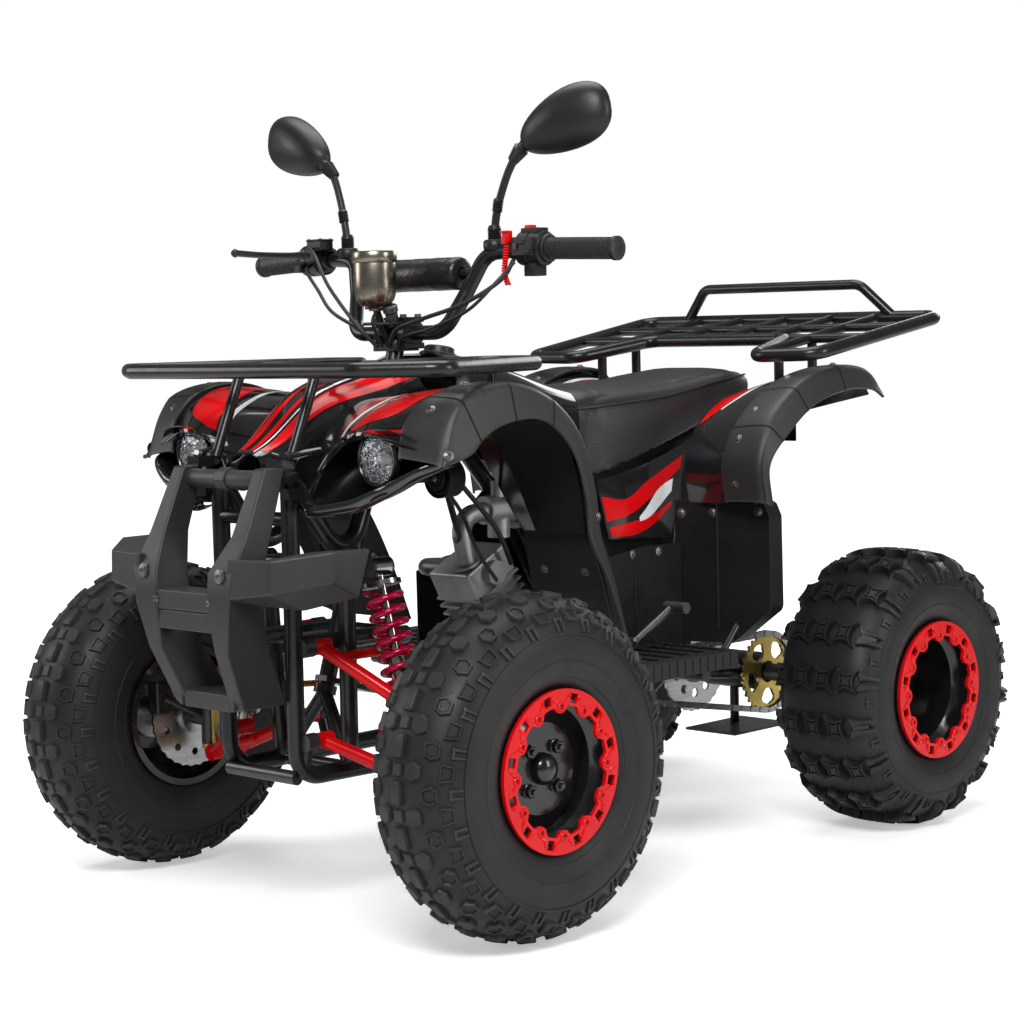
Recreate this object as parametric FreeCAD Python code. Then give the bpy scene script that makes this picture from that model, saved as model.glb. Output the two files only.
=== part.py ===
import FreeCAD, Part
import math
import os
from FreeCAD import Vector

# A small four-wheeled quad bike. It stands on its tyres, +Z up.
# Its nose points along -Y and its left side is +X.
# The origin lies on the floor, in the middle of the overall length and width.

# Overall layout
OVERALL_LENGTH = 1440.0
WHEELBASE = 946.0
RUN_GAP = 0.3
CUT_PAST = 20.0

# Front tyre and rim
FRONT_TYRE_D = 482.6
FRONT_TYRE_WIDTH = 158.0
FRONT_TRACK = 798.0
FRONT_LUG_H = 7.0
FRONT_RIM_WIDTH = 134.0
FRONT_DISH_DEPTH = 33.0

# Rear tyre and rim
REAR_TYRE_D = 457.2
REAR_TYRE_WIDTH = 188.0
REAR_TRACK = 678.0
REAR_LUG_H = 13.0
REAR_RIM_WIDTH = 173.0
REAR_DISH_DEPTH = 92.0

# What both rims share
TYRE_FACETS = 32
BEAD_R = 105.0
RIM_FLANGE_R = 111.0
RIM_WELL_R = 92.0
RIM_WALL = 4.0
RIM_LIP = 6.0
WHEEL_PLATE_R = 63.0
WHEEL_BORE_R = 16.0
WHEEL_STUD_R = 5.0
WHEEL_STUD_PCD = 76.0
WHEEL_STUDS = 4
RING_R = 112.0
RING_BAND = 24.0
RING_THICK = 7.0
RING_LOBES = 12
RING_LOBE_R = 8.5
RING_WINDOW = 11.0

# Front hub, brake disc and knuckle
KINGPIN_X = 281.0
KINGPIN_R = 7.0
SLEEVE_R = 13.0
SLEEVE_H = 80.0
SPINDLE_R = 9.0
HUB_R = 27.0
HUB_CAP_H = 14.0
DISC_R = 80.0
DISC_INNER_R = 34.0
DISC_THICK = 4.0
DISC_WAVE = 2.5
DISC_WAVES = 30
DISC_OFFSET = 41.0
STEER_ARM = 70.0
STEER_ARM_W = 16.0
STEER_ARM_T = 8.0
STEER_ARM_BOW = 8.0
STUD_R = 4.0
EYE_R = 12.0
EYE_BORE_R = 8.0
EYE_T = 12.0
YOKE_T = 6.0
YOKE_W = 22.0
YOKE_SET_IN = 25.0
CALIPER_L = 52.0
CALIPER_W = 26.0
CALIPER_H = 30.0

# Suspension arms
ARM_R = 10.0
ARM_BUSH_R = 13.0
ARM_EYE_L = 30.0
ARM_BUSH_L = 60.0
ARM_INNER_X = 92.0
ARM_INNER_FRONT = 107.0
ARM_INNER_REAR = 55.0
UPPER_INNER_Z = 392.0
LOWER_INNER_Z = 258.0
ARM_SET_IN = 37.0
SHOCK_TOP_IN_X = 128.0
SHOCK_TOP_Z = 500.0
SHOCK_LOW_X = 196.0
SHOCK_LOW_Z = 246.0
SHOCK_BODY_R = 14.0
SHOCK_ROD_R = 6.0
SPRING_R = 24.0
SPRING_WIRE_R = 4.5
SPRING_TURNS = 8
SHOCK_EYE_R = 14.0
SHOCK_EYE_L = 30.0
SHOCK_FORWARD = 9.0

# Steering column, bars and what they carry
STEM_R = 13.0
STEM_LOW_Z = 326.0
STEM_HEAD_Z = 812.0
STEM_LEAN = 158.0
PITMAN_PIN_X = 16.0
PITMAN_T = 8.0
TIE_ROD_R = 5.0
BAR_R = 11.0
BAR_BEND = 32.0
BAR_HALF_WIDTH = 384.0
BAR_RISE = 114.0
BAR_CLAMP_Z = 831.0
GRIP_R = 16.0
GRIP_L = 122.0
PAD_R = 25.0
PAD_L = 205.0
SWITCH_R = 27.0
SWITCH_L = 46.0
MIRROR_STEM_R = 6.0
MIRROR_W = 144.0
MIRROR_H = 88.0
MIRROR_T = 42.0
MIRROR_X = 285.0
MIRROR_Z = 1137.0
GAUGE_R = 32.0
GAUGE_H = 82.0
CABLE_R = 3.0

# Welded frame
FRAME_TUBE_R = 13.0
FRAME_SMALL_R = 10.0
FRAME_BEND = 40.0
FRAME_LEAD = 127.0
FRAME_LENGTH = 1070.0
FRAME_HALF_WIDTH = 110.0
FRAME_LOW_Z = 206.0
FRAME_HEIGHT = 594.0

# Racks
RACK_R = 11.0
RACK_BAR_R = 8.0
RACK_BEND = 30.0
FRONT_RACK_LEAD = 151.0
FRONT_RACK_DEPTH = 373.0
FRONT_RACK_HALF_W = 349.0
FRONT_RACK_Z = 784.0
REAR_RACK_START = 180.0
REAR_RACK_LENGTH = 348.0
REAR_RACK_HALF_W = 327.0
REAR_RACK_Z = 779.0
REAR_RACK_RISE = 57.0
HOOP_H = 58.0
HOOP_HALF_W = 231.0

# Bumper guard
BUMPER_LEAD = 265.4
BUMPER_DEPTH = 150.0
BUMPER_HALF_W = 290.0
BUMPER_LOW_Z = 300.0
BUMPER_HEIGHT = 350.0

# Front bodywork
PANEL_T = 4.0
ARCH_BACK = 78.0
ARCH_Z = 500.0
ARCH_R = 263.0
FLARE_OUTER_X = 335.0
FENDER_OUTER_X = 300.0
HOOD_LEAD = 142.0
HOOD_LENGTH = 270.0
HOOD_HALF_W = 100.0
HOOD_TOP_Z = 790.0
LAMP_X = 203.0
LAMP_LEAD = 73.0
LAMP_Z = 659.0
LAMP_R = 34.0
LAMP_POD_R = 39.0
LAMP_POD_L = 46.0
TRAY_DEPTH = 125.0
TRAY_HEIGHT = 120.0
HORN_R = 29.0
HORN_T = 26.0
HORN_X = 128.0
HORN_BACK = 117.0
HORN_Z = 619.0

# Tank cover, seat and side panels
TANK_BACK = 190.0
TANK_LENGTH = 262.0
TANK_HALF_W = 110.0
TANK_TOP_Z = 800.0
TANK_HEIGHT = 175.0
SEAT_LENGTH = 427.0
SEAT_HALF_W = 122.0
SEAT_TOP_Z = 758.0
SEAT_HEIGHT = 160.0
SIDE_X = 118.0
SIDE_PANEL_BACK = 468.0
SIDE_PANEL_L = 228.0
SIDE_PANEL_Z = 488.0
SIDE_PANEL_H = 158.0
LOWER_COVER_X = 150.0
LOWER_COVER_L = 298.0
LOWER_COVER_H = 180.0
LOWER_COVER_BACK = 330.0

# Rear bodywork
REAR_ARCH_LEAD = 66.0
REAR_ARCH_Z = 420.0
REAR_ARCH_R = 340.0
REAR_FLARE_X = 332.0
REAR_FENDER_X = 300.0
TAIL_HALF_W = 146.0
TAIL_LENGTH = 46.0
TAIL_Z = 684.0
TAIL_H = 52.0
HEEL_LEAD = 313.0
HEEL_SWEEP = 62.0
HEEL_INNER_X = 137.0
HEEL_OUTER_X = 330.0
HEEL_LOW_Z = 322.0
HEEL_HEIGHT = 222.0

# Foot rests and pedals
REST_FRONT = 346.0
REST_L = 215.0
REST_OUTER_X = 322.0
REST_INNER_X = LOWER_COVER_X + PANEL_T + RUN_GAP
REST_TOP_Z = 330.0
REST_T = 26.0
REST_SLOT = 9.0
REST_BARS = 6
PEDAL_R = 6.0
PEDAL_X = 200.0
PEDAL_Z = 345.0
PEDAL_L = 90.0
PEDAL_BACK = 459.0

# Engine and drive
CASE_L = 250.0
CASE_W = 124.0
CASE_H = 165.0
CASE_LOW_Z = 224.0
CASE_BACK = 325.0
COVER_R = 68.0
COVER_T = 26.0
BARREL_W = 96.0
BARREL_H = 86.0
BARREL_LEAN = 28.0
FIN_COUNT = 6
FIN_T = 4.0
FIN_REACH = 9.0
HEAD_H = 48.0
CARB_R = 22.0
PIPE_R = 14.0
INTAKE_R = 15.0
MUFFLER_R = 42.0
MUFFLER_L = 260.0
MUFFLER_X = 165.0
MUFFLER_BACK = 750.0
SPROCKET_X = 73.0
SPROCKET_TEETH = 33
CHAIN_PITCH = 12.7
SPROCKET_T = 5.0
TOOTH_H = 5.0
DRIVE_SPROCKET_R = 30.0
DRIVE_BACK = 540.0
DRIVE_Z = 262.0
CHAIN_PLATE_T = 2.0
CHAIN_PLATE_H = 11.0
AXLE_R = 15.0
AXLE_HALF_L = 335.0
CARRIER_R = 33.0
CARRIER_HALF_L = 52.0
REAR_DISC_R = 85.0
REAR_DISC_X = 92.0
SWING_PIVOT_BACK = 305.0
SWING_PIVOT_Z = 262.0
SWING_R = 16.0
SKID_HALF_W = 55.0
SKID_T = 4.0

# Places worked out from the layout
REAR_AXLE_Y = (OVERALL_LENGTH - REAR_TYRE_D) / 2
FRONT_AXLE_Y = REAR_AXLE_Y - WHEELBASE
FRONT_AXLE_Z = FRONT_TYRE_D / 2
REAR_AXLE_Z = REAR_TYRE_D / 2
SLEEVE_LOW_Z = FRONT_AXLE_Z - SLEEVE_H / 2
SLEEVE_TOP_Z = FRONT_AXLE_Z + SLEEVE_H / 2
STEM_LOW = Vector(0, FRONT_AXLE_Y, STEM_LOW_Z)
STEM_HEAD = Vector(0, FRONT_AXLE_Y + STEM_LEAN, STEM_HEAD_Z)
STEM_DIR = (STEM_HEAD - STEM_LOW).normalize()
BAR_Y = STEM_HEAD.y + STEM_DIR.y / STEM_DIR.z * (BAR_CLAMP_Z - STEM_HEAD_Z)
SPROCKET_R = CHAIN_PITCH / 2 / math.sin(math.pi / SPROCKET_TEETH)

X_AXIS = Vector(1, 0, 0)
Y_AXIS = Vector(0, 1, 0)
Z_AXIS = Vector(0, 0, 1)
ORIGIN = Vector(0, 0, 0)


def spot(shares, corner, spans):
    """The point that lies at these shares of the spans, from the corner."""
    return Vector(*[c + share * span for c, share, span in zip(corner, shares, spans)])


def mirrored(shape):
    """The same shape on the other side of the bike."""
    return shape.mirror(ORIGIN, X_AXIS)


def pair(shape):
    """A left shape and its right twin."""
    return [shape, mirrored(shape)]


def join(shapes):
    """One body from overlapping shapes."""
    if len(shapes) == 1:
        return shapes[0]
    fused = shapes[0].multiFuse(shapes[1:])
    return fused.removeSplitter()


def rod(start, end, radius):
    """A straight round bar between two points."""
    return Part.makeCylinder(radius, (end - start).Length, start, end - start)


def disc(centre, radius, thick, axis=X_AXIS):
    """A round plate whose middle plane passes through the centre."""
    unit = Vector(axis).normalize()
    return Part.makeCylinder(radius, thick, centre - unit * (thick / 2), unit)


def block(centre, width, depth, height):
    """A box about its centre."""
    corner = centre - Vector(width / 2, depth / 2, height / 2)
    return Part.makeBox(width, depth, height, corner)


def bent_rod(points, radius, bend):
    """A round bar along straight runs, joined by tangent arcs."""
    edges = []
    start = points[0]
    for before, corner, after in zip(points, points[1:], points[2:]):
        into = Vector(corner - before).normalize()
        out = Vector(after - corner).normalize()
        half_turn = into.getAngle(out) / 2
        shorter = min((corner - before).Length, (after - corner).Length)
        arc_r = min(bend, shorter * 9 / 20 / math.tan(half_turn))
        back = arc_r * math.tan(half_turn)
        enter = corner - into * back
        leave = corner + out * back
        inward = Vector(out - into).normalize()
        middle = corner + inward * (arc_r / math.cos(half_turn) - arc_r)
        edges.append(Part.LineSegment(start, enter).toShape())
        edges.append(Part.Arc(enter, middle, leave).toShape())
        start = leave
    edges.append(Part.LineSegment(start, points[-1]).toShape())
    path = Part.Wire(edges)
    profile = Part.Wire(Part.makeCircle(radius, points[0], points[1] - points[0]))
    return path.makePipeShell([profile], True, False)


def ruled_body(sections):
    """A body through closed outlines that have equal numbers of points."""
    wires = [Part.makePolygon(list(outline) + [outline[0]]) for outline in sections]
    return Part.makeLoft(wires, True, True)


def plate(outline, direction):
    """A flat outline given thickness along a vector."""
    face = Part.Face(Part.makePolygon(list(outline) + [outline[0]]))
    return face.extrude(direction)


def turned(profile, centre):
    """A profile of (along X, radius) pairs turned about an X axis."""
    points = [centre + Vector(along, 0, radius) for along, radius in profile]
    face = Part.Face(Part.makePolygon(points + [points[0]]))
    return face.revolve(centre, X_AXIS, 360)


def save(name, shapes):
    """Write one sub-part, as one body or as a few that do not touch."""
    body = shapes[0] if len(shapes) == 1 else Part.makeCompound(shapes)
    body.exportStep("parts/" + name + ".step")
    solids = len(body.Solids)
    print(name, solids, "solids", round(body.Volume / 1000), "cm3", "valid", body.isValid())


# Tyres: a ring of flat facets, some of them raised as lugs

FRONT_SECTION_SHARES = [
    (-1.0, 0.0), (-1.0, 0.46), (-0.92, 0.76), (-0.66, 0.93), (-0.26, 1.0),
    (0.26, 1.0), (0.66, 0.93), (0.92, 0.76), (1.0, 0.46), (1.0, 0.0),
]
REAR_SECTION_SHARES = [
    (-1.0, 0.0), (-1.0, 0.46), (-0.97, 0.76), (-0.80, 0.93), (-0.30, 1.0),
    (0.30, 1.0), (0.80, 0.93), (0.97, 0.76), (1.0, 0.46), (1.0, 0.0),
]
LUG_BANDS = {2: 1, 3: 0, 4: 1, 5: 0, 6: 1}


def faceted_tyre(centre, diameter, width, rim_width, lug_height, section_shares):
    """A tyre of flat facets, with every second facet of a lug band raised."""
    flat = math.cos(math.pi / TYRE_FACETS)
    carcass_r = diameter / 2 - lug_height
    bead_r = BEAD_R + RUN_GAP
    section = []
    for along, up in section_shares:
        radius = (bead_r + up * (carcass_r - bead_r)) / flat
        half = width / 2 if up else rim_width / 2 - RIM_LIP * 3 / 2
        section.append((along * half, radius))

    def corner(facet, band):
        angle = 2 * math.pi * (facet + 1 / 2) / TYRE_FACETS
        along, radius = section[band % len(section)]
        return centre + Vector(along, radius * math.sin(angle), -radius * math.cos(angle))

    faces = []
    for facet in range(TYRE_FACETS):
        for band in range(len(section)):
            quad = [corner(facet, band), corner(facet, band + 1),
                    corner(facet + 1, band + 1), corner(facet + 1, band)]
            if band in LUG_BANDS and facet % 2 == LUG_BANDS[band]:
                faces += raised_cell(quad, lug_height, centre)
            else:
                faces.append(polygon_face(quad))
    return Part.Solid(Part.makeShell(faces))


def polygon_face(points):
    """A flat face through its corners."""
    return Part.Face(Part.makePolygon(list(points) + [points[0]]))


def raised_cell(quad, height, centre):
    """The top and four walls of one lug that stands on a facet."""
    normal = (quad[1] - quad[0]).cross(quad[3] - quad[0]).normalize()
    outward = (quad[0] + quad[2]) / 2 - centre
    if normal.dot(Vector(0, outward.y, outward.z)) < 0:
        normal = normal * -1
    top = [point + normal * height for point in quad]
    faces = [polygon_face(top)]
    for step in range(4):
        after = (step + 1) % 4
        faces.append(polygon_face([quad[step], quad[after], top[after], top[step]]))
    return faces


# Wheels: rims, red rings, brake discs

def wheel_rim(centre, width, dish_depth):
    """A dished rim with its hub plate, studs' holes and cap, open to the outside (+X)."""
    half = width / 2
    plate_x = half - dish_depth
    seat = BEAD_R - RIM_WALL
    drop = (half - RIM_LIP) / 3
    outer = [
        (-half, seat), (-half, RIM_FLANGE_R), (-half + RIM_LIP, RIM_FLANGE_R),
        (-half + RIM_LIP, BEAD_R), (-half + drop, BEAD_R), (-half + drop + RIM_WALL, RIM_WELL_R),
        (half - drop - RIM_WALL, RIM_WELL_R), (half - drop, BEAD_R), (half - RIM_LIP, BEAD_R),
        (half - RIM_LIP, RIM_FLANGE_R), (half, RIM_FLANGE_R), (half, seat),
    ]
    inner = [
        (half - drop + RIM_WALL, seat), (half - drop - RIM_LIP, RIM_WELL_R - RIM_WALL),
        (-half + drop + RIM_LIP, RIM_WELL_R - RIM_WALL), (-half + drop - RIM_WALL, seat),
    ]
    barrel = turned(outer + inner, centre)
    dish = turned([
        (plate_x, WHEEL_BORE_R), (plate_x, WHEEL_PLATE_R),
        (plate_x - RIM_LIP * 2, RIM_WELL_R - RIM_WALL / 2),
        (plate_x - RIM_LIP * 3, RIM_WELL_R - RIM_WALL / 2),
        (plate_x - RIM_LIP, WHEEL_PLATE_R), (plate_x - RIM_LIP, WHEEL_BORE_R),
    ], centre)
    holes = []
    for step in range(WHEEL_STUDS):
        angle = 2 * math.pi * (step + 1 / 2) / WHEEL_STUDS
        offset = Vector(plate_x, math.sin(angle) * WHEEL_STUD_PCD / 2, math.cos(angle) * WHEEL_STUD_PCD / 2)
        holes.append(disc(centre + offset, WHEEL_STUD_R, CUT_PAST * 2))
    return join([barrel, dish]).cut(Part.makeCompound(holes))


def wheel_ring(centre, face_x):
    """The bolted ring on the rim's outer lip, with lobes, windows and bolt holes."""
    middle = centre + Vector(face_x + RUN_GAP + RING_THICK / 2, 0, 0)
    band_r = RING_R - RING_BAND
    shapes = [disc(middle, RING_R, RING_THICK).cut(disc(middle, band_r, CUT_PAST))]
    cuts = []
    for step in range(RING_LOBES):
        lobe_at = turned_offset(step, RING_LOBES, band_r)
        shapes.append(disc(middle + lobe_at, RING_LOBE_R, RING_THICK))
        cuts.append(disc(middle + lobe_at, RING_LOBE_R / 3, CUT_PAST))
        window = block(middle + Vector(0, 0, RING_R - RING_BAND / 2), CUT_PAST, RING_WINDOW, RING_WINDOW)
        window.rotate(middle, X_AXIS, 360 * (step + 1 / 2) / RING_LOBES)
        cuts.append(window)
    return join(shapes).cut(Part.makeCompound(cuts))


def turned_offset(step, count, radius):
    """The offset of one of several places on a circle about X."""
    angle = 2 * math.pi * step / count
    return Vector(0, -radius * math.sin(angle), radius * math.cos(angle))


def waved_disc(centre, radius, inner_r, thick, waves):
    """A brake disc with a waved edge, cut at its bore."""
    points = []
    for step in range(waves * 2):
        reach = radius if step % 2 else radius - DISC_WAVE
        points.append(centre - Vector(thick / 2, 0, 0) + turned_offset(step, waves * 2, reach))
    body = plate(points, Vector(thick, 0, 0))
    vents = []
    for ring_step in range(waves // 3):
        at = turned_offset(ring_step, waves // 3, (radius + inner_r) / 2)
        vents.append(disc(centre + at, (radius - inner_r) / 8, CUT_PAST))
    return body.cut(Part.makeCompound([disc(centre, inner_r, CUT_PAST)] + vents))


def front_wheel_parts():
    """The left front wheel: rim, ring, tyre, hub with its disc."""
    centre = Vector(FRONT_TRACK / 2, FRONT_AXLE_Y, FRONT_AXLE_Z)
    plate_x = FRONT_RIM_WIDTH / 2 - FRONT_DISH_DEPTH
    rim = wheel_rim(centre, FRONT_RIM_WIDTH, FRONT_DISH_DEPTH)
    ring = wheel_ring(centre, FRONT_RIM_WIDTH / 2)
    tyre = faceted_tyre(centre, FRONT_TYRE_D, FRONT_TYRE_WIDTH, FRONT_RIM_WIDTH, FRONT_LUG_H,
                        FRONT_SECTION_SHARES)
    disc_x = KINGPIN_X + DISC_OFFSET
    disc_centre = Vector(disc_x, FRONT_AXLE_Y, FRONT_AXLE_Z)
    brake = waved_disc(disc_centre, DISC_R, DISC_INNER_R - RUN_GAP * 2, DISC_THICK, DISC_WAVES)
    hub_end = centre.x + plate_x
    hub_start = disc_x - DISC_THICK * 2
    flange_x = hub_end - RIM_LIP - RUN_GAP
    bore = SPINDLE_R + RUN_GAP
    hub = turned([
        (hub_start, bore), (hub_start, HUB_R), (disc_x - DISC_THICK / 2, HUB_R),
        (disc_x - DISC_THICK / 2, DISC_INNER_R), (disc_x + DISC_THICK / 2, DISC_INNER_R),
        (disc_x + DISC_THICK / 2, HUB_R), (flange_x - RIM_LIP, HUB_R),
        (flange_x - RIM_LIP, WHEEL_STUD_PCD / 2 + RIM_LIP), (flange_x, WHEEL_STUD_PCD / 2 + RIM_LIP),
        (flange_x, WHEEL_BORE_R - RUN_GAP), (hub_end + HUB_CAP_H / 2, WHEEL_BORE_R - RUN_GAP),
        (hub_end + HUB_CAP_H, WHEEL_BORE_R / 2), (hub_end + HUB_CAP_H, 0), (hub_end, 0),
        (hub_end, bore),
    ], Vector(0, FRONT_AXLE_Y, FRONT_AXLE_Z))
    return rim, ring, tyre, join([hub, brake])


# Front suspension and steering knuckles

def knuckle():
    """The left knuckle: sleeve, spindle, steering arm with its stud, and caliper."""
    pin = Vector(KINGPIN_X, FRONT_AXLE_Y, 0)
    low = pin + Z_AXIS * (SLEEVE_LOW_Z + RUN_GAP)
    high = pin + Z_AXIS * (SLEEVE_TOP_Z - RUN_GAP)
    axle = pin + Z_AXIS * FRONT_AXLE_Z
    hub_end = FRONT_TRACK / 2 + FRONT_RIM_WIDTH / 2 - FRONT_DISH_DEPTH
    tip = Vector(hub_end - RUN_GAP, FRONT_AXLE_Y, FRONT_AXLE_Z)
    sleeve = rod(low, high, SLEEVE_R)
    spindle = rod(axle, tip, SPINDLE_R)
    boss = rod(axle, axle + X_AXIS * (DISC_OFFSET - DISC_THICK * 2 - RUN_GAP * 2), SLEEVE_R)
    arm_z = SLEEVE_TOP_Z - STEER_ARM_T * 2
    outline = []
    for side in (1, -1):
        for share in (0, 1 / 4, 1 / 2, 3 / 4, 1):
            bow = STEER_ARM_BOW * math.sin(math.pi * share)
            outline.append(pin + Vector(bow + side * STEER_ARM_W / 2, share * STEER_ARM, arm_z))
        if side == 1:
            turned_side = outline
            outline = []
    arm = plate(turned_side + outline[::-1], Z_AXIS * STEER_ARM_T)
    end = pin + Vector(0, STEER_ARM, arm_z)
    eye = rod(end, end + Z_AXIS * STEER_ARM_T, STEER_ARM_W / 2)
    stud = rod(end, end + Z_AXIS * (STEER_ARM_T + EYE_T + RUN_GAP * 10), STUD_R)
    return join([sleeve, spindle, boss, arm, eye, stud, caliper()])


def caliper():
    """The left brake caliper, slotted for the disc, with its bracket to the sleeve."""
    disc_x = KINGPIN_X + DISC_OFFSET
    reach = DISC_R - CALIPER_H / 4
    centre = Vector(disc_x, FRONT_AXLE_Y - reach * math.sin(math.pi / 3),
                    FRONT_AXLE_Z + reach * math.cos(math.pi / 3))
    body = block(centre, CALIPER_W, CALIPER_H, CALIPER_L)
    body = body.makeFillet(CALIPER_W / 6, body.Edges)
    bracket_x = disc_x - CALIPER_W / 2 + DISC_THICK / 2
    start = Vector(KINGPIN_X + SLEEVE_R / 2, FRONT_AXLE_Y, FRONT_AXLE_Z)
    bracket = rod(start, Vector(bracket_x, centre.y, centre.z), SLEEVE_R / 2)
    slot_face = Vector(disc_x, FRONT_AXLE_Y, FRONT_AXLE_Z)
    slot = disc(slot_face, DISC_R + DISC_WAVE * 2, DISC_THICK * 2)
    return join([body, bracket]).cut(slot)


def yoke():
    """The left C-shaped bracket between the arms' bushes, with the kingpin through it."""
    inner_x = KINGPIN_X - YOKE_SET_IN
    pin = Vector(KINGPIN_X, FRONT_AXLE_Y, 0)
    low_z = SLEEVE_LOW_Z - YOKE_T
    high_z = SLEEVE_TOP_Z
    web = block(Vector(inner_x + YOKE_T / 2, FRONT_AXLE_Y, FRONT_AXLE_Z), YOKE_T, YOKE_W,
                SLEEVE_H + YOKE_T * 2)
    shapes = [web]
    for ear_z in (low_z, high_z):
        ear = Part.makeBox(YOKE_SET_IN, YOKE_W, YOKE_T, Vector(inner_x, FRONT_AXLE_Y - YOKE_W / 2, ear_z))
        shapes.append(ear)
        shapes.append(rod(pin + Z_AXIS * ear_z, pin + Z_AXIS * (ear_z + YOKE_T), SLEEVE_R))
    for bush in (lower_bush(), upper_bush()):
        shapes.append(rod(bush, Vector(inner_x + YOKE_T, FRONT_AXLE_Y, bush.z), ARM_BUSH_R - YOKE_T / 2))
    cap = rod(pin + Z_AXIS * (high_z + YOKE_T), pin + Z_AXIS * (high_z + YOKE_T * 2), KINGPIN_R + YOKE_T / 2)
    foot = rod(pin + Z_AXIS * (low_z - YOKE_T), pin + Z_AXIS * low_z, KINGPIN_R + YOKE_T / 2)
    return join(shapes + [cap, foot])


def lower_bush():
    """Centre of the lower arm's outer bush."""
    return Vector(KINGPIN_X - ARM_SET_IN, FRONT_AXLE_Y, SLEEVE_LOW_Z - ARM_BUSH_R / 2)


def upper_bush():
    """Centre of the upper arm's outer bush."""
    return Vector(KINGPIN_X - ARM_SET_IN, FRONT_AXLE_Y, SLEEVE_TOP_Z + ARM_BUSH_R / 2)


def control_arm(outer, inner_z, cross_share):
    """One A-shaped arm: outer bush halves, two legs with inner bushes, and a cross tube."""
    front_eye = Vector(ARM_INNER_X, FRONT_AXLE_Y - ARM_INNER_FRONT, inner_z)
    rear_eye = Vector(ARM_INNER_X, FRONT_AXLE_Y + ARM_INNER_REAR, inner_z)
    half = Y_AXIS * (ARM_BUSH_L / 2)
    clear = Y_AXIS * ARM_BUSH_R
    eye = Y_AXIS * ARM_EYE_L
    shapes = [rod(outer - half, outer - clear, ARM_BUSH_R), rod(outer + clear, outer + half, ARM_BUSH_R)]
    sleeve_r = ARM_BUSH_R * 9 / 10
    shapes += [rod(front_eye, front_eye + eye, sleeve_r), rod(rear_eye - eye, rear_eye, sleeve_r)]
    front_leg = (outer - half + Y_AXIS * ARM_R, front_eye + eye / 2)
    legs = [front_leg, (outer + half - Y_AXIS * ARM_R, rear_eye - eye / 2)]
    shapes += [rod(start, end, ARM_R) for start, end in legs]
    cross = [start + (end - start) * cross_share for start, end in legs]
    shapes.append(rod(cross[0], cross[1], ARM_R * 2 / 3))
    return join(shapes)


def upper_arm():
    """The left upper arm; its cross tube lies inboard of the shock."""
    return control_arm(upper_bush(), UPPER_INNER_Z, 17 / 20)


def lower_arm():
    """The left lower arm, with the two ears that carry the shock's lower eye."""
    outer = lower_bush()
    share = (outer.x - SHOCK_LOW_X) / (outer.x - ARM_INNER_X)
    arm = control_arm(outer, LOWER_INNER_Z, share)
    low = shock_ends()[1]
    cross_z = outer.z + (LOWER_INNER_Z - outer.z) * share
    ears = []
    for side in (1, -1):
        at = low + Y_AXIS * (side * (SHOCK_EYE_L / 2 + RUN_GAP + PANEL_T / 2))
        ears.append(disc(at, SHOCK_EYE_R, PANEL_T, Y_AXIS))
        ears.append(block(Vector(at.x, at.y, (cross_z + at.z) / 2), SHOCK_EYE_R, PANEL_T, at.z - cross_z))
    return join([arm] + ears)


def shock_ends():
    """The left front shock's upper and lower eyes."""
    top = Vector(SHOCK_TOP_IN_X, FRONT_AXLE_Y - SHOCK_FORWARD, SHOCK_TOP_Z)
    low = Vector(SHOCK_LOW_X, FRONT_AXLE_Y - SHOCK_FORWARD, SHOCK_LOW_Z)
    return top, low


def shock(top, low, eye_axis):
    """A damper and its coil spring between two eyes."""
    along = Vector(low - top).normalize()
    length = (low - top).Length
    eye_half = eye_axis * (SHOCK_EYE_L / 2)
    spring_top = top + along * (SHOCK_EYE_R * 2)
    spring_low = low - along * (SHOCK_EYE_R * 2)
    seat = SPRING_WIRE_R * 3 / 2
    shapes = [
        rod(top - eye_half, top + eye_half, SHOCK_EYE_R), rod(low - eye_half, low + eye_half, SHOCK_EYE_R),
        rod(top, low, SHOCK_ROD_R), rod(top + along * (length / 2), low, SHOCK_BODY_R),
        rod(spring_top - along * seat, spring_top, SPRING_R + SPRING_WIRE_R),
        rod(spring_low, spring_low + along * seat, SPRING_R + SPRING_WIRE_R),
    ]
    span = (spring_low - spring_top).Length - (SPRING_WIRE_R + RUN_GAP) * 2
    helix = Part.makeHelix(span / SPRING_TURNS, span, SPRING_R)
    profile = Part.Wire(Part.makeCircle(SPRING_WIRE_R, Vector(SPRING_R, 0, 0), Y_AXIS))
    coil = Part.Wire(helix).makePipeShell([profile], True, True)
    start = spring_top + along * (SPRING_WIRE_R + RUN_GAP)
    coil.Placement = FreeCAD.Placement(start, FreeCAD.Rotation(Z_AXIS, along))
    return join(shapes), coil


def tie_rod_points():
    """The left tie rod's inner and outer eyes at rest."""
    outer = Vector(KINGPIN_X, FRONT_AXLE_Y + STEER_ARM,
                   SLEEVE_TOP_Z - STEER_ARM_T + RUN_GAP + EYE_T / 2)
    inner = pitman_pin(1) + STEM_DIR * (PITMAN_T / 2 + EYE_T / 2 + RUN_GAP)
    return inner, outer


def pitman_pin(side):
    """The pin's place on the steering column's arm, on one side."""
    back = Vector(0, STEM_DIR.z, -STEM_DIR.y) * STEER_ARM
    return STEM_LOW + back + X_AXIS * (side * PITMAN_PIN_X)


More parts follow.
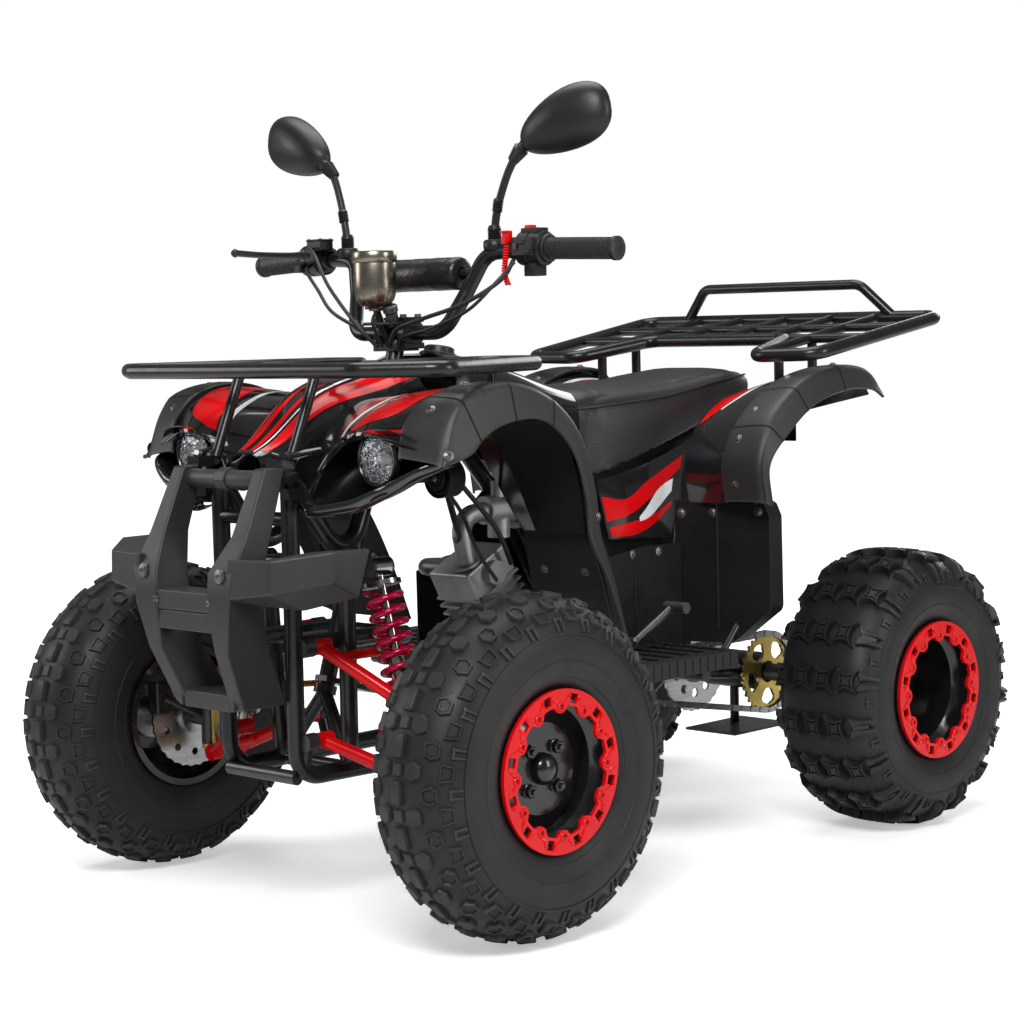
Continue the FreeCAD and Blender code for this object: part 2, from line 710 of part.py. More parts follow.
def tie_rod():
    """The left tie rod with an eye at each end."""
    inner, outer = tie_rod_points()
    half_in = STEM_DIR * (EYE_T / 2)
    half_out = Z_AXIS * (EYE_T / 2)
    along = Vector(outer - inner).normalize()
    shapes = [
        rod(inner - half_in, inner + half_in, EYE_R), rod(outer - half_out, outer + half_out, EYE_R),
        rod(inner + along * EYE_R / 2, outer - along * EYE_R / 2, TIE_ROD_R),
    ]
    bores = [
        rod(inner - half_in * 2, inner + half_in * 2, STUD_R + RUN_GAP),
        rod(outer - half_out * 2, outer + half_out * 2, EYE_BORE_R),
    ]
    return join(shapes).cut(Part.makeCompound(bores))


# Steering column, handlebar and controls

def steering_stem():
    """The steering column with its arm below and the bar clamp on top."""
    top = Vector(0, BAR_Y, BAR_CLAMP_Z)
    shaft = rod(STEM_LOW - STEM_DIR * PITMAN_T, top, STEM_R)
    back = Vector(0, STEM_DIR.z, -STEM_DIR.y)
    half = PITMAN_PIN_X + STUD_R * 2
    low = STEM_LOW - STEM_DIR * (PITMAN_T / 2)
    outline = [low - X_AXIS * STEM_R - back * STEM_R, low + X_AXIS * STEM_R - back * STEM_R]
    near, far = back * (STEER_ARM - EYE_R), back * (STEER_ARM + EYE_R)
    outline += [low + X_AXIS * half + near, low + X_AXIS * half + far]
    outline += [low - X_AXIS * half + far, low - X_AXIS * half + near]
    arm = plate(outline, STEM_DIR * PITMAN_T)
    studs = []
    for side in (1, -1):
        pin = pitman_pin(side)
        studs.append(rod(pin, pin + STEM_DIR * (PITMAN_T / 2 + EYE_T + RUN_GAP * 10), STUD_R))
    clamps = []
    for side in (1, -1):
        at = top + X_AXIS * (side * STEM_R * 2)
        clamps.append(disc(at, BAR_R * 2, STEM_R).cut(disc(at, BAR_R + RUN_GAP / 3, CUT_PAST)))
    bridge = block(top - STEM_DIR * (BAR_R * 2), STEM_R * 5, BAR_R * 3, BAR_R)
    stay_foot = top - STEM_DIR * (BAR_R * 2) - Y_AXIS * BAR_R
    saucer = gauge_base() - Z_AXIS * (RUN_GAP + PANEL_T / 2)
    stay = [rod(stay_foot, saucer, BAR_R / 2), disc(saucer, GAUGE_R / 2, PANEL_T, Z_AXIS)]
    body = join([shaft, arm, bridge] + stay + studs + clamps)
    return body.cut(rod(top - X_AXIS * STEM_R * 4, top + X_AXIS * STEM_R * 4, BAR_R + RUN_GAP / 3))


BAR_ROUTE_SHARES = [
    (0.0, 0.0, 0.0), (0.255, 0.0, 0.0), (0.315, 0.55, 0.52), (0.375, 0.92, 1.0), (0.60, 1.0, 1.04),
    (1.0, 1.30, 0.99),
]
BAR_BACK = 50.0


def bar_point(shares):
    """A point of the left half of the bar."""
    return spot(shares, Vector(0, BAR_Y, BAR_CLAMP_Z), (BAR_HALF_WIDTH, BAR_BACK, BAR_RISE))


def bar_path(radius):
    """A bent rod of some radius along the whole bar."""
    left = [bar_point(shares) for shares in BAR_ROUTE_SHARES]
    right = [Vector(-point.x, point.y, point.z) for point in left]
    return bent_rod(right[:0:-1] + left[1:], radius, BAR_BEND)


def handlebar():
    """The bent bar from end to end with its cross brace."""
    left = [bar_point(shares) for shares in BAR_ROUTE_SHARES]
    brace_left = (left[2] + left[3]) / 2
    brace_right = Vector(-brace_left.x, brace_left.y, brace_left.z)
    return join([bar_path(BAR_R), rod(brace_right, brace_left, BAR_R * 2 / 3)])


def along_grip(share):
    """A point on the straight grip stretch of the left bar, by its share."""
    start = bar_point(BAR_ROUTE_SHARES[-2])
    end = bar_point(BAR_ROUTE_SHARES[-1])
    return start + (end - start) * share


def grips():
    """The two hand grips with their end flanges."""
    end = along_grip(1)
    along = Vector(along_grip(0) - end).normalize()
    tip = end - along * GRIP_R / 3
    start = end + along * GRIP_L
    grip = rod(tip, start, GRIP_R)
    flange = rod(start - along * GRIP_R / 4, start, GRIP_R * 4 / 3)
    knob = rod(tip, tip + along * GRIP_R / 3, GRIP_R * 11 / 10)
    return pair(join([grip, flange, knob]).cut(bar_path(BAR_R + RUN_GAP / 3)))


def bar_pad():
    """The foam pad around the cross brace."""
    left = [bar_point(shares) for shares in BAR_ROUTE_SHARES]
    middle = (left[2] + left[3]) / 2
    centre = Vector(0, middle.y, middle.z)
    pad = disc(centre, PAD_R, PAD_L)
    pad = pad.makeFillet(PAD_R / 4, pad.Edges[0:1] + pad.Edges[2:3])
    return pad.cut(disc(centre, BAR_R * 2 / 3 + RUN_GAP, PAD_L * 2))


def controls():
    """Switch box on the left; throttle box, lever perch, brake lever and reservoir on the right."""
    along = Vector(along_grip(0) - along_grip(1)).normalize()
    inner = along_grip(1) + along * (GRIP_L + RUN_GAP * 2)
    outer = inner + along * SWITCH_L
    passage = bar_path(BAR_R + RUN_GAP / 3)
    box = rod(inner, outer, SWITCH_R)
    lobe = block((inner + outer) / 2 - Z_AXIS * SWITCH_R, SWITCH_L / 2, SWITCH_R, SWITCH_R)
    button = block((inner + outer) / 2 + Z_AXIS * SWITCH_R, SWITCH_L / 3, SWITCH_R / 2, SWITCH_R / 3)
    clamp = rod(outer, outer + along * SWITCH_L / 3, BAR_R * 3 / 2)
    left = join([box, lobe, button, clamp]).cut(passage)
    base = Vector(-outer.x, outer.y, outer.z)
    perch = block(base + Vector(0, -BAR_R * 2, BAR_R / 2), SWITCH_L / 2, BAR_R * 3, BAR_R * 2)
    cup_at = base + Vector(SWITCH_L / 4, -BAR_R * 2, BAR_R * 2)
    cup = block(cup_at, SWITCH_L * 3 / 4, SWITCH_R, SWITCH_R * 2 / 3)
    pivot = base + Vector(-SWITCH_L / 3, -BAR_R * 3, BAR_R / 2)
    lever_end = pivot + Vector(-GRIP_L * 3 / 4, -GRIP_R, BAR_R / 2)
    lever = [rod(base + Vector(0, -BAR_R * 3, BAR_R / 2), pivot, BAR_R * 2 / 3),
             rod(pivot, lever_end, BAR_R / 2), Part.makeSphere(BAR_R * 2 / 3, lever_end)]
    thumb = block(Vector(SWITCH_R / 2 - inner.x, inner.y - SWITCH_R, inner.z - SWITCH_R / 2),
                  SWITCH_R / 2, SWITCH_R, SWITCH_R / 2)
    right = join([mirrored(box), mirrored(clamp), perch, cup, thumb] + lever).cut(passage)
    return [left, right]


MIRROR_FOOT_SHARE = 0.2


def mirror():
    """The left mirror: clamp, bent stem and rounded head with a flat glass side."""
    bend = bar_point(BAR_ROUTE_SHARES[-3])
    foot = bend + (along_grip(0) - bend) * MIRROR_FOOT_SHARE
    root = foot + Z_AXIS * (BAR_R * 5 / 2)
    head = Vector(MIRROR_X, foot.y, MIRROR_Z)
    neck = head + Vector(-MIRROR_W * 3 / 5, 0, -MIRROR_H / 2)
    elbow = Vector(foot.x + BAR_R, foot.y, root.z + (neck.z - root.z) * 2 / 5)
    shell = Part.makeSphere(1)
    shape = FreeCAD.Matrix()
    shape.scale(MIRROR_W / 2, MIRROR_T, MIRROR_H / 2)
    shell = shell.transformGeometry(shape)
    shell.rotate(ORIGIN, Y_AXIS, -12)
    shell.translate(head)
    back_cut = block(head + Vector(0, MIRROR_T, 0), MIRROR_W * 2, MIRROR_T * 2, MIRROR_H * 2)
    stem = bent_rod([root, elbow, neck, head - Y_AXIS * MIRROR_T / 3], MIRROR_STEM_R, BAR_BEND)
    mount = rod(foot + Z_AXIS * BAR_R / 2, root + Z_AXIS * BAR_R, MIRROR_STEM_R * 5 / 3)
    shapes = join([shell.cut(back_cut), stem, mount])
    return shapes.cut(bar_path(BAR_R + RUN_GAP / 3))


GAUGE_SHARES = [
    (0.0, 0.0), (0.62, 0.0), (0.86, 0.1), (0.98, 0.3), (1.0, 0.9), (1.06, 0.92), (1.06, 1.0), (0.0, 1.0),
]
GAUGE_LEAD = 46.0


def gauge_base():
    """The middle of the gauge cup's underside."""
    return Vector(0, BAR_Y - GAUGE_LEAD, BAR_CLAMP_Z + GAUGE_H / 2)


def gauge():
    """The round gauge cup with its bezel."""
    base = gauge_base()
    points = [base + Vector(out * GAUGE_R, 0, up * GAUGE_H) for out, up in GAUGE_SHARES]
    return polygon_face(points).revolve(base, Z_AXIS, 360)


# Welded frame and racks

FRAME_SPOT_SHARES = {
    "nose_low": (0.68, 0.0, 0.0), "nose_mid": (0.58, 0.0, 0.313), "nose_top": (0.70, 0.0, 0.72),
    "nose_bar": (0.69, 0.0, 0.62), "post_low": (0.68, 0.094, 0.0), "rail_end": (0.58, 0.188, 0.313),
    "tower": (0.80, 0.086, 0.495), "head": (0.34, 0.235, 0.93), "spine": (0.55, 0.45, 0.735),
    "seat_front": (0.77, 0.53, 0.616), "seat_rear": (0.77, 0.94, 0.806), "pivot": (0.87, 0.716, 0.095),
    "rear_low": (0.87, 0.62, 0.0), "shock_top": (0.77, 0.775, 0.709), "rest_front": (0.75, 0.46, 0.0),
    "rest_rear": (0.84, 0.60, 0.0), "panel_stay": (0.77, 0.645, 0.66),
}
FRAME_RUNS = [
    ("nose_top", "nose_low", "rear_low", "pivot", "shock_top"), ("head", "spine", "seat_front", "seat_rear"),
    ("nose_mid", "rail_end"), ("post_low", "tower"), ("nose_top", "tower", "head"), ("seat_front", "pivot"),
]
FRAME_CROSS = ["nose_low", "nose_bar", "post_low", "tower", "rail_end", "seat_rear", "shock_top", "rear_low"]


def frame_spot(name):
    """A joint of the left half of the welded frame."""
    corner = Vector(0, FRONT_AXLE_Y - FRAME_LEAD, FRAME_LOW_Z)
    return spot(FRAME_SPOT_SHARES[name], corner, (FRAME_HALF_WIDTH, FRAME_LENGTH, FRAME_HEIGHT))


def tube_run(points, radius, bend):
    """A straight or bent tube through its points."""
    if len(points) == 2:
        return rod(points[0], points[1], radius)
    return bent_rod(points, radius, bend)


def across(point, radius):
    """A straight bar from a point to its mirror image."""
    return rod(Vector(-point.x, point.y, point.z), point, radius)


def frame():
    """The welded tube frame with brackets for arms, column, shocks and foot rests."""
    runs = [tube_run([frame_spot(name) for name in names], FRAME_TUBE_R, FRAME_BEND) for names in FRAME_RUNS]
    body = runs[0]
    for piece in runs[1:] + frame_brackets():
        body = body.fuse(piece)
    for piece in [mirrored(body)] + [across(frame_spot(name), FRAME_SMALL_R) for name in FRAME_CROSS]:
        body = body.fuse(piece)
    for piece in column_bracket():
        body = body.fuse(piece)
    passage = rod(STEM_LOW, STEM_HEAD, STEM_R + RUN_GAP)
    return body.cut(passage)


def frame_brackets():
    """The left brackets: arm ears, shock mount, side panel stay, foot rest outriggers."""
    shapes = []
    for inner_z, root in ((UPPER_INNER_Z, frame_spot("nose_mid")), (LOWER_INNER_Z, frame_spot("nose_low"))):
        for side, reach in ((-1, ARM_INNER_FRONT), (1, ARM_INNER_REAR)):
            face = Vector(ARM_INNER_X, FRONT_AXLE_Y + side * (reach + RUN_GAP), inner_z)
            depth = Y_AXIS * (side * FRAME_SMALL_R * 2)
            middle = face + depth / 2
            shapes.append(rod(face, face + depth, ARM_BUSH_R))
            shapes.append(rod(middle, Vector(root.x, middle.y, root.z), FRAME_SMALL_R * 4 / 5))
    top = shock_ends()[0]
    tower = frame_spot("tower")
    back = top.y + SHOCK_EYE_L / 2 + RUN_GAP + PANEL_T
    shapes.append(rod(tower, Vector(tower.x, back, tower.z), FRAME_SMALL_R * 9 / 10))
    for side in (1, -1):
        ear = top + Y_AXIS * (side * (SHOCK_EYE_L / 2 + RUN_GAP + PANEL_T / 2))
        shapes.append(disc(ear, SHOCK_EYE_R, PANEL_T, Y_AXIS))
        shapes.append(block(Vector((tower.x + ear.x) / 2, ear.y, ear.z), ear.x - tower.x, PANEL_T, SHOCK_EYE_R))
    rail = frame_spot("seat_rear")
    tail = Vector(rail.x, rail.y - FRAME_TUBE_R, TAIL_Z - RUN_GAP - FRAME_SMALL_R)
    shapes.append(rod(tail, tail + Y_AXIS * (FRAME_TUBE_R + TAIL_LENGTH), FRAME_SMALL_R))
    stay = frame_spot("panel_stay")
    shapes.append(rod(stay, Vector(SIDE_X - RUN_GAP, stay.y, stay.z), FRAME_SMALL_R / 2))
    return shapes + rest_brackets()


def rest_brackets():
    """The left outriggers under the foot rest and the stay of the heel guard."""
    shapes = []
    level = REST_TOP_Z - REST_T - RUN_GAP - FRAME_SMALL_R
    for name in ("rest_front", "rest_rear"):
        root = frame_spot(name)
        knee = Vector(REST_INNER_X, root.y, level)
        tip = Vector(REST_OUTER_X - REST_T, root.y, level)
        shapes.append(bent_rod([root, knee, tip], FRAME_SMALL_R, FRAME_BEND))
    stay_x = (HEEL_INNER_X + HEEL_OUTER_X) / 2
    start = Vector(stay_x, frame_spot("rest_rear").y, level)
    guard_y = REAR_AXLE_Y - HEEL_LEAD + HEEL_SWEEP / 2
    knee = Vector(stay_x, start.y + (guard_y - start.y) * 2 / 3, level)
    end = Vector(stay_x, guard_y + HEEL_SWEEP / 2, HEEL_LOW_Z + HEEL_HEIGHT / 4)
    stay = bent_rod([start, knee, end], FRAME_SMALL_R * 3 / 5, FRAME_BEND)
    pieces = stay.cut(heel_guard().translated(-Y_AXIS * RUN_GAP)).Solids
    shapes.append(max(pieces, key=lambda piece: piece.Volume))
    return shapes


def column_bracket():
    """The cross plate that carries the steering column's upper bearing, and its foot bearing."""
    head = frame_spot("head")
    at = STEM_LOW + STEM_DIR * ((head.z - STEM_LOW.z) / STEM_DIR.z)
    collar = rod(at - STEM_DIR * FRAME_TUBE_R, at + STEM_DIR * FRAME_TUBE_R, STEM_R + FRAME_SMALL_R)
    arms = [rod(at, head, FRAME_SMALL_R), rod(at, Vector(-head.x, head.y, head.z), FRAME_SMALL_R)]
    low = STEM_LOW - STEM_DIR * (PITMAN_T + RUN_GAP)
    foot = rod(low, low - STEM_DIR * FRAME_TUBE_R, STEM_R + PANEL_T)
    front = frame_spot("post_low")
    legs = [rod(low - STEM_DIR * FRAME_SMALL_R, Vector(side * front.x, front.y, front.z), FRAME_SMALL_R)
            for side in (1, -1)]
    return [collar, foot] + arms + legs


FRONT_RACK_FRONT_SHARES = [(0.0, 0.0), (0.71, 0.0), (1.0, 0.19), (0.67, 1.0), (0.38, 1.0), (0.38, 0.41)]
FRONT_RACK_STAY_SHARE = 0.24
FRONT_RACK_LEG_SHARE = 0.56


def front_rack_point(shares):
    """A point on the front rack."""
    corner = (0, FRONT_AXLE_Y - FRONT_RACK_LEAD, FRONT_RACK_Z)
    return spot((shares[0], shares[1], 0), corner, (FRONT_RACK_HALF_W, FRONT_RACK_DEPTH, 0))


def standing_on(post, shell):
    """The stretch of a post above a shell, with a small gap below it."""
    lifted = shell.translated(Z_AXIS * RUN_GAP)
    pieces = post.cut(lifted).Solids
    return max(pieces, key=lambda piece: piece.CenterOfMass.z)


def front_rack():
    """The flat tube rack over the nose with its stays."""
    route = [front_rack_point(shares) for shares in FRONT_RACK_FRONT_SHARES]
    right = [Vector(-point.x, point.y, point.z) for point in route[1:]]
    shapes = [bent_rod(right[::-1] + route[1:], RACK_R, RACK_BEND)]
    inner_end = FRONT_RACK_FRONT_SHARES[-1][1]
    shapes.append(across(front_rack_point((0.93, inner_end)), RACK_BAR_R * 9 / 10))
    shapes += pair(rod(front_rack_point((0.65, 0)), front_rack_point((0.65, 1)), RACK_BAR_R))
    stay_x = FRONT_RACK_STAY_SHARE
    shapes += pair(rod(front_rack_point((stay_x, 0)), front_rack_point((stay_x, inner_end)), RACK_BAR_R))
    nose = frame_spot("nose_top")
    stay_top = front_rack_point((stay_x, inner_end / 2))
    foot = Vector(stay_top.x, nose.y, nose.z + FRAME_TUBE_R * 2)
    shapes += pair(rod(stay_top, foot, RACK_BAR_R))
    shapes += pair(disc(foot - Y_AXIS * RACK_BAR_R / 2, RACK_R, RACK_BAR_R))
    leg_top = front_rack_point((FRONT_RACK_LEG_SHARE, 5 / 6))
    cross = front_rack_point((0.73, 5 / 6))
    shapes += pair(rod(Vector(leg_top.x * 2 / 3, leg_top.y, leg_top.z), cross, RACK_BAR_R * 9 / 10))
    leg = rod(leg_top, leg_top - Z_AXIS * ARCH_R, RACK_BAR_R)
    shapes += pair(standing_on(leg, front_fender()))
    return join(shapes)


REAR_LOOP_SHARES = [(0.46, 0.437), (0.605, 0.0), (0.963, 0.034), (1.0, 1.0)]
REAR_LONG_SHARES = [0.0, 0.31, 0.60]


def rear_rack_point(shares):
    """A point on the rear rack, which rises towards the back."""
    corner = (0, REAR_AXLE_Y - REAR_RACK_START, REAR_RACK_Z)
    spans = (REAR_RACK_HALF_W, REAR_RACK_LENGTH, REAR_RACK_RISE)
    return spot((shares[0], shares[1], shares[1]), corner, spans)


def rear_rack():
    """The rear tube rack with its two horns, hoop and four stays."""
    left = [rear_rack_point(shares) for shares in REAR_LOOP_SHARES]
    front = rear_rack_point((0, REAR_LOOP_SHARES[0][1]))
    rear = rear_rack_point((0, 1))
    half = bent_rod([front] + left + [rear], RACK_R, RACK_BEND)
    shapes = pair(half)
    for share in REAR_LONG_SHARES:
        start = REAR_LOOP_SHARES[0][1] if share < REAR_LOOP_SHARES[0][0] else 0.03
        bar = rod(rear_rack_point((share, start)), rear_rack_point((share, 1)), RACK_BAR_R)
        shapes += pair(bar) if share else [bar]
    shapes.append(across(rear_rack_point((0.99, 0.72)), RACK_BAR_R * 9 / 10))
    shapes += pair(rod(rear_rack_point((0.46, 0.437)), rear_rack_point((0.975, 0.437)), RACK_BAR_R))
    foot = rear_rack_point((HOOP_HALF_W / REAR_RACK_HALF_W, 1))
    shoulder = foot + Vector(-HOOP_H, -HOOP_H / 3, HOOP_H)
    opposite = [Vector(-point.x, point.y, point.z) for point in (shoulder, foot)]
    shapes.append(bent_rod([foot, shoulder] + opposite, RACK_R * 4 / 5, RACK_BEND))
    fender = rear_fender()
    for along in (0.20, 0.46):
        top = rear_rack_point((REAR_LONG_SHARES[-1], along))
        stay = rod(top, top - Z_AXIS * REAR_ARCH_R, RACK_BAR_R)
        shapes += pair(standing_on(stay, fender))
    return join(shapes)


# Bumper guard

BUMPER_LEG_SHARES = [
    (1.0, 0.31, 0.50, 0.085, 0.24), (0.74, 0.315, 0.22, 0.115, 0.30), (0.60, 0.29, 0.02, 0.19, 0.38),
    (0.46, 0.275, 0.0, 0.165, 0.40), (0.28, 0.255, 0.06, 0.10, 0.50), (0.04, 0.21, 0.30, 0.10, 0.52),
]
BUMPER_WING_SHARES = [
    (0.34, ((0.03, 0.66), (0.0, 0.50), (0.42, 0.46), (0.50, 0.64))),
    (0.66, ((0.10, 0.66), (0.09, 0.53), (0.50, 0.45), (0.62, 0.68))),
    (0.88, ((0.52, 0.69), (0.51, 0.57), (0.82, 0.50), (0.98, 0.69))),
]


def bumper_point(x_share, depth_share, height_share):
    """A point of the bumper: shares of its half width, depth and height."""
    corner = (0, FRONT_AXLE_Y - BUMPER_LEAD, BUMPER_LOW_Z)
    return spot((x_share, depth_share, height_share), corner, (BUMPER_HALF_W, BUMPER_DEPTH, BUMPER_HEIGHT))


def bumper():
    """The moulded guard: two tapered legs, cross members with two openings, side wings."""
    sections = []
    for height, middle, front, width, depth in BUMPER_LEG_SHARES:
        left, right = middle + width / 2, middle - width / 2
        sections.append([bumper_point(right, front, height), bumper_point(left, front, height),
                         bumper_point(left, front + depth, height), bumper_point(right, front + depth, height)])
    leg = ruled_body(sections)
    wing = ruled_body([[bumper_point(x, depth, height) for depth, height in outline]
                       for x, outline in BUMPER_WING_SHARES])
    shapes = pair(leg) + pair(wing)
    for low, high, front, back, reach in ((0.44, 0.52, 0.02, 0.34, 0.25), (0.03, 0.10, 0.27, 0.75, 0.18),
                                          (0.36, 0.40, 0.05, 0.30, 0.22)):
        start = bumper_point(-reach, front, low)
        end = bumper_point(reach, back, high)
        shapes.append(Part.makeBox(end.x - start.x, end.y - start.y, end.z - start.z, start))
    bar = bumper_point(0.31, 0.60, 0.95)
    shapes.append(rod(Vector(-bar.x, bar.y, bar.z), bar, RACK_R * 5 / 4))
    clamp = Vector(0, bar.y, bar.z)
    shapes.append(block(clamp, RACK_R * 2, RACK_R * 3, RACK_R * 3))
    for height, depth in ((0.08, 0.55), (0.62, 0.30)):
        inner = bumper_point(0.23, depth, height)
        frame_face = Vector(inner.x, frame_spot("nose_low").y - FRAME_TUBE_R - RUN_GAP, inner.z)
        shapes += pair(block((inner + frame_face) / 2, FRAME_TUBE_R, abs(frame_face.y - inner.y), FRAME_TUBE_R))
    return join(shapes)


# Arched shells: fenders and flares over the wheels

FRONT_FLARE_SHARES = [
    (44, 0.746, 0.856, 0.810, 0.791), (36, 0.752, 0.958, 0.882, 0.741), (29, 0.761, 0.996, 0.951, 0.722),
    (22, 0.770, 1.011, 1.0, 0.749), (12, 0.782, 1.004, 1.0, 0.772), (0, 0.791, 0.989, 0.989, 0.787),
    (-12, 0.80, 0.962, 0.962, 0.798), (-24, 0.812, 0.924, 0.924, 0.768), (-38, 0.836, 0.856, 0.856, 0.703),
    (-58, 0.884, 0.741, 0.741, 0.601), (-78, 0.896, 0.681, 0.681, 0.540), (-100, 0.896, 0.779, 0.779, 0.665),
    (-119, 0.896, 0.989, 0.989, 0.897),
]
RIDGE_SHARE = 0.96
LINER_INNER_SHARES = [0.50, 0.46, 0.42]


def arch_point(x, radius, angle, centre_y, centre_z):
    """A point over a wheel: angle from straight up, positive towards the nose."""
    turn = math.radians(angle)
    return Vector(x, centre_y - radius * math.sin(turn), centre_z + radius * math.cos(turn))


def arched_shell(rows, centre_y, centre_z, thick):
    """A shell through rows of (angle, [(x, radius), ...]), its inner side nearer the centre."""
    sections = []
    for angle, line in rows:
        outer = [arch_point(x, radius, angle, centre_y, centre_z) for x, radius in line]
        inner = [arch_point(x, radius - thick, angle, centre_y, centre_z) for x, radius in line]
        sections.append(outer + inner[::-1])
    return ruled_body(sections)


def flare_rows(shares_table, arch_r, outer_x):
    """The cross-sections of a flare: inner edge, ridge and turned-down outer edge."""
    rows = []
    for angle, inner_x, inner_r, ridge_r, edge_r in shares_table:
        ridge_x = outer_x * RIDGE_SHARE
        line = [(inner_x * outer_x, inner_r * arch_r), (ridge_x, ridge_r * arch_r),
                (outer_x, edge_r * arch_r)]
        rows.append((angle, line))
    return rows


def front_arch_y():
    """The Y of the front arch's centre."""
    return FRONT_AXLE_Y + ARCH_BACK


def front_flare():
    """The left front flare, arched over the wheel with a leg down behind it."""
    rows = flare_rows(FRONT_FLARE_SHARES, ARCH_R, FLARE_OUTER_X)
    liner = []
    for (angle, line), inner_x in zip(rows[-3:], LINER_INNER_SHARES):
        edge_x, radius = line[0]
        liner.append((angle, [(inner_x * FLARE_OUTER_X, radius), (edge_x, radius)]))
    shells = [arched_shell(part, front_arch_y(), ARCH_Z, PANEL_T) for part in (rows, liner)]
    return join(shells)


FRONT_FENDER_SHARES = [
    (41, (0.24, 0.82), (0.45, 0.905), (0.66, 0.975), (0.83, 0.876), (1.0, 0.835)),
    (34, (0.22, 0.86), (0.45, 0.94), (0.66, 0.985), (0.83, 0.952), (1.0, 0.903)),
    (24, (0.22, 0.90), (0.45, 0.945), (0.66, 0.975), (0.83, 0.988), (1.0, 0.972)),
    (10, (0.22, 0.92), (0.45, 0.94), (0.66, 0.965), (0.83, 0.983), (1.0, 0.979)),
    (-10, (0.26, 0.90), (0.48, 0.92), (0.66, 0.935), (0.83, 0.948), (1.0, 0.946)),
    (-24, (0.32, 0.87), (0.52, 0.88), (0.68, 0.895), (0.84, 0.905), (1.0, 0.904)),
    (-38, (0.38, 0.80), (0.55, 0.81), (0.70, 0.825), (0.85, 0.836), (1.0, 0.835)),
    (-58, (0.46, 0.70), (0.60, 0.71), (0.73, 0.715), (0.86, 0.721), (1.0, 0.720)),
    (-78, (0.58, 0.645), (0.68, 0.65), (0.79, 0.652), (0.90, 0.66), (1.0, 0.66)),
]


def shell_rows(shares_table, arch_r, outer_x):
    """Rows for an arched shell from shares of the arch radius and outer X."""
    return [(row[0], [(x * outer_x, radius * arch_r) for x, radius in row[1:]]) for row in shares_table]


HOOD_SHARES = [
    (0.0, 0.36, 0.845, 0.05), (0.13, 0.50, 0.872, 0.10), (0.41, 0.70, 0.945, 0.15),
    (0.75, 0.92, 0.982, 0.19), (1.0, 1.0, 1.0, 0.20),
]
HOOD_ACROSS_SHARES = [(1.0, 1.0), (0.94, 0.35), (0.55, 0.05), (0.0, 0.0)]


def hood_sections(inset):
    """Cross-sections of the centre hood, set in by a wall thickness."""
    sections = []
    for along, width, top, drop in HOOD_SHARES:
        y = FRONT_AXLE_Y - HOOD_LEAD + along * HOOD_LENGTH
        half = width * HOOD_HALF_W - inset
        left = [Vector(out * half, y, HOOD_TOP_Z * (top - down * drop) - inset * (1 - down))
                for out, down in HOOD_ACROSS_SHARES]
        right = [Vector(-point.x, point.y, point.z) for point in left[-2::-1]]
        sections.append(left + right)
    return sections


def front_fender():
    """The left front fender's glossy top."""
    return arched_shell(shell_rows(FRONT_FENDER_SHARES, ARCH_R, FENDER_OUTER_X),
                        front_arch_y(), ARCH_Z, PANEL_T)


def front_body():
    """The glossy front moulding: centre hood, both fender tops and lamp trays."""
    outer = hood_sections(0)
    inner = hood_sections(PANEL_T)
    hood = ruled_body([out + back[::-1] for out, back in zip(outer, inner)])
    body = join([hood] + pair(front_fender()) + pair(lamp_tray()) + pair(lamp_cheek()))
    face = Vector(LAMP_X, FRONT_AXLE_Y - LAMP_LEAD, LAMP_Z)
    socket = rod(face + Y_AXIS * LAMP_POD_L, face - Y_AXIS * LAMP_POD_L, LAMP_POD_R + RUN_GAP)
    return body.cut(Part.makeCompound(pair(socket)))


TRAY_SHARES = [
    (0.36, 0.0, 0.0), (0.43, 0.06, -0.01), (0.62, 0.17, 0.02), (0.75, 0.31, 0.12),
    (0.87, 0.36, 0.30), (0.99, 0.50, 0.50),
]


def tray_point(depth_share, height_share, x):
    """A point of the lamp tray."""
    front_y = FRONT_AXLE_Y - TRAY_DEPTH - FRAME_SMALL_R * 3 / 4
    low_z = LAMP_Z - TRAY_HEIGHT * 2 / 3
    return Vector(x, front_y + depth_share * TRAY_DEPTH, low_z + height_share * TRAY_HEIGHT)


def lamp_tray():
    """The left scooped tray under the brow, with its lip and back wall."""
    sections = []
    lip = PANEL_T * 3 / TRAY_HEIGHT
    skin = PANEL_T / TRAY_DEPTH
    rise = PANEL_T / TRAY_HEIGHT
    for x_share, depth, height in TRAY_SHARES:
        x = x_share * FENDER_OUTER_X
        outline = [(depth, height + lip), (depth, height), (0.90, height - 0.03), (0.90, 1.02),
                   (0.90 - skin, 1.02), (0.90 - skin, height + rise), (depth + skin, height + rise * 2),
                   (depth + skin, height + lip)]
        sections.append([tray_point(y, z, x) for y, z in outline])
    return ruled_body(sections)


def lamp_cheek():
    """The left side wall between the tray and the nose."""
    x = TRAY_SHARES[0][0] * FENDER_OUTER_X
    outline = [(0.0, 0.10), (0.0, 0.0), (0.90, -0.03), (0.90, 1.02), (0.50, 1.02), (0.30, 0.70)]
    points = [tray_point(y, z, x - PANEL_T / 2) for y, z in outline]
    return plate(points, X_AXIS * PANEL_T)


def lamp_pod():
    """The left headlamp's deep bezel."""
    face = Vector(LAMP_X, FRONT_AXLE_Y - LAMP_LEAD, LAMP_Z)
    back = face + Y_AXIS * LAMP_POD_L
    shell = rod(back, face, LAMP_POD_R)
    return shell.cut(rod(face + Y_AXIS * LAMP_POD_L * 2 / 3, face - Y_AXIS * CUT_PAST, LAMP_R + RUN_GAP))


LENS_SHARES = [(0.0, 0.0), (1.0, 0.0), (1.0, 0.55), (0.82, 0.82), (0.45, 0.97), (0.0, 1.0)]


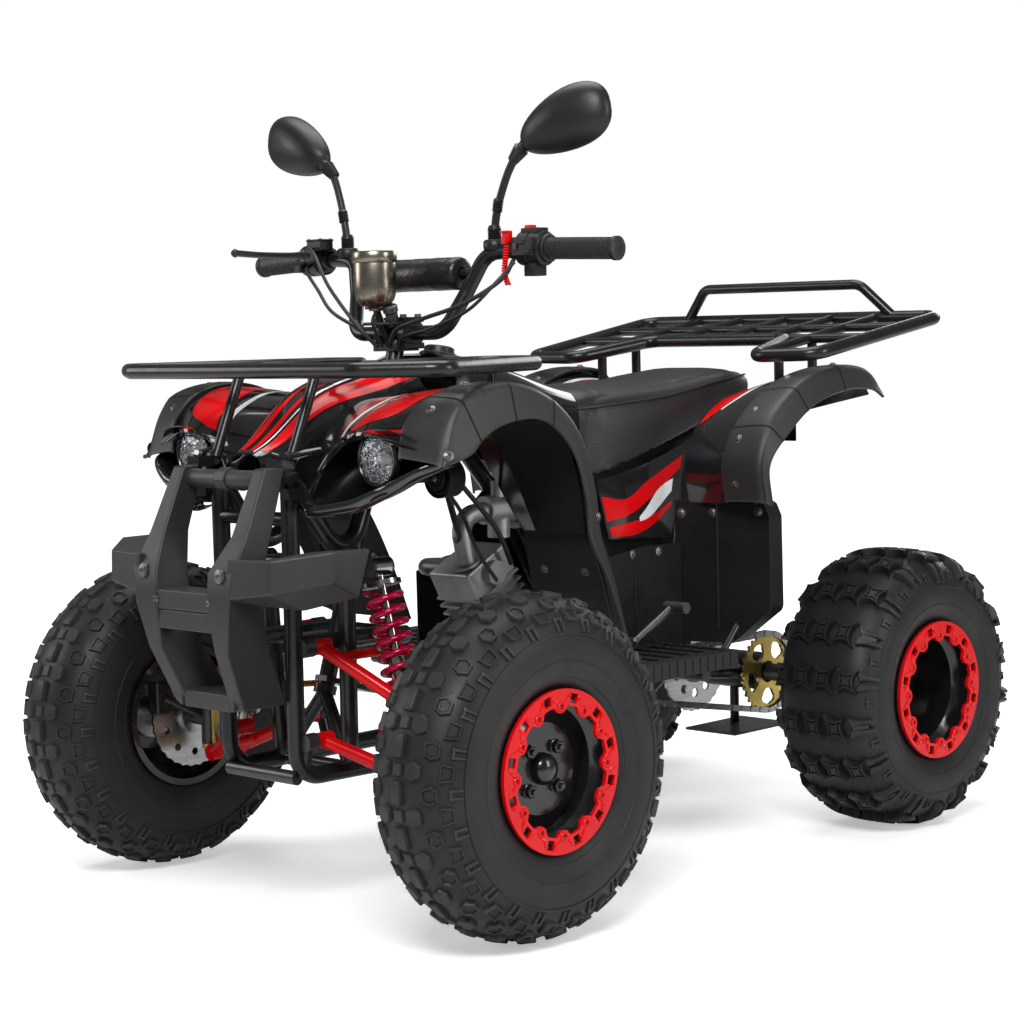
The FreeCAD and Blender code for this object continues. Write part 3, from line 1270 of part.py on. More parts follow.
def lamp_lens():
    """The left headlamp's domed lens."""
    face = Vector(LAMP_X, FRONT_AXLE_Y - LAMP_LEAD, LAMP_Z)
    seat = face + Y_AXIS * LAMP_POD_L * 2 / 3
    depth = LAMP_POD_L * 5 / 6
    points = [seat + Vector(out * LAMP_R, -forward * depth, 0) for out, forward in LENS_SHARES]
    return polygon_face(points).revolve(seat, Y_AXIS, 360)


# Tank cover, seat and side panels

TANK_SHARES = [
    (0.0, 0.86, 1.0, 0.57), (0.18, 0.93, 0.995, 0.76), (0.5, 0.97, 0.97, 0.82),
    (0.8, 0.95, 0.94, 0.71), (1.0, 0.90, 0.925, 0.69),
]
ROUND_SHARES = [(1.0, 1.0), (1.0, 0.40), (0.90, 0.14), (0.60, 0.02), (0.0, 0.0)]


def crowned_body(table, start_y, length, half_width, top_z, height, inset):
    """A body lofted along Y through crowned cross-sections with flat undersides."""
    sections = []
    for along, width, top, depth in table:
        y = start_y + along * length
        half = width * half_width - inset
        crest = top * top_z - inset
        base = top * top_z - depth * height - (CUT_PAST if inset else 0)
        left = [Vector(out * half, y, crest - down * (crest - base)) for out, down in ROUND_SHARES]
        right = [Vector(-point.x, point.y, point.z) for point in left[-2::-1]]
        sections.append(left + right)
    return ruled_body(sections)


def tank_cover():
    """The hollow cover between the steering column and the seat, open below and at its ends."""
    start = FRONT_AXLE_Y + TANK_BACK
    outer = crowned_body(TANK_SHARES, start, TANK_LENGTH, TANK_HALF_W, TANK_TOP_Z, TANK_HEIGHT, 0)
    inner = crowned_body(TANK_SHARES, start, TANK_LENGTH, TANK_HALF_W, TANK_TOP_Z, TANK_HEIGHT, PANEL_T)
    return outer.cut(inner)


SEAT_SHARES = [
    (0.0, 0.72, 0.970, 0.906), (0.12, 0.88, 0.974, 0.85), (0.30, 0.97, 0.974, 0.70), (0.50, 1.0, 0.980, 0.57),
    (0.72, 0.98, 0.993, 0.45), (0.90, 0.92, 1.0, 0.34), (1.0, 0.80, 0.987, 0.20),
]


def seat():
    """The padded saddle, as a plain crowned solid."""
    start = FRONT_AXLE_Y + TANK_BACK + TANK_LENGTH + RUN_GAP
    return crowned_body(SEAT_SHARES, start, SEAT_LENGTH, SEAT_HALF_W, SEAT_TOP_Z, SEAT_HEIGHT, 0)


SIDE_PANEL_SHARES = [(0.0, 0.66), (0.12, 0.06), (0.78, 0.0), (1.0, 0.98), (0.5, 0.78)]


def side_panel():
    """The left glossy panel below the seat."""
    corner = (SIDE_X, FRONT_AXLE_Y + SIDE_PANEL_BACK, SIDE_PANEL_Z)
    points = [spot((0, along, up), corner, (0, SIDE_PANEL_L, SIDE_PANEL_H)) for along, up in SIDE_PANEL_SHARES]
    return plate(points, X_AXIS * PANEL_T)


LOWER_COVER_SHARES = [(0.0, 0.0), (0.0, 0.80), (0.21, 0.90), (0.70, 1.0), (1.0, 1.0), (1.0, 0.0)]


def lower_cover():
    """The left matt panel between the front flare's leg and the heel guard."""
    corner = (LOWER_COVER_X, FRONT_AXLE_Y + LOWER_COVER_BACK, REST_TOP_Z - REST_T)
    spans = (0, LOWER_COVER_L, LOWER_COVER_H)
    points = [spot((0, along, up), corner, spans) for along, up in LOWER_COVER_SHARES]
    shaft_hole = disc(pedal_root(LOWER_COVER_X), PEDAL_R + RUN_GAP, CUT_PAST)
    return plate(points, X_AXIS * PANEL_T).cut(shaft_hole)


# Rear bodywork

REAR_FLARE_SHARES = [
    (62, 0.90, 0.832, 0.832, 0.79), (52, 0.90, 0.955, 0.955, 0.90), (40, 0.88, 1.02, 1.02, 0.90),
    (24, 0.84, 1.03, 1.03, 0.90), (8, 0.80, 1.01, 1.01, 0.89), (-8, 0.79, 0.98, 0.98, 0.88), (-16, 0.79, 0.89, 0.89, 0.85),
]
REAR_FENDER_SHARES = [
    (62, (0.54, 0.798), (0.74, 0.803), (1.0, 0.808)), (52, (0.54, 0.92), (0.74, 0.93), (1.0, 0.933)),
    (40, (0.52, 0.96), (0.72, 0.98), (1.0, 1.002)),
    (24, (0.48, 0.93), (0.72, 0.985), (1.0, 1.0165)), (8, (0.45, 0.86), (0.70, 0.94), (1.0, 0.9965)),
    (-8, (0.45, 0.80), (0.70, 0.89), (1.0, 0.9665)), (-16, (0.45, 0.77), (0.70, 0.82), (1.0, 0.8765)),
]


def rear_arch_y():
    """The Y of the rear arch's centre."""
    return REAR_AXLE_Y - REAR_ARCH_LEAD


def rear_flare():
    """The left rear flare."""
    rows = flare_rows(REAR_FLARE_SHARES, REAR_ARCH_R, REAR_FLARE_X)
    return arched_shell(rows, rear_arch_y(), REAR_ARCH_Z, PANEL_T)


def rear_fender():
    """The left rear fender's glossy top."""
    return arched_shell(shell_rows(REAR_FENDER_SHARES, REAR_ARCH_R, REAR_FENDER_X),
                        rear_arch_y(), REAR_ARCH_Z, PANEL_T)


def rear_body():
    """The glossy rear moulding: both fenders and the tail between them."""
    tail_y = REAR_AXLE_Y - TAIL_LENGTH
    deck = Part.makeBox(TAIL_HALF_W * 2, TAIL_LENGTH, PANEL_T, Vector(-TAIL_HALF_W, tail_y, TAIL_Z))
    wall_corner = Vector(-TAIL_HALF_W, REAR_AXLE_Y - PANEL_T, TAIL_Z - TAIL_H)
    wall = Part.makeBox(TAIL_HALF_W * 2, PANEL_T, TAIL_H, wall_corner)
    return join(pair(rear_fender()) + [deck, wall])


def tail_lamp():
    """The tail lamp on the rear wall."""
    centre = Vector(0, REAR_AXLE_Y + RUN_GAP + TAIL_H / 4, TAIL_Z - TAIL_H / 2)
    body = block(centre, TAIL_HALF_W, TAIL_H / 2, TAIL_H * 3 / 4)
    return body.makeFillet(TAIL_H / 8, body.Edges)


HEEL_SHARES = [(0.0, 0.0), (0.0, 1.0), (0.97, 1.0), (1.0, 0.92), (1.0, 0.26), (0.86, 0.10), (0.5, 0.0)]


def heel_guard():
    """The left tall panel in front of the rear wheel."""
    corner = (HEEL_INNER_X, REAR_AXLE_Y - HEEL_LEAD, HEEL_LOW_Z)
    spans = (HEEL_OUTER_X - HEEL_INNER_X, HEEL_SWEEP, HEEL_HEIGHT)
    points = [spot((out, out, up), corner, spans) for out, up in HEEL_SHARES]
    return plate(points, Y_AXIS * PANEL_T)


def foot_rest():
    """The left foot rest: a slotted tread tray."""
    start_y = FRONT_AXLE_Y + REST_FRONT
    width = REST_OUTER_X - REST_INNER_X
    body = Part.makeBox(width, REST_L, REST_T, Vector(REST_INNER_X, start_y, REST_TOP_Z - REST_T))
    cuts = []
    pitch = REST_L / REST_BARS
    for step in range(REST_BARS):
        y = start_y + pitch * (step + 1 / 2) - REST_SLOT
        corner = Vector(REST_INNER_X + REST_T, y, REST_TOP_Z - REST_T - CUT_PAST)
        cuts.append(Part.makeBox(width - REST_T * 2, REST_SLOT * 2, REST_T * 2 + CUT_PAST, corner))
    return body.cut(Part.makeCompound(cuts))


# Engine, intake, exhaust and drive

def engine_front():
    """The Y of the crankcase's front face."""
    return FRONT_AXLE_Y + CASE_BACK


def barrel_top(share):
    """A point on the cylinder's axis, by share of its height."""
    lean = math.radians(BARREL_LEAN)
    root = Vector(0, engine_front() + BARREL_W / 3, CASE_LOW_Z + CASE_H * 5 / 6)
    return root + Vector(0, -math.sin(lean), math.cos(lean)) * (share * BARREL_H)


def leaned_slab(share, width, depth, thick):
    """A square slab across the cylinder's leaning axis."""
    centre = barrel_top(share)
    slab = block(centre, width, depth, thick)
    slab.rotate(centre, X_AXIS, BARREL_LEAN)
    return slab


def engine():
    """Crankcase with round side covers, finned cylinder and head."""
    middle_y = engine_front() + CASE_L / 2
    case = block(Vector(0, middle_y, CASE_LOW_Z + CASE_H / 2), CASE_W, CASE_L, CASE_H)
    case = case.makeFillet(COVER_T, case.Edges)
    shapes = [case]
    for side, back in ((1, 2 / 5), (-1, 1 / 2)):
        at = Vector(side * (CASE_W / 2 + COVER_T / 3), engine_front() + CASE_L * back, CASE_LOW_Z + CASE_H / 2)
        cover = disc(at, COVER_R, COVER_T)
        shapes.append(cover)
    shapes.append(leaned_slab(1 / 2, BARREL_W - FIN_REACH * 2, BARREL_W - FIN_REACH * 2, BARREL_H * 5 / 4))
    for step in range(FIN_COUNT):
        shapes.append(leaned_slab((step + 1) / FIN_COUNT, BARREL_W, BARREL_W, FIN_T))
    top = 1 + HEAD_H / 2 / BARREL_H
    head = leaned_slab(top, BARREL_W * 9 / 10, BARREL_W, HEAD_H)
    shapes.append(head.makeFillet(FIN_T, head.Edges))
    shapes.append(disc(barrel_top(top) + X_AXIS * BARREL_W / 2, HEAD_H * 2 / 5, FIN_REACH * 2))
    shapes.append(disc(drive_centre(), DRIVE_SPROCKET_R - CHAIN_PLATE_H / 2, SPROCKET_T))
    shapes.append(disc(drive_centre() - X_AXIS * COVER_T / 2, DRIVE_SPROCKET_R / 3, COVER_T))
    return join(shapes)


def carburettor():
    """The intake pipe from the head, the carburettor and its round air filter."""
    port = barrel_top(1 + HEAD_H / BARREL_H)
    lean = Vector(barrel_top(1) - barrel_top(0)).normalize()
    foot = port + (X_AXIS + X_AXIS.cross(lean)) * (BARREL_W / 5) + lean * (RUN_GAP * 7)
    flange = rod(foot, foot + lean * PANEL_T, INTAKE_R * 3 / 2)
    first = foot + lean * PANEL_T / 2
    corner = port + Vector(BARREL_W / 5, -BARREL_W / 5 - INTAKE_R, HEAD_H * 7 / 5)
    back = corner + Vector(0, BARREL_W * 4 / 5, HEAD_H / 8)
    pipe = bent_rod([first, corner, back], INTAKE_R, INTAKE_R * 3)
    body = rod(back - Y_AXIS * CARB_R, back + Y_AXIS * CARB_R * 2, CARB_R)
    bowl = rod(back + Vector(0, CARB_R / 2, 0), back + Vector(0, CARB_R / 2, -CARB_R * 2), CARB_R * 4 / 5)
    slide = rod(back + Vector(0, CARB_R / 2, 0), back + Vector(0, CARB_R / 2, CARB_R * 2), CARB_R / 2)
    filter_start = back + Y_AXIS * CARB_R * 2
    airbox = rod(filter_start, filter_start + Y_AXIS * CARB_R * 4, CARB_R * 3 / 2)
    return join([pipe, flange, body, bowl, slide, airbox])


def exhaust():
    """The pipe from the head's right side back to the muffler."""
    port = barrel_top(1 + HEAD_H / 2 / BARREL_H) - X_AXIS * (BARREL_W * 9 / 20 + RUN_GAP)
    muffler_start = Vector(-MUFFLER_X, FRONT_AXLE_Y + MUFFLER_BACK, CASE_LOW_Z + CASE_H + MUFFLER_R)
    lane_x = -(frame_spot("pivot").x + FRAME_TUBE_R + HEEL_INNER_X) / 2
    route = [port, Vector(lane_x, port.y, port.z),
             Vector(lane_x, muffler_start.y - MUFFLER_R * 3 / 2, muffler_start.z),
             Vector(-MUFFLER_X, muffler_start.y - MUFFLER_R / 2, muffler_start.z), muffler_start]
    pipe = bent_rod(route, PIPE_R, PIPE_R * 3)
    end = muffler_start + Vector(0, MUFFLER_L, MUFFLER_R / 2)
    muffler = rod(muffler_start, end, MUFFLER_R)
    tail = rod(end, end + Y_AXIS * MUFFLER_R, PIPE_R)
    return join([pipe, muffler, tail])


def drive_centre():
    """The centre of the hidden drive sprocket."""
    return Vector(SPROCKET_X, FRONT_AXLE_Y + DRIVE_BACK, DRIVE_Z)


def axle_centre(x):
    """A point on the rear axle."""
    return Vector(x, REAR_AXLE_Y, REAR_AXLE_Z)


def sprocket():
    """The five-spoked driven sprocket with its teeth."""
    points = []
    steps = SPROCKET_TEETH * 4
    for step in range(steps):
        reach = SPROCKET_R + (TOOTH_H / 2 if step % 4 in (0, 1) else -TOOTH_H / 2)
        points.append(axle_centre(SPROCKET_X - SPROCKET_T / 2) + turned_offset(step, steps, reach))
    body = plate(points, X_AXIS * SPROCKET_T)
    windows = []
    rim_r = SPROCKET_R - TOOTH_H * 2
    hub_r = CARRIER_R - TOOTH_H
    for step in range(5):
        middle = turned_offset(step + 1 / 2, 5, (rim_r + hub_r) / 2)
        window = disc(axle_centre(SPROCKET_X) + middle, (rim_r - hub_r) / 2, CUT_PAST)
        side_a = disc(axle_centre(SPROCKET_X) + turned_offset(step + 1 / 3, 5, rim_r - TOOTH_H * 2),
                      TOOTH_H * 3 / 2, CUT_PAST)
        side_b = disc(axle_centre(SPROCKET_X) + turned_offset(step + 2 / 3, 5, rim_r - TOOTH_H * 2),
                      TOOTH_H * 3 / 2, CUT_PAST)
        windows += [window, side_a, side_b]
    bore = disc(axle_centre(SPROCKET_X), AXLE_R + PANEL_T, CUT_PAST)
    return body.cut(Part.makeCompound([bore])).cut(join(windows[0:3])).cut(join(windows[3:6])).cut(
        join(windows[6:9])).cut(join(windows[9:12])).cut(join(windows[12:15]))


def loop_face(x, grow):
    """The chain's side outline at X: around both sprockets, grown by an amount."""
    rear = axle_centre(x)
    front = Vector(x, drive_centre().y, drive_centre().z)
    rear_r = SPROCKET_R + grow
    front_r = DRIVE_SPROCKET_R + grow
    span = rear - front
    base = math.atan2(span.z, span.y)
    tilt = math.acos((front_r - rear_r) / span.Length)

    def on(centre, radius, angle):
        return centre + Vector(0, math.cos(angle), math.sin(angle)) * radius

    top_a, top_b = on(front, front_r, base + tilt), on(rear, rear_r, base + tilt)
    low_a, low_b = on(front, front_r, base - tilt), on(rear, rear_r, base - tilt)
    edges = [
        Part.LineSegment(top_a, top_b).toShape(), Part.Arc(top_b, on(rear, rear_r, base), low_b).toShape(),
        Part.LineSegment(low_b, low_a).toShape(),
        Part.Arc(low_a, on(front, front_r, base + math.pi), top_a).toShape(),
    ]
    return Part.Face(Part.Wire(edges)), (top_a, top_b, low_a, low_b)


def chain():
    """The closed roller chain: two side bands and the pins of its free runs."""
    half = CHAIN_PLATE_H / 2
    inner_x = SPROCKET_T / 2 + RUN_GAP * 3
    bands = []
    for start in (SPROCKET_X + inner_x, SPROCKET_X - inner_x - CHAIN_PLATE_T):
        outer = loop_face(start, half)[0]
        inner = loop_face(start, -half)[0]
        bands.append(outer.cut(inner).extrude(X_AXIS * CHAIN_PLATE_T))
    top_a, top_b, low_a, low_b = loop_face(SPROCKET_X, 0)[1]
    pins = []
    for start, end in ((top_a, top_b), (low_a, low_b)):
        for share in (3 / 10, 1 / 2, 7 / 10):
            at = start + (end - start) * share
            pins.append(disc(at, half * 2 / 3, inner_x * 2 + CHAIN_PLATE_T))
    return join(bands + pins)


def rear_axle():
    """The rear axle shaft with wheel hubs and the sprocket's and disc's carriers."""
    shapes = [rod(axle_centre(-AXLE_HALF_L), axle_centre(AXLE_HALF_L), AXLE_R)]
    plate_x = REAR_TRACK / 2 + REAR_RIM_WIDTH / 2 - REAR_DISH_DEPTH
    for side in (1, -1):
        flange = side * (plate_x - RIM_LIP * 3 / 2 - RUN_GAP)
        shapes.append(disc(axle_centre(flange), WHEEL_STUD_PCD / 2 + RIM_LIP, RIM_LIP))
        shapes.append(disc(axle_centre(flange - side * HUB_R), HUB_R, HUB_R * 2))
    hub_x = SPROCKET_X - SPROCKET_T / 2 - RUN_GAP - PANEL_T / 2
    shapes.append(disc(axle_centre(hub_x), CARRIER_R - TOOTH_H, PANEL_T))
    disc_x = -REAR_DISC_X + DISC_THICK / 2 + RUN_GAP + PANEL_T / 2
    shapes.append(disc(axle_centre(disc_x), CARRIER_R, PANEL_T))
    return join(shapes)


def rear_disc():
    """The rear brake disc."""
    return waved_disc(axle_centre(-REAR_DISC_X), REAR_DISC_R, AXLE_R + PANEL_T, DISC_THICK, DISC_WAVES)


def swingarm():
    """The swingarm: pivot tube, two legs, shock mount and the axle carrier."""
    pivot_y = REAR_AXLE_Y - SWING_PIVOT_BACK
    half = frame_spot("pivot").x - FRAME_TUBE_R - RUN_GAP * 6
    pivot = rod(Vector(-half, pivot_y, SWING_PIVOT_Z), Vector(half, pivot_y, SWING_PIVOT_Z), SWING_R)
    carrier = disc(axle_centre(0), CARRIER_R, CARRIER_HALF_L * 2)
    leg_x = CARRIER_HALF_L - SWING_R
    shapes = [pivot, carrier]
    for side in (1, -1):
        start = Vector(side * leg_x, pivot_y, SWING_PIVOT_Z)
        end = axle_centre(side * leg_x) - Y_AXIS * CARRIER_R / 2
        shapes.append(rod(start, end, SWING_R * 4 / 5))
    low = rear_shock_ends()[1]
    cross_y = low.y
    height = SWING_PIVOT_Z + (REAR_AXLE_Z - SWING_PIVOT_Z) * (cross_y - pivot_y) / SWING_PIVOT_BACK
    shapes.append(rod(Vector(-leg_x, cross_y, height), Vector(leg_x, cross_y, height), SWING_R * 4 / 5))
    for side in (1, -1):
        x = side * (SHOCK_EYE_L / 2 + RUN_GAP + PANEL_T / 2)
        shapes.append(block(Vector(x, cross_y, (height + low.z) / 2), PANEL_T, SHOCK_EYE_R * 2, low.z - height
                            + SHOCK_EYE_R))
    return join(shapes).cut(disc(axle_centre(0), AXLE_R + RUN_GAP, CARRIER_HALF_L * 3))


def rear_shock_ends():
    """The rear shock's upper and lower eyes, which lie along X."""
    top = frame_spot("shock_top")
    low_y = REAR_AXLE_Y - SWING_PIVOT_BACK / 2
    upper = Vector(0, top.y + FRAME_TUBE_R, top.z - FRAME_TUBE_R * 2)
    return upper, Vector(0, low_y, REAR_AXLE_Z + SWING_R * 4)


def skid_plate():
    """The plate below the sprocket and rear disc."""
    top_z = REAR_AXLE_Z - SPROCKET_R - TOOTH_H - CHAIN_PLATE_H * 2
    plate_body = Part.makeBox(SKID_HALF_W * 2, SWING_PIVOT_BACK / 2, SKID_T,
                              Vector(-SKID_HALF_W + SKID_HALF_W / 2, REAR_AXLE_Y - SWING_PIVOT_BACK / 3, top_z - SKID_T))
    stay_top = axle_centre(0) - Z_AXIS * (CARRIER_R + RUN_GAP)
    stay = rod(Vector(0, REAR_AXLE_Y, top_z - SKID_T / 2), stay_top, SWING_R / 2)
    return join([plate_body, stay])


def horn():
    """The round horn under the left fender."""
    centre = Vector(HORN_X, FRONT_AXLE_Y + HORN_BACK, HORN_Z)
    body = rod(centre, centre + Y_AXIS * HORN_T, HORN_R)
    cup = rod(centre, centre - Y_AXIS * HORN_T / 4, HORN_R * 2 / 3)
    tower, head = frame_spot("tower"), frame_spot("head")
    share = (centre.z - PANEL_T * 2 - tower.z) / (head.z - tower.z)
    arm = rod(centre + Y_AXIS * HORN_T / 2, tower + (head - tower) * share, PANEL_T)
    arm = arm.cut(rod(tower, head, FRAME_TUBE_R + RUN_GAP))
    return join([body, cup, arm])


def pedal_root(x):
    """A point on the gear lever's shaft."""
    return Vector(x, FRONT_AXLE_Y + PEDAL_BACK, PEDAL_Z)


def gear_pedal():
    """The gear lever: a shaft out of the engine's left side, bent back to a round tread."""
    start = pedal_root(CASE_W / 2 + COVER_T * 5 / 6 + RUN_GAP)
    knee = pedal_root(PEDAL_X)
    tip = knee + Vector(0, PEDAL_L, PEDAL_L / 2)
    tread = rod(tip - X_AXIS * PEDAL_R * 2, tip + X_AXIS * PEDAL_R * 5, PEDAL_R * 3 / 2)
    elbow = Part.makeSphere(PEDAL_R * 6 / 5, knee)
    return join([rod(start, knee, PEDAL_R), elbow, rod(knee, tip, PEDAL_R), tread])


def rear_wheel_parts():
    """The left rear wheel: rim, ring and tyre."""
    centre = Vector(REAR_TRACK / 2, REAR_AXLE_Y, REAR_AXLE_Z)
    rim = wheel_rim(centre, REAR_RIM_WIDTH, REAR_DISH_DEPTH)
    ring = wheel_ring(centre, REAR_RIM_WIDTH / 2)
    tyre = faceted_tyre(centre, REAR_TYRE_D, REAR_TYRE_WIDTH, REAR_RIM_WIDTH, REAR_LUG_H,
                        REAR_SECTION_SHARES)
    return rim, ring, tyre


# The safety lanyard's coil: its fat tube and the points that it hangs along, in coil radii from the clip
CORD_COIL_R = 5.0
CORD_ROUTE_SHARES = [
    (0.0, 0.0, 0.0), (0.0, -0.48, -2.92), (-0.6, -0.48, -5.72), (-1.2, -0.08, -8.52), (-0.6, 0.92, -11.12),
]
CLIP_W = 14.0
CLIP_H = 22.0


def cord_points():
    """The lanyard's points, which hang from the clip in front of the switch box's clamp."""
    along = Vector(along_grip(0) - along_grip(1)).normalize()
    outer = along_grip(1) + along * (GRIP_L + RUN_GAP * 2 + SWITCH_L)
    top = outer + along * (SWITCH_L / 6) - Y_AXIS * (BAR_R * 9 / 4) + Z_AXIS * (BAR_R / 4)
    return [top + Vector(*shares) * CORD_COIL_R for shares in CORD_ROUTE_SHARES]


def cord_bend(points):
    """The largest of the arc radii that the lanyard's corners have room for."""
    reaches = []
    for before, corner, after in zip(points, points[1:], points[2:]):
        turn = (corner - before).getAngle(after - corner)
        shorter = min((corner - before).Length, (after - corner).Length)
        reaches.append(0.45 * shorter / math.tan(turn / 2))
    print("lanyard arc radii", [round(reach, 1) for reach in reaches])
    return max(reaches)


def kill_cord():
    """The safety lanyard's coil, as one tube of its outer size."""
    points = cord_points()
    return bent_rod(points, CORD_COIL_R, cord_bend(points))


def kill_clip():
    """The clip that holds the lanyard on the switch box."""
    top = cord_points()[0]
    return block(top + Z_AXIS * (CLIP_H / 2 + RUN_GAP * 3), CLIP_W, CLIP_W, CLIP_H)


CABLE_OFFSETS = [-2, -1, 1]


def cables():
    """The cables from the bar clamp down beside the steering column, under the hood."""
    shapes = []
    for step in CABLE_OFFSETS:
        start = Vector(step * STEM_R, BAR_Y - BAR_R * 5 / 2, BAR_CLAMP_Z + BAR_R)
        middle = Vector(step * STEM_R * 5 / 4, BAR_Y - BAR_R * 5 / 2, BAR_CLAMP_Z - BAR_R)
        low = STEM_HEAD - STEM_DIR * STEM_R
        end = Vector(low.x + step * STEM_R / 2, low.y - STEM_R - CABLE_R - RUN_GAP, low.z)
        shapes.append(bent_rod([start, middle, end], CABLE_R, BAR_BEND))
    return shapes


def shock_nodes():
    """All dampers together, and all springs together."""
    front_top, front_low = shock_ends()
    damper, coil = shock(front_top, front_low, Y_AXIS)
    rear_top, rear_low = rear_shock_ends()
    rear_damper, rear_coil = shock(rear_top, rear_low, X_AXIS)
    return {"dampers": pair(damper) + [rear_damper], "springs": pair(coil) + [rear_coil]}


def body_nodes():
    """The bodywork's sub-parts."""
    return {
        "bumper": [bumper()], "front_body": [front_body()], "headlamps": pair(lamp_pod()),
        "headlamp_lenses": pair(lamp_lens()), "tank_cover": [tank_cover()], "seat": [seat()],
        "side_panels": pair(side_panel()), "lower_covers": pair(lower_cover()), "rear_body": [rear_body()],
        "tail_lamp": [tail_lamp()], "heel_guards": pair(heel_guard()), "foot_rests": pair(foot_rest()),
    }


def chassis_nodes():
    """Frame, racks, engine and drive."""
    arms = pair(upper_arm()) + pair(lower_arm())
    rim, ring, _ = rear_wheel_parts()
    return {
        "frame": [frame()], "front_rack": [front_rack()], "rear_rack": [rear_rack()], "engine": [engine()],
        "carburettor": [carburettor()], "exhaust": [exhaust()], "chain": [chain()], "sprocket": [sprocket()],
        "rear_axle": [rear_axle()], "rear_disc": [rear_disc()], "swingarm": [swingarm()],
        "skid_plate": [skid_plate()], "horn": [horn()], "gear_pedal": [gear_pedal()], "yokes": pair(yoke()),
        "control_arms": arms, "rear_rims": pair(rim), "rear_rings": pair(ring),
    }


def steering_nodes():
    """What turns with the handlebar."""
    return {
        "steering_stem": [steering_stem()], "handlebar": [handlebar()], "grips": grips(),
        "bar_pad": [bar_pad()], "controls": controls(), "mirrors": pair(mirror()), "gauge": [gauge()],
        "kill_cord": [kill_cord()], "kill_clip": [kill_clip()], "cables": cables(),
    }


def handed_nodes():
    """What is saved as a left and a right one."""
    rim, ring, tyre, hub = front_wheel_parts()
    rear_tyre = rear_wheel_parts()[2]
    return {
        "front_rim": rim, "front_ring": ring, "front_tyre": tyre, "front_hub": hub, "rear_tyre": rear_tyre,
        "knuckle": knuckle(), "tie_rod": tie_rod(), "front_flare": front_flare(), "rear_flare": rear_flare(),
    }


os.makedirs("parts", exist_ok=True)
for nodes in (chassis_nodes(), body_nodes(), steering_nodes(), shock_nodes()):
    for node, shapes in nodes.items():
        save(node, shapes)
for node, shape in handed_nodes().items():
    save(node + "_left", [shape])
    save(node + "_right", [mirrored(shape)])
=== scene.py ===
"""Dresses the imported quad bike: camera, light, materials and the detailed outer pieces."""
import math
import random

import bmesh
import bpy
import numpy as np
from mathutils import Matrix, Vector


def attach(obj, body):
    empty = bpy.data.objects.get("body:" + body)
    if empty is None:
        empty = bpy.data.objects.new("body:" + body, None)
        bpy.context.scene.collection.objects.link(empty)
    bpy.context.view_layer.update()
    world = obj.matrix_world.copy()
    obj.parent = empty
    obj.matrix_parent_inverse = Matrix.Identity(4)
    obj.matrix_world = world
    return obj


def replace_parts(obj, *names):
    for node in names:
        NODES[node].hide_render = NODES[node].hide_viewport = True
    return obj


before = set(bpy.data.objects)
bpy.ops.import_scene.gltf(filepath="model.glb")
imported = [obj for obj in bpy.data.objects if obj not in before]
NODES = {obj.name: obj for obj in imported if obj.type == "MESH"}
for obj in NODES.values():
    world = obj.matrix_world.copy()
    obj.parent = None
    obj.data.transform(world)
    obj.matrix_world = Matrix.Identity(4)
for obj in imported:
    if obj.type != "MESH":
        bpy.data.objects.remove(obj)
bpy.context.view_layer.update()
MM = 0.001

# Where the main things lie, in millimetres
FRONT_Y = -454.6
REAR_Y = 491.4
FRONT_Z = 241.3
REAR_Z = 228.6
FRONT_X = 399
REAR_X = 339
ALONG_X, AHEAD, ALONG_Z = (1, 0, 0), (0, -1, 0), (0, 0, 1)
SIDES = (1, -1)
HEEL_X, HEEL_WIDE, HEEL_Y = 137, 193, 178.4
SEAT_START, SEAT_LENGTH, SEAT_HALF = -2.3, 427, 122
SPRING_END = 33.5
CLOTH_FRAMES = 20
CHAIN_X, CHAIN_PITCH = 73, 12.7
GUARD_HALF, GUARD_DEPTH, GUARD_HEIGHT = 290, 150, 350
GUARD_FRONT, GUARD_LOW = -720, 300
FENDER_X, FRONT_FLARE_X, REAR_FLARE_X = 300, 335, 332
PHOTO_SIDE, FOCAL_LENGTH = 1024, 2404
CAMERA_TURN = (44.36, 4.49, -1.43)
CAMERA_PLACE = (2.655, -2.7716, 0.842)
FLOOR_REACH = 14
LAMPS = (("key", (1.9, -2.4, 2.7), (0, -0.1, 0.5), (1.5, 0.9), 108),
         ("side", (3.2, 0.9, 1.5), (0, 0, 0.5), (0.7, 1.8), 36),
         ("top", (-0.3, 0.2, 3.0), (0, 0, 0.4), (2.0, 2.0), 58),
         ("far", (-2.6, -2.0, 1.6), (0, -0.2, 0.5), (1.2, 1.4), 26),
         ("rear", (-0.5, 3.2, 1.8), (0, 0.2, 0.5), (2.0, 1.2), 30))


# Camera, lights and floor

def place_camera():
    """The photograph's viewpoint."""
    azimuth, elevation, roll = (math.radians(v) for v in CAMERA_TURN)
    back = Vector((math.sin(azimuth) * math.cos(elevation), -math.cos(azimuth) * math.cos(elevation),
                   math.sin(elevation)))
    right = Vector((math.cos(azimuth), math.sin(azimuth), 0))
    up = back.cross(right)
    across = right * math.cos(roll) + up * math.sin(roll)
    above = up * math.cos(roll) - right * math.sin(roll)
    data = bpy.data.cameras.new("camera")
    data.sensor_width = 36
    data.lens = FOCAL_LENGTH / PHOTO_SIDE * data.sensor_width
    data.clip_end = 50
    camera = bpy.data.objects.new("camera", data)
    bpy.context.scene.collection.objects.link(camera)
    turn = Matrix((across, above, back)).transposed().to_4x4()
    camera.matrix_world = Matrix.Translation(CAMERA_PLACE) @ turn
    bpy.context.scene.camera = camera


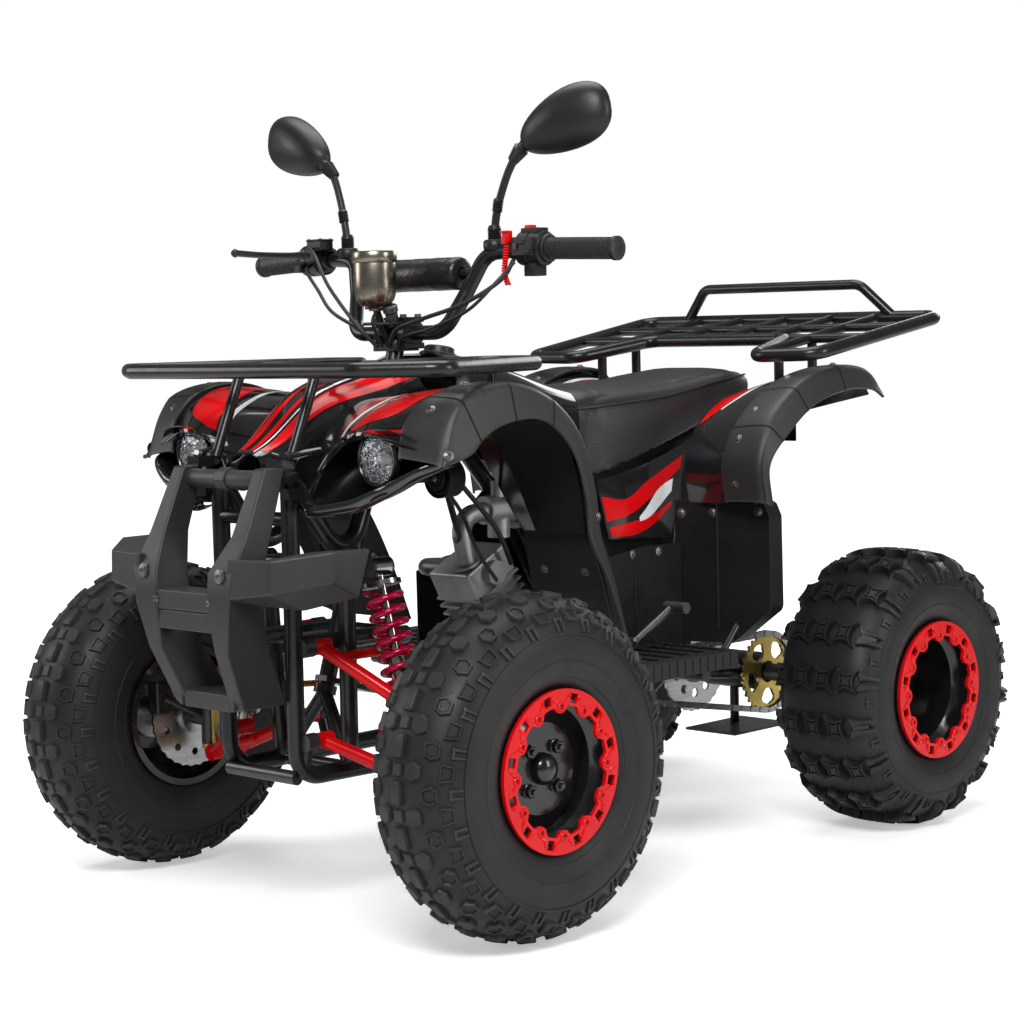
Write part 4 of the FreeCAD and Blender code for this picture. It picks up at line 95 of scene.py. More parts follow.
def area_light(name, place, target, size, power):
    """A soft rectangular lamp aimed at a point."""
    data = bpy.data.lights.new(name, "AREA")
    data.shape = "RECTANGLE"
    data.size, data.size_y = size
    data.energy = power
    lamp = bpy.data.objects.new(name, data)
    bpy.context.scene.collection.objects.link(lamp)
    lamp.location = place
    lamp.rotation_euler = (Vector(target) - Vector(place)).to_track_quat("-Z", "Y").to_euler()


def light_scene():
    """White surroundings, soft boxes and a pale floor."""
    scene = bpy.context.scene
    scene.view_settings.view_transform = "Standard"
    scene.world = bpy.data.worlds.new("studio")
    scene.world.use_nodes = True
    tree = scene.world.node_tree
    plain = tree.nodes["Background"]
    set_inputs(plain, Color=(1, 1, 1, 1), Strength=0.15)
    seen = add_node(tree, "Background", Color=(1, 1, 1, 1), Strength=1.0)
    paths = add_node(tree, "LightPath")
    mix = add_node(tree, "MixShader", (0, paths.outputs["Is Camera Ray"]), (1, plain.outputs[0]),
                   (2, seen.outputs[0]))
    tree.links.new(mix.outputs[0], tree.nodes["World Output"].inputs[0])
    for lamp in LAMPS:
        area_light(*lamp)
    floor_mesh = bpy.data.meshes.new("floor")
    corners = [(x * FLOOR_REACH, y * FLOOR_REACH, 0) for x, y in ((-1, -1), (1, -1), (1, 1), (-1, 1))]
    floor_mesh.from_pydata(corners, [], [(0, 1, 2, 3)])
    floor = bpy.data.objects.new("floor", floor_mesh)
    scene.collection.objects.link(floor)
    floor_mesh.materials.append(floor_material())


def floor_material():
    """A pale floor that keeps the shadow and blends into the white surroundings."""
    made = bpy.data.materials.new("floor_white")
    made.use_nodes = True
    tree = made.node_tree
    shader = tree.nodes["Principled BSDF"]
    set_inputs(shader, Base_Color=(0.93, 0.93, 0.93, 1), Roughness=0.55, Specular_IOR_Level=0.2)
    where = add_node(tree, "TexCoord")
    far = add_node(tree, "VectorMath", (0, where.outputs["Object"]))
    far.operation = "LENGTH"
    spread = add_node(tree, "MapRange", ("Value", far.outputs["Value"]), From_Min=1.1, From_Max=3.2, To_Min=0.42,
                      To_Max=1.0)
    glow = add_node(tree, "Emission", ("Strength", spread.outputs[0]))
    paths = add_node(tree, "LightPath")
    none = add_node(tree, "Emission", Strength=0)
    seen = add_node(tree, "MixShader", (0, paths.outputs["Is Camera Ray"]), (1, none.outputs[0]),
                    (2, glow.outputs[0]))
    add = add_node(tree, "AddShader", (0, shader.outputs[0]), (1, seen.outputs[0]))
    tree.links.new(add.outputs[0], tree.nodes["Material Output"].inputs[0])
    return made


# Materials

def set_inputs(node, **values):
    """Sets a node's inputs; an underscore in a key stands for a space."""
    for key, value in values.items():
        node.inputs[key.replace("_", " ")].default_value = value


def add_node(tree, kind, *wires, **values):
    """A shader node; wires are (input, source socket) and values go to its inputs."""
    made = tree.nodes.new("ShaderNode" + kind)
    set_inputs(made, **values)
    for name, source in wires:
        tree.links.new(source, made.inputs[name])
    return made


def noise_node(tree, source, scale, detail=3.0):
    """A noise texture that reads the object's coordinates."""
    return add_node(tree, "TexNoise", ("Vector", source), Scale=scale, Detail=detail, Roughness=0.55)


def material(name, colour, rough=0.5, metal=0.0, coat=0.0, grain=900, bump=0.1, depth=0.0003, vary=0.25,
             rough_vary=0.12, specular=0.5, wear=None, cells=False, stretch=(1, 1, 1), **extra):
    """A procedural finish: colour variation, changing roughness and a fine relief."""
    made = bpy.data.materials.new(name)
    made.use_nodes = True
    tree = made.node_tree
    shader = tree.nodes["Principled BSDF"]
    place = add_node(tree, "TexCoord").outputs["Object"]
    if stretch != (1, 1, 1):
        place = add_node(tree, "Mapping", ("Vector", place), Scale=stretch).outputs["Vector"]
    cloud = noise_node(tree, place, 14, 5.0)
    ramp = add_node(tree, "ValToRGB", ("Fac", cloud.outputs["Fac"]))
    for element, spot, way in zip(ramp.color_ramp.elements, (0.32, 0.68), (-1, 1)):
        element.position = spot
        element.color = (*(min(1, c * (1 + way * vary)) for c in colour), 1)
    base = ramp.outputs["Color"]
    if wear:
        base = edge_wear(tree, base, wear, place)
    smudge = noise_node(tree, place, 38, 4.0)
    spread = add_node(tree, "MapRange", ("Value", smudge.outputs["Fac"]), To_Min=max(0.02, rough - rough_vary),
                      To_Max=min(1.0, rough + rough_vary))
    tree.links.new(base, shader.inputs["Base Color"])
    tree.links.new(spread.outputs["Result"], shader.inputs["Roughness"])
    set_inputs(shader, Metallic=metal, Coat_Weight=coat, Coat_Roughness=0.06, Specular_IOR_Level=specular, **extra)
    if bump:
        if cells:
            height = add_node(tree, "TexVoronoi", ("Vector", place), Scale=grain).outputs["Distance"]
        else:
            height = noise_node(tree, place, grain).outputs["Fac"]
        relief = add_node(tree, "Bump", ("Height", height), Strength=bump, Distance=depth)
        tree.links.new(relief.outputs["Normal"], shader.inputs["Normal"])
    return made


def edge_wear(tree, colour, worn, place):
    """Mixes a worn colour in along convex edges."""
    geometry = add_node(tree, "NewGeometry")
    sharp = add_node(tree, "MapRange", ("Value", geometry.outputs["Pointiness"]), From_Min=0.52, From_Max=0.62)
    patchy = noise_node(tree, place, 60, 4.0)
    share = add_node(tree, "Math", (0, sharp.outputs["Result"]), (1, patchy.outputs["Fac"]))
    share.operation = "MULTIPLY"
    mix = add_node(tree, "MixRGB", ("Fac", share.outputs[0]), ("Color1", colour), Color2=(*worn, 1))
    return mix.outputs["Color"]


GLOSS = material("gloss_black", (0.010, 0.010, 0.011), 0.12, coat=0.6, grain=260, bump=0.03, vary=0.15,
                 rough_vary=0.04)
GREY = material("grained_grey", (0.021, 0.021, 0.022), 0.46, grain=1500, bump=0.30, depth=0.0004, vary=0.10,
                rough_vary=0.07, wear=(0.075, 0.075, 0.078), specular=0.38)
MATT = material("matt_black", (0.009, 0.009, 0.0095), 0.42, grain=1400, bump=0.2, vary=0.12, specular=0.35)
# Near-black matt for real dark joint lines, also used as painted shade: the sheets under the fenders, the sheet
# behind the side-panel gaps and the headlamp trays.
JOINT_AND_SHADE_BLACK = material("joint_and_shade_black", (0.006, 0.006, 0.006), 0.7, grain=900, bump=0.1, vary=0.1, specular=0.2)
SATIN = material("satin_metal", (0.011, 0.011, 0.0115), 0.30, metal=0.25, coat=0.12, grain=700, bump=0.12,
                 vary=0.15, wear=(0.05, 0.05, 0.052), specular=0.4)
RUBBER = material("tyre_black", (0.011, 0.011, 0.011), 0.50, grain=1100, bump=0.22, depth=0.0005, vary=0.25,
                  wear=(0.040, 0.039, 0.038), specular=0.32)
CORE = material("soft_rubber", (0.008, 0.008, 0.008), 0.5, grain=800, bump=0.15, vary=0.15)
VINYL = material("seat_vinyl", (0.011, 0.011, 0.0115), 0.42, grain=520, bump=0.38, depth=0.0006, vary=0.12,
                 cells=True, specular=0.42)
FOAM = material("pad_foam", (0.009, 0.009, 0.0095), 0.36, grain=70, bump=0.6, depth=0.003, vary=0.2)
RED_GLOSS = material("red_gloss", (0.60, 0.001, 0.003), 0.20, coat=0.12, grain=300, bump=0.04, vary=0.06,
                     rough_vary=0.05, specular=0.22)
RED_COAT = material("red_coat", (0.55, 0.001, 0.003), 0.25, coat=0.10, grain=500, bump=0.06, vary=0.12,
                    specular=0.2)
CRIMSON = material("crimson_coat", (0.32, 0.001, 0.030), 0.24, metal=0.15, coat=0.2, grain=500, bump=0.05,
                   vary=0.15, specular=0.25)
WHITE = material("white_gloss", (0.78, 0.78, 0.78), 0.2, coat=0.4, grain=300, bump=0.03, vary=0.03)
CHROME = material("chrome", (0.42, 0.41, 0.40), 0.2, metal=1.0, grain=400, bump=0.05, vary=0.08,
                  rough_vary=0.06)
CUP = material("cup_metal", (0.31, 0.28, 0.225), 0.27, metal=1.0, grain=300, bump=0.04, vary=0.10, rough_vary=0.06)
STEEL = material("ground_steel", (0.42, 0.42, 0.43), 0.30, metal=1.0, grain=900, bump=0.15, vary=0.10,
                 stretch=(1, 1, 9))
DARK_STEEL = material("dark_steel", (0.11, 0.11, 0.115), 0.42, metal=0.9, grain=600, bump=0.2, vary=0.25)
ZINC = material("zinc_yellow", (0.62, 0.46, 0.13), 0.30, metal=1.0, grain=260, bump=0.12, vary=0.35)
BRASS = material("brass", (0.70, 0.47, 0.16), 0.3, metal=1.0, grain=400, bump=0.1, vary=0.15)
ALLOY = material("cast_alloy", (0.34, 0.34, 0.335), 0.46, metal=0.85, grain=480, bump=0.45, depth=0.0006,
                 vary=0.2)
RIM_BLACK = material("rim_black", (0.010, 0.010, 0.011), 0.24, metal=0.2, coat=0.4, grain=500, bump=0.05,
                     vary=0.2)
RED_PLASTIC = material("red_plastic", (0.68, 0.002, 0.003), 0.3, grain=700, bump=0.05, vary=0.08, specular=0.25)
REFLECTOR = material("reflector", (0.75, 0.76, 0.78), 0.12, metal=1.0, grain=160, bump=0.55, depth=0.004,
                     vary=0.1, cells=True)
GLASS = material("lamp_glass", (0.95, 0.97, 0.98), 0.03, grain=150, bump=0.3, depth=0.0015, vary=0.01,
                 rough_vary=0.01, cells=True, Transmission_Weight=1.0)
RED_LENS = material("red_lens", (0.50, 0.006, 0.008), 0.12, coat=0.5, grain=300, bump=0.4, depth=0.001,
                    vary=0.1, cells=True)
MIRROR = material("mirror_glass", (0.80, 0.81, 0.82), 0.03, metal=1.0, grain=100, bump=0, vary=0.02,
                  rough_vary=0.01)
# Darker than the gloss black of the nose: painted shade in the lamp pockets.
POCKET_SHADE = material("pocket_painted_shade", (0.0035, 0.0035, 0.0038), 0.35, grain=600, bump=0.08, vary=0.1, specular=0.25)
SCREW = material("dull_screw", (0.16, 0.155, 0.14), 0.38, metal=0.9, grain=700, bump=0.2, vary=0.3)
LINER = material("liner_black", (0.006, 0.006, 0.0065), 0.4, specular=0.3, grain=900, bump=0.15, vary=0.15)
BULB = material("bulb_glass", (0.80, 0.82, 0.84), 0.2, grain=300, bump=0.02, vary=0.02)

FINISHES = (
    (SATIN, "frame front_rack rear_rack swingarm skid_plate steering_stem handlebar knuckle"),
    (ALLOY, "engine carburettor"),
    (DARK_STEEL, "exhaust chain rear_axle gear_pedal"),
    (ZINC, "sprocket yokes tie_rod"),
    (STEEL, "rear_disc front_hub"),
    (MATT, "horn lower_covers heel_guards foot_rests controls mirrors"),
    (RED_COAT, "control_arms"),
    (RIM_BLACK, "rear_rims front_rim"),
    (RED_GLOSS, "rear_rings front_ring"),
    (GREY, "bumper front_flare rear_flare"),
    (GLOSS, "front_body tank_cover side_panels rear_body"),
    # The gloss black headlamp trays get the near-black matt as painted shade in the lamp pockets.
    (JOINT_AND_SHADE_BLACK, "headlamps"),
    (GLASS, "headlamp_lenses"),
    (VINYL, "seat"),
    (RED_LENS, "tail_lamp"),
    (CORE, "grips cables"),
    (FOAM, "bar_pad"),
    (CHROME, "gauge dampers"),
    (RED_PLASTIC, "kill_cord kill_clip"),
    (CRIMSON, "springs"),
    (RUBBER, "front_tyre rear_tyre"),
)
NODE_FINISH = {node: made for made, nodes in FINISHES for node in nodes.split()}


def finish_nodes():
    """Gives every CAD node its finish."""
    for name, node in NODES.items():
        base = name.rsplit("_", 1)[0] if name.endswith(("_left", "_right")) else name
        made = NODE_FINISH[base]
        if not node.material_slots:
            node.data.materials.append(made)
        for slot in node.material_slots:
            slot.material = made


# Mesh helpers, all in millimetres

def add_piece(name, build, made, slot, body="chassis", replaces=None, smooth=35, bevel=0.0, segments=2):
    """A mesh object that rides on a body and may stand for a CAD node."""
    mesh = bpy.data.meshes.new(name)
    mesh.from_pydata([Vector(p) * MM for p in build.points], [], [tuple(f) for f in build.faces])
    mesh.validate()
    mesh.update()
    piece = bpy.data.objects.new(name, mesh)
    bpy.context.scene.collection.objects.link(piece)
    mesh.materials.append(made)
    for face in mesh.polygons:
        face.use_smooth = smooth > 0
    if smooth > 0:
        mesh.set_sharp_from_angle(angle=math.radians(smooth))
    if bevel:
        round_edges(piece, bevel, segments, 28)
        if smooth > 0:
            for edge in mesh.edges:
                edge.use_edge_sharp = False
            piece.modifiers.new("even", "WEIGHTED_NORMAL").keep_sharp = True
    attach(piece, body)
    if replaces:
        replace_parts(piece, replaces)
    return piece


def round_edges(piece, width, segments, angle):
    """Rounds the edges that are sharper than an angle."""
    rounding = piece.modifiers.new("round", "BEVEL")
    rounding.width = width * MM
    rounding.segments = segments
    rounding.limit_method = "ANGLE"
    rounding.angle_limit = math.radians(angle)


def square_to(axis):
    """Two unit vectors square to an axis and to each other."""
    side = axis.orthogonal().normalized()
    return side, axis.cross(side)


def swung(side, other, angle):
    """The unit vector at an angle between two square ones."""
    return side * math.cos(angle) + other * math.sin(angle)


def along_path(lengths, places, reach):
    """The point of a path at a distance along it."""
    return [float(np.interp(reach, lengths, [p[axis] for p in places])) for axis in range(3)]


def path_lengths(places):
    """The distance along a path at each of its points."""
    return np.cumsum([0] + [(b - a).length for a, b in zip(places, places[1:])])


class Build:
    """Collects points and faces of one piece."""

    def __init__(self):
        self.points = []
        self.faces = []

    def add(self, points, faces):
        """Adds points and the faces between them."""
        start = len(self.points)
        self.points += [tuple(p) for p in points]
        self.faces += [[start + i for i in face] for face in faces]

    def both(self):
        """Adds the mirror image in X of everything so far."""
        start = len(self.points)
        self.points += [(-x, y, z) for x, y, z in self.points]
        self.faces += [[start + i for i in face[::-1]] for face in list(self.faces)]
        return self

    def flip(self, side):
        """The same build on one side of the bike."""
        if side > 0:
            return self
        turned = Build()
        turned.points = [(-x, y, z) for x, y, z in self.points]
        turned.faces = [face[::-1] for face in self.faces]
        return turned

    def loft(self, sections, closed=True, caps=True):
        """A skin through sections with equal numbers of points."""
        count = len(sections[0])
        points = [p for section in sections for p in section]
        faces = []
        reach = count if closed else count - 1
        for row in range(len(sections) - 1):
            for step in range(reach):
                a, b = row * count + step, row * count + (step + 1) % count
                faces.append([a, b, b + count, a + count])
        if closed and caps:
            faces.append(list(range(count))[::-1])
            faces.append([(len(sections) - 1) * count + i for i in range(count)])
        self.add(points, faces)

    def turn(self, profile, centre, axis, segments=48):
        """A profile of (along, radius) turned about an axis through a centre."""
        axis = Vector(axis).normalized()
        side, other = square_to(axis)
        points = []
        for step in range(segments):
            ray = swung(side, other, 2 * math.pi * step / segments)
            points += [Vector(centre) + axis * a + ray * r for a, r in profile]
        count = len(profile)
        faces = []
        for row in range(segments):
            here, after = row * count, (row + 1) % segments * count
            faces += [[here + step, after + step, after + step + 1, here + step + 1] for step in range(count - 1)]
        self.add(points, faces)

    def box(self, centre, size):
        """A box about its centre."""
        half = Vector(size) / 2
        corners = [Vector((x * half.x, y * half.y, z * half.z)) for x in (-1, 1) for y in (-1, 1) for z in (-1, 1)]
        self.add([Vector(centre) + corner for corner in corners],
                 [(0, 1, 3, 2), (4, 6, 7, 5), (0, 4, 5, 1), (2, 3, 7, 6), (0, 2, 6, 4), (1, 5, 7, 3)])

    def prism(self, outline, direction):
        """A flat outline given thickness along a vector."""
        direction = Vector(direction)
        base = [Vector(p) for p in outline]
        self.loft([base, [p + direction for p in base]])

    def tube(self, route, radius, segments=14, steps=6):
        """A round tube along a smooth curve through points; the radius may be a list."""
        path = smooth_route(route, steps)
        radii = np.interp(np.linspace(0, 1, len(path)), np.linspace(0, 1, len(radius)), radius) \
            if isinstance(radius, list) else [radius] * len(path)
        sections = []
        side = None
        for place, along, reach in zip(path, directions(path), radii):
            side = along.orthogonal() if side is None else side - along * side.dot(along)
            side.normalize()
            sections.append([place + swung(side, along.cross(side), 2 * math.pi * i / segments) * reach
                             for i in range(segments)])
        self.loft(sections)


def smooth_route(route, steps):
    """Points along a Catmull-Rom curve through the route."""
    values = np.array([tuple(p) for p in route], float)
    if steps <= 1 or len(values) < 3:
        return [Vector(v) for v in values]
    places = np.linspace(0, len(values) - 1, (len(values) - 1) * steps + 1)
    return [Vector(v) for v in spline(values, places)]


def directions(path):
    """The unit direction of a path at each of its points."""
    out = []
    for index in range(len(path)):
        before, after = path[max(0, index - 1)], path[min(len(path) - 1, index + 1)]
        out.append((after - before).normalized())
    return out


def spline(values, places):
    """Catmull-Rom values at fractional places along the first axis."""
    values = np.asarray(values, float)
    padded = np.concatenate([[2 * values[0] - values[1]], values, [2 * values[-1] - values[-2]]])
    places = np.clip(np.asarray(places, float), 0, len(values) - 1)
    index = np.minimum(places.astype(int), len(values) - 2)
    t = (places - index).reshape((-1,) + (1,) * (values.ndim - 1))
    p0, p1, p2, p3 = (padded[index + k] for k in range(4))
    return 0.5 * (2 * p1 + (p2 - p0) * t + (2 * p0 - 5 * p1 + 4 * p2 - p3) * t ** 2
                  + (3 * p1 - p0 - 3 * p2 + p3) * t ** 3)


class Patch:
    """A smooth surface through rows of points; u runs along rows' list, v across each row."""

    def __init__(self, rows, inside):
        self.rows = np.array(rows, float)
        self.inside = np.array(inside, float)
        middle = self.at(0.5, 0.5)
        self.sign = 1.0
        normal = self.normal(0.5, 0.5)
        if np.dot(normal, middle - self.inside) < 0:
            self.sign = -1.0

    def grid(self, us, vs):
        """Points for lists of u and v shares."""
        count_u, count_v = self.rows.shape[:2]
        along = spline(self.rows, np.asarray(us) * (count_u - 1))
        across = spline(along.transpose(1, 0, 2), np.asarray(vs) * (count_v - 1))
        return across.transpose(1, 0, 2)

    def at(self, u, v):
        """One point."""
        return self.grid([u], [v])[0, 0]

    def normal(self, u, v):
        """The outward unit normal at one place."""
        h = 0.004
        u0, u1 = max(0, u - h), min(1, u + h)
        v0, v1 = max(0, v - h), min(1, v + h)
        du = self.at(u1, v) - self.at(u0, v)
        dv = self.at(u, v1) - self.at(u, v0)
        n = np.cross(du, dv)
        return self.sign * n / (np.linalg.norm(n) + 1e-12)

    def shell(self, build, count_u, count_v, thick):
        """Adds an outer skin, an inner one and the rims between them."""
        us, vs = np.linspace(0, 1, count_u), np.linspace(0, 1, count_v)
        outer = self.grid(us, vs)
        du = np.gradient(outer, axis=0)
        dv = np.gradient(outer, axis=1)
        normals = np.cross(du, dv)
        normals *= self.sign / (np.linalg.norm(normals, axis=2, keepdims=True) + 1e-12)
        inner = outer - normals * thick
        points = list(outer.reshape(-1, 3)) + list(inner.reshape(-1, 3))
        total = count_u * count_v
        faces = []
        for a in (i * count_v + j for i in range(count_u - 1) for j in range(count_v - 1)):
            quad = [a, a + count_v, a + count_v + 1, a + 1]
            faces += [quad, [k + total for k in quad[::-1]]]
        along, last = range(0, total, count_v), count_v - 1
        for rim in (along, [a + last for a in along][::-1], range(count_v)[::-1], range(total - count_v, total)):
            faces += [[a, a + total, b + total, b] for a, b in zip(rim, rim[1:])]
        build.add(points, faces if self.sign > 0 else [face[::-1] for face in faces])

    def ribbon(self, build, spine):
        """A thin strip on the surface along (u, low v, high v) stations."""
        lift, steps, across = 0.5, 30, 8
        stations = spline(np.array(spine, float), np.linspace(0, len(spine) - 1, steps))
        points, faces = [], []
        for u, low, high in stations:
            for share in np.linspace(0, 1, across):
                v = low + (high - low) * share
                points.append(self.at(u, v) + self.normal(u, v) * lift)
        for a in (i * across + j for i in range(steps - 1) for j in range(across - 1)):
            quad = [a, a + across, a + across + 1, a + 1]
            faces.append(quad if self.sign > 0 else quad[::-1])
        build.add(points, faces)


# Tyres and wheels

class Tread:
    """Places points on a tyre's carcass by distance round it and across it."""

    def __init__(self, centre, half_section):
        self.centre = centre
        places = np.linspace(0, len(half_section) - 1, (len(half_section) - 1) * 10 + 1)
        half = spline(np.array(half_section, float), places)
        mirrored = half[::-1].copy()
        mirrored[:, 0] *= -1
        self.section = np.concatenate([mirrored, half[1:]])
        steps = np.linalg.norm(np.diff(self.section, axis=0), axis=1)
        self.arc = np.concatenate([[0], np.cumsum(steps)])
        self.arc -= self.arc[-1] / 2
        self.radius = self.section[:, 1].max()

    def at(self, round_by, across, height):
        """A point: degrees round the axle, millimetres across the crown and above the carcass."""
        x, r = (np.interp(across, self.arc, self.section[:, k]) for k in (0, 1))
        h = 0.8
        x1, r1 = (np.interp(across + h, self.arc, self.section[:, k]) for k in (0, 1))
        x0, r0 = (np.interp(across - h, self.arc, self.section[:, k]) for k in (0, 1))
        along = Vector((x1 - x0, r1 - r0)).normalized()
        x, r = x - along.y * height, r + along.x * height
        return self.place(x, r, math.radians(round_by))

    def place(self, x, r, turn):
        """The point at a distance from the middle plane and from the axle."""
        return (self.centre[0] + x, self.centre[1] - r * math.sin(turn), self.centre[2] + r * math.cos(turn))

    def carcass(self, build, ridges):
        """The smooth carcass; ridges are (across, half width, height) bands on both sides."""
        segments = 128
        inner = [(self.section[-1][0] * s, self.section[-1][1] + 1) for s in (0.98, 0.5, -0.5, -0.98)]
        extra = [s * (a + o) for a, w, _ in ridges for s in (1, -1)
                 for o in (-w * 1.01, -w * 0.5, w * 0.5, w * 1.01)]
        spots = sorted(list(self.arc[::2]) + extra)
        sections = []
        for step in range(segments):
            angle = 360 * step / segments
            row = [self.at(angle, across, sum(h for a, w, h in ridges if abs(abs(across) - a) < w * 0.9))
                   for across in spots]
            sections.append(row + [self.place(x, r, math.radians(angle)) for x, r in inner])
        sections.append(sections[0])
        build.loft(sections, True, False)

    def lug(self, build, round_by, across, outline, rings):
        """A lug on the carcass: an outline in millimetres and rings of (scale, height)."""
        degrees = 360 / (2 * math.pi * self.radius)
        cx = sum(p[0] for p in outline) / len(outline)
        cy = sum(p[1] for p in outline) / len(outline)
        build.loft([[self.at(round_by + (cx + (s - cx) * scale) * degrees, across + cy + (t - cy) * scale, height)
                     for s, t in outline] for scale, height in rings], caps=False)
        build.faces.append(list(range(len(build.points) - len(outline), len(build.points))))

    def hair(self, build, rng, round_by, across, height, length):
        """One fine vent hair."""
        foot = Vector(self.at(round_by, across, height))
        tip = Vector(self.at(round_by + rng.uniform(-0.9, 0.9), across + rng.uniform(-2.5, 2.5), height + length))
        if foot.z < 14 or tip.z < 14:
            return
        side, other = square_to((tip - foot).normalized())
        base = [foot + swung(side, other, t) * 0.55 for t in (0, 2.1, 4.2)]
        build.add(base + [tip], [(0, 1, 3), (1, 2, 3), (2, 0, 3)])


def sided(outline, side):
    """An outline mirrored across the crown, kept in the same turning direction."""
    return outline if side > 0 else [(s, -t) for s, t in outline][::-1]


# Outlines and half sections of the tyres

HEXAGON = [(-13, 0), (-7.5, -11), (7, -11), (13, -1), (8, 10), (-7, 10)]
FRONT_HALF = [(0, 234.0), (25, 231.8), (46, 224.5), (61, 213), (71, 198), (77.2, 180), (79, 163), (77.5, 146),
              (72, 128), (66.5, 117.5), (62.5, 112.4), (57.6, 107)]
REAR_HALF = [(0, 215.4), (35, 214.4), (62, 209.5), (80, 199), (89.5, 184), (93.6, 167), (94, 150), (91.5, 134),
             (86.5, 121.5), (82, 114), (77, 109)]


def front_tyre(side):
    """The front tyre: round carcass, bars on the crown and hexagonal knobs beside them."""
    tread = Tread((FRONT_X, FRONT_Y, FRONT_Z), FRONT_HALF)
    build, hairs = Build(), Build()
    tread.carcass(build, [(98, 2.2, 1.5), (134, 1.4, 0.7), (158, 1.2, 0.6)])
    rng = random.Random(7)
    pitches = 24
    solid = [(1.07, -1.5), (1.0, 4.6), (0.93, 6.0), (0.86, 6.6)]
    rimmed = [(1.07, -1.5), (1.0, 4.8), (0.93, 6.2), (0.78, 6.2), (0.66, 3.4)]
    for pitch in range(pitches):
        base = 360 * pitch / pitches
        half = base + 180 / pitches
        tread.lug(build, base, 0, oblong(15, 7.5), [(1.06, -1.5), (1.0, 4.8), (0.95, 6.2), (0.86, 6.6)])
        tread.lug(build, half, 0, oblong(8, 7), [(1.08, -1.5), (1.0, 3.2), (0.9, 4)])
        for edge in (1, -1):
            tread.lug(build, half, edge * 27, sided(HEXAGON, edge), solid)
            tread.lug(build, base, edge * 51, sided(HEXAGON, edge), rimmed)
            tread.lug(build, half, edge * 70, sided([(-14, -7), (13, -8), (10, 9), (-11, 10)], edge), rimmed)
            for shift in (-6, 6):
                claw = [(shift - 2.6, -7), (shift + 2.6, -7), (shift + 1.8, 12), (shift - 1.8, 12)]
                tread.lug(build, base, edge * 82, sided(claw, edge), [(1.1, -1.0), (1.0, 2.6), (0.8, 3.4)])
            tread.lug(build, base, edge * 77, sided(oblong(8, 1.8), edge), [(1.08, -1.0), (1.0, 2.2), (0.86, 2.9)])
            tread.lug(build, base + rng.uniform(2, 12), edge * rng.uniform(108, 150), oblong(1.2, 1.2),
                      [(1, -0.5), (0.5, 1.2)])
            for where, height in ((27, 5.5), (51, 5.0), (70, 4.5), (83, 1.5), (95, 0)):
                for _ in range(2):
                    tread.hair(hairs, rng, base + rng.uniform(0, 15), edge * (where + rng.uniform(-8, 8)),
                               height - 2, rng.uniform(5, 9))
    place_tyre("front", side, build, hairs)


def oblong(along, across):
    """A lug outline with four corners."""
    return [(-along, -across), (along, -across), (along, across), (-along, across)]


def label(side):
    """The side's name."""
    return "left" if side > 0 else "right"


def place_tyre(end, side, build, hairs):
    """Adds a tyre in place of its CAD node, and its vent hairs."""
    body = wheel_body(end, side)
    add_piece(end + "_tyre_skin_" + label(side), build.flip(side), RUBBER, "tyre_rubber", body=body,
              replaces=end + "_tyre_" + label(side), smooth=38)
    add_piece(end + "_tyre_hair_" + label(side), hairs.flip(side), RUBBER, "tyre_rubber", body=body, smooth=0)


def wheel_body(end, side):
    """The body that a wheel turns on."""
    return "front_wheel_" + label(side) if end == "front" else "rear_wheels"


def cross_outline(width, height, pinch):
    """A lug outline with four pulled-in sides."""
    out = []
    corners = [(-1, -1), (1, -1), (1, 1), (-1, 1)]
    for (ax, ay), (bx, by) in zip(corners, corners[1:] + corners[:1]):
        for t in (0, 0.12, 0.32, 0.5, 0.68, 0.88):
            x, y = ax + (bx - ax) * t, ay + (by - ay) * t
            pull = 1 - pinch * math.sin(math.pi * t) ** 0.8
            out.append((x * width / 2 * (pull if ax == bx else 1), y * height / 2 * (pull if ay == by else 1)))
    return out


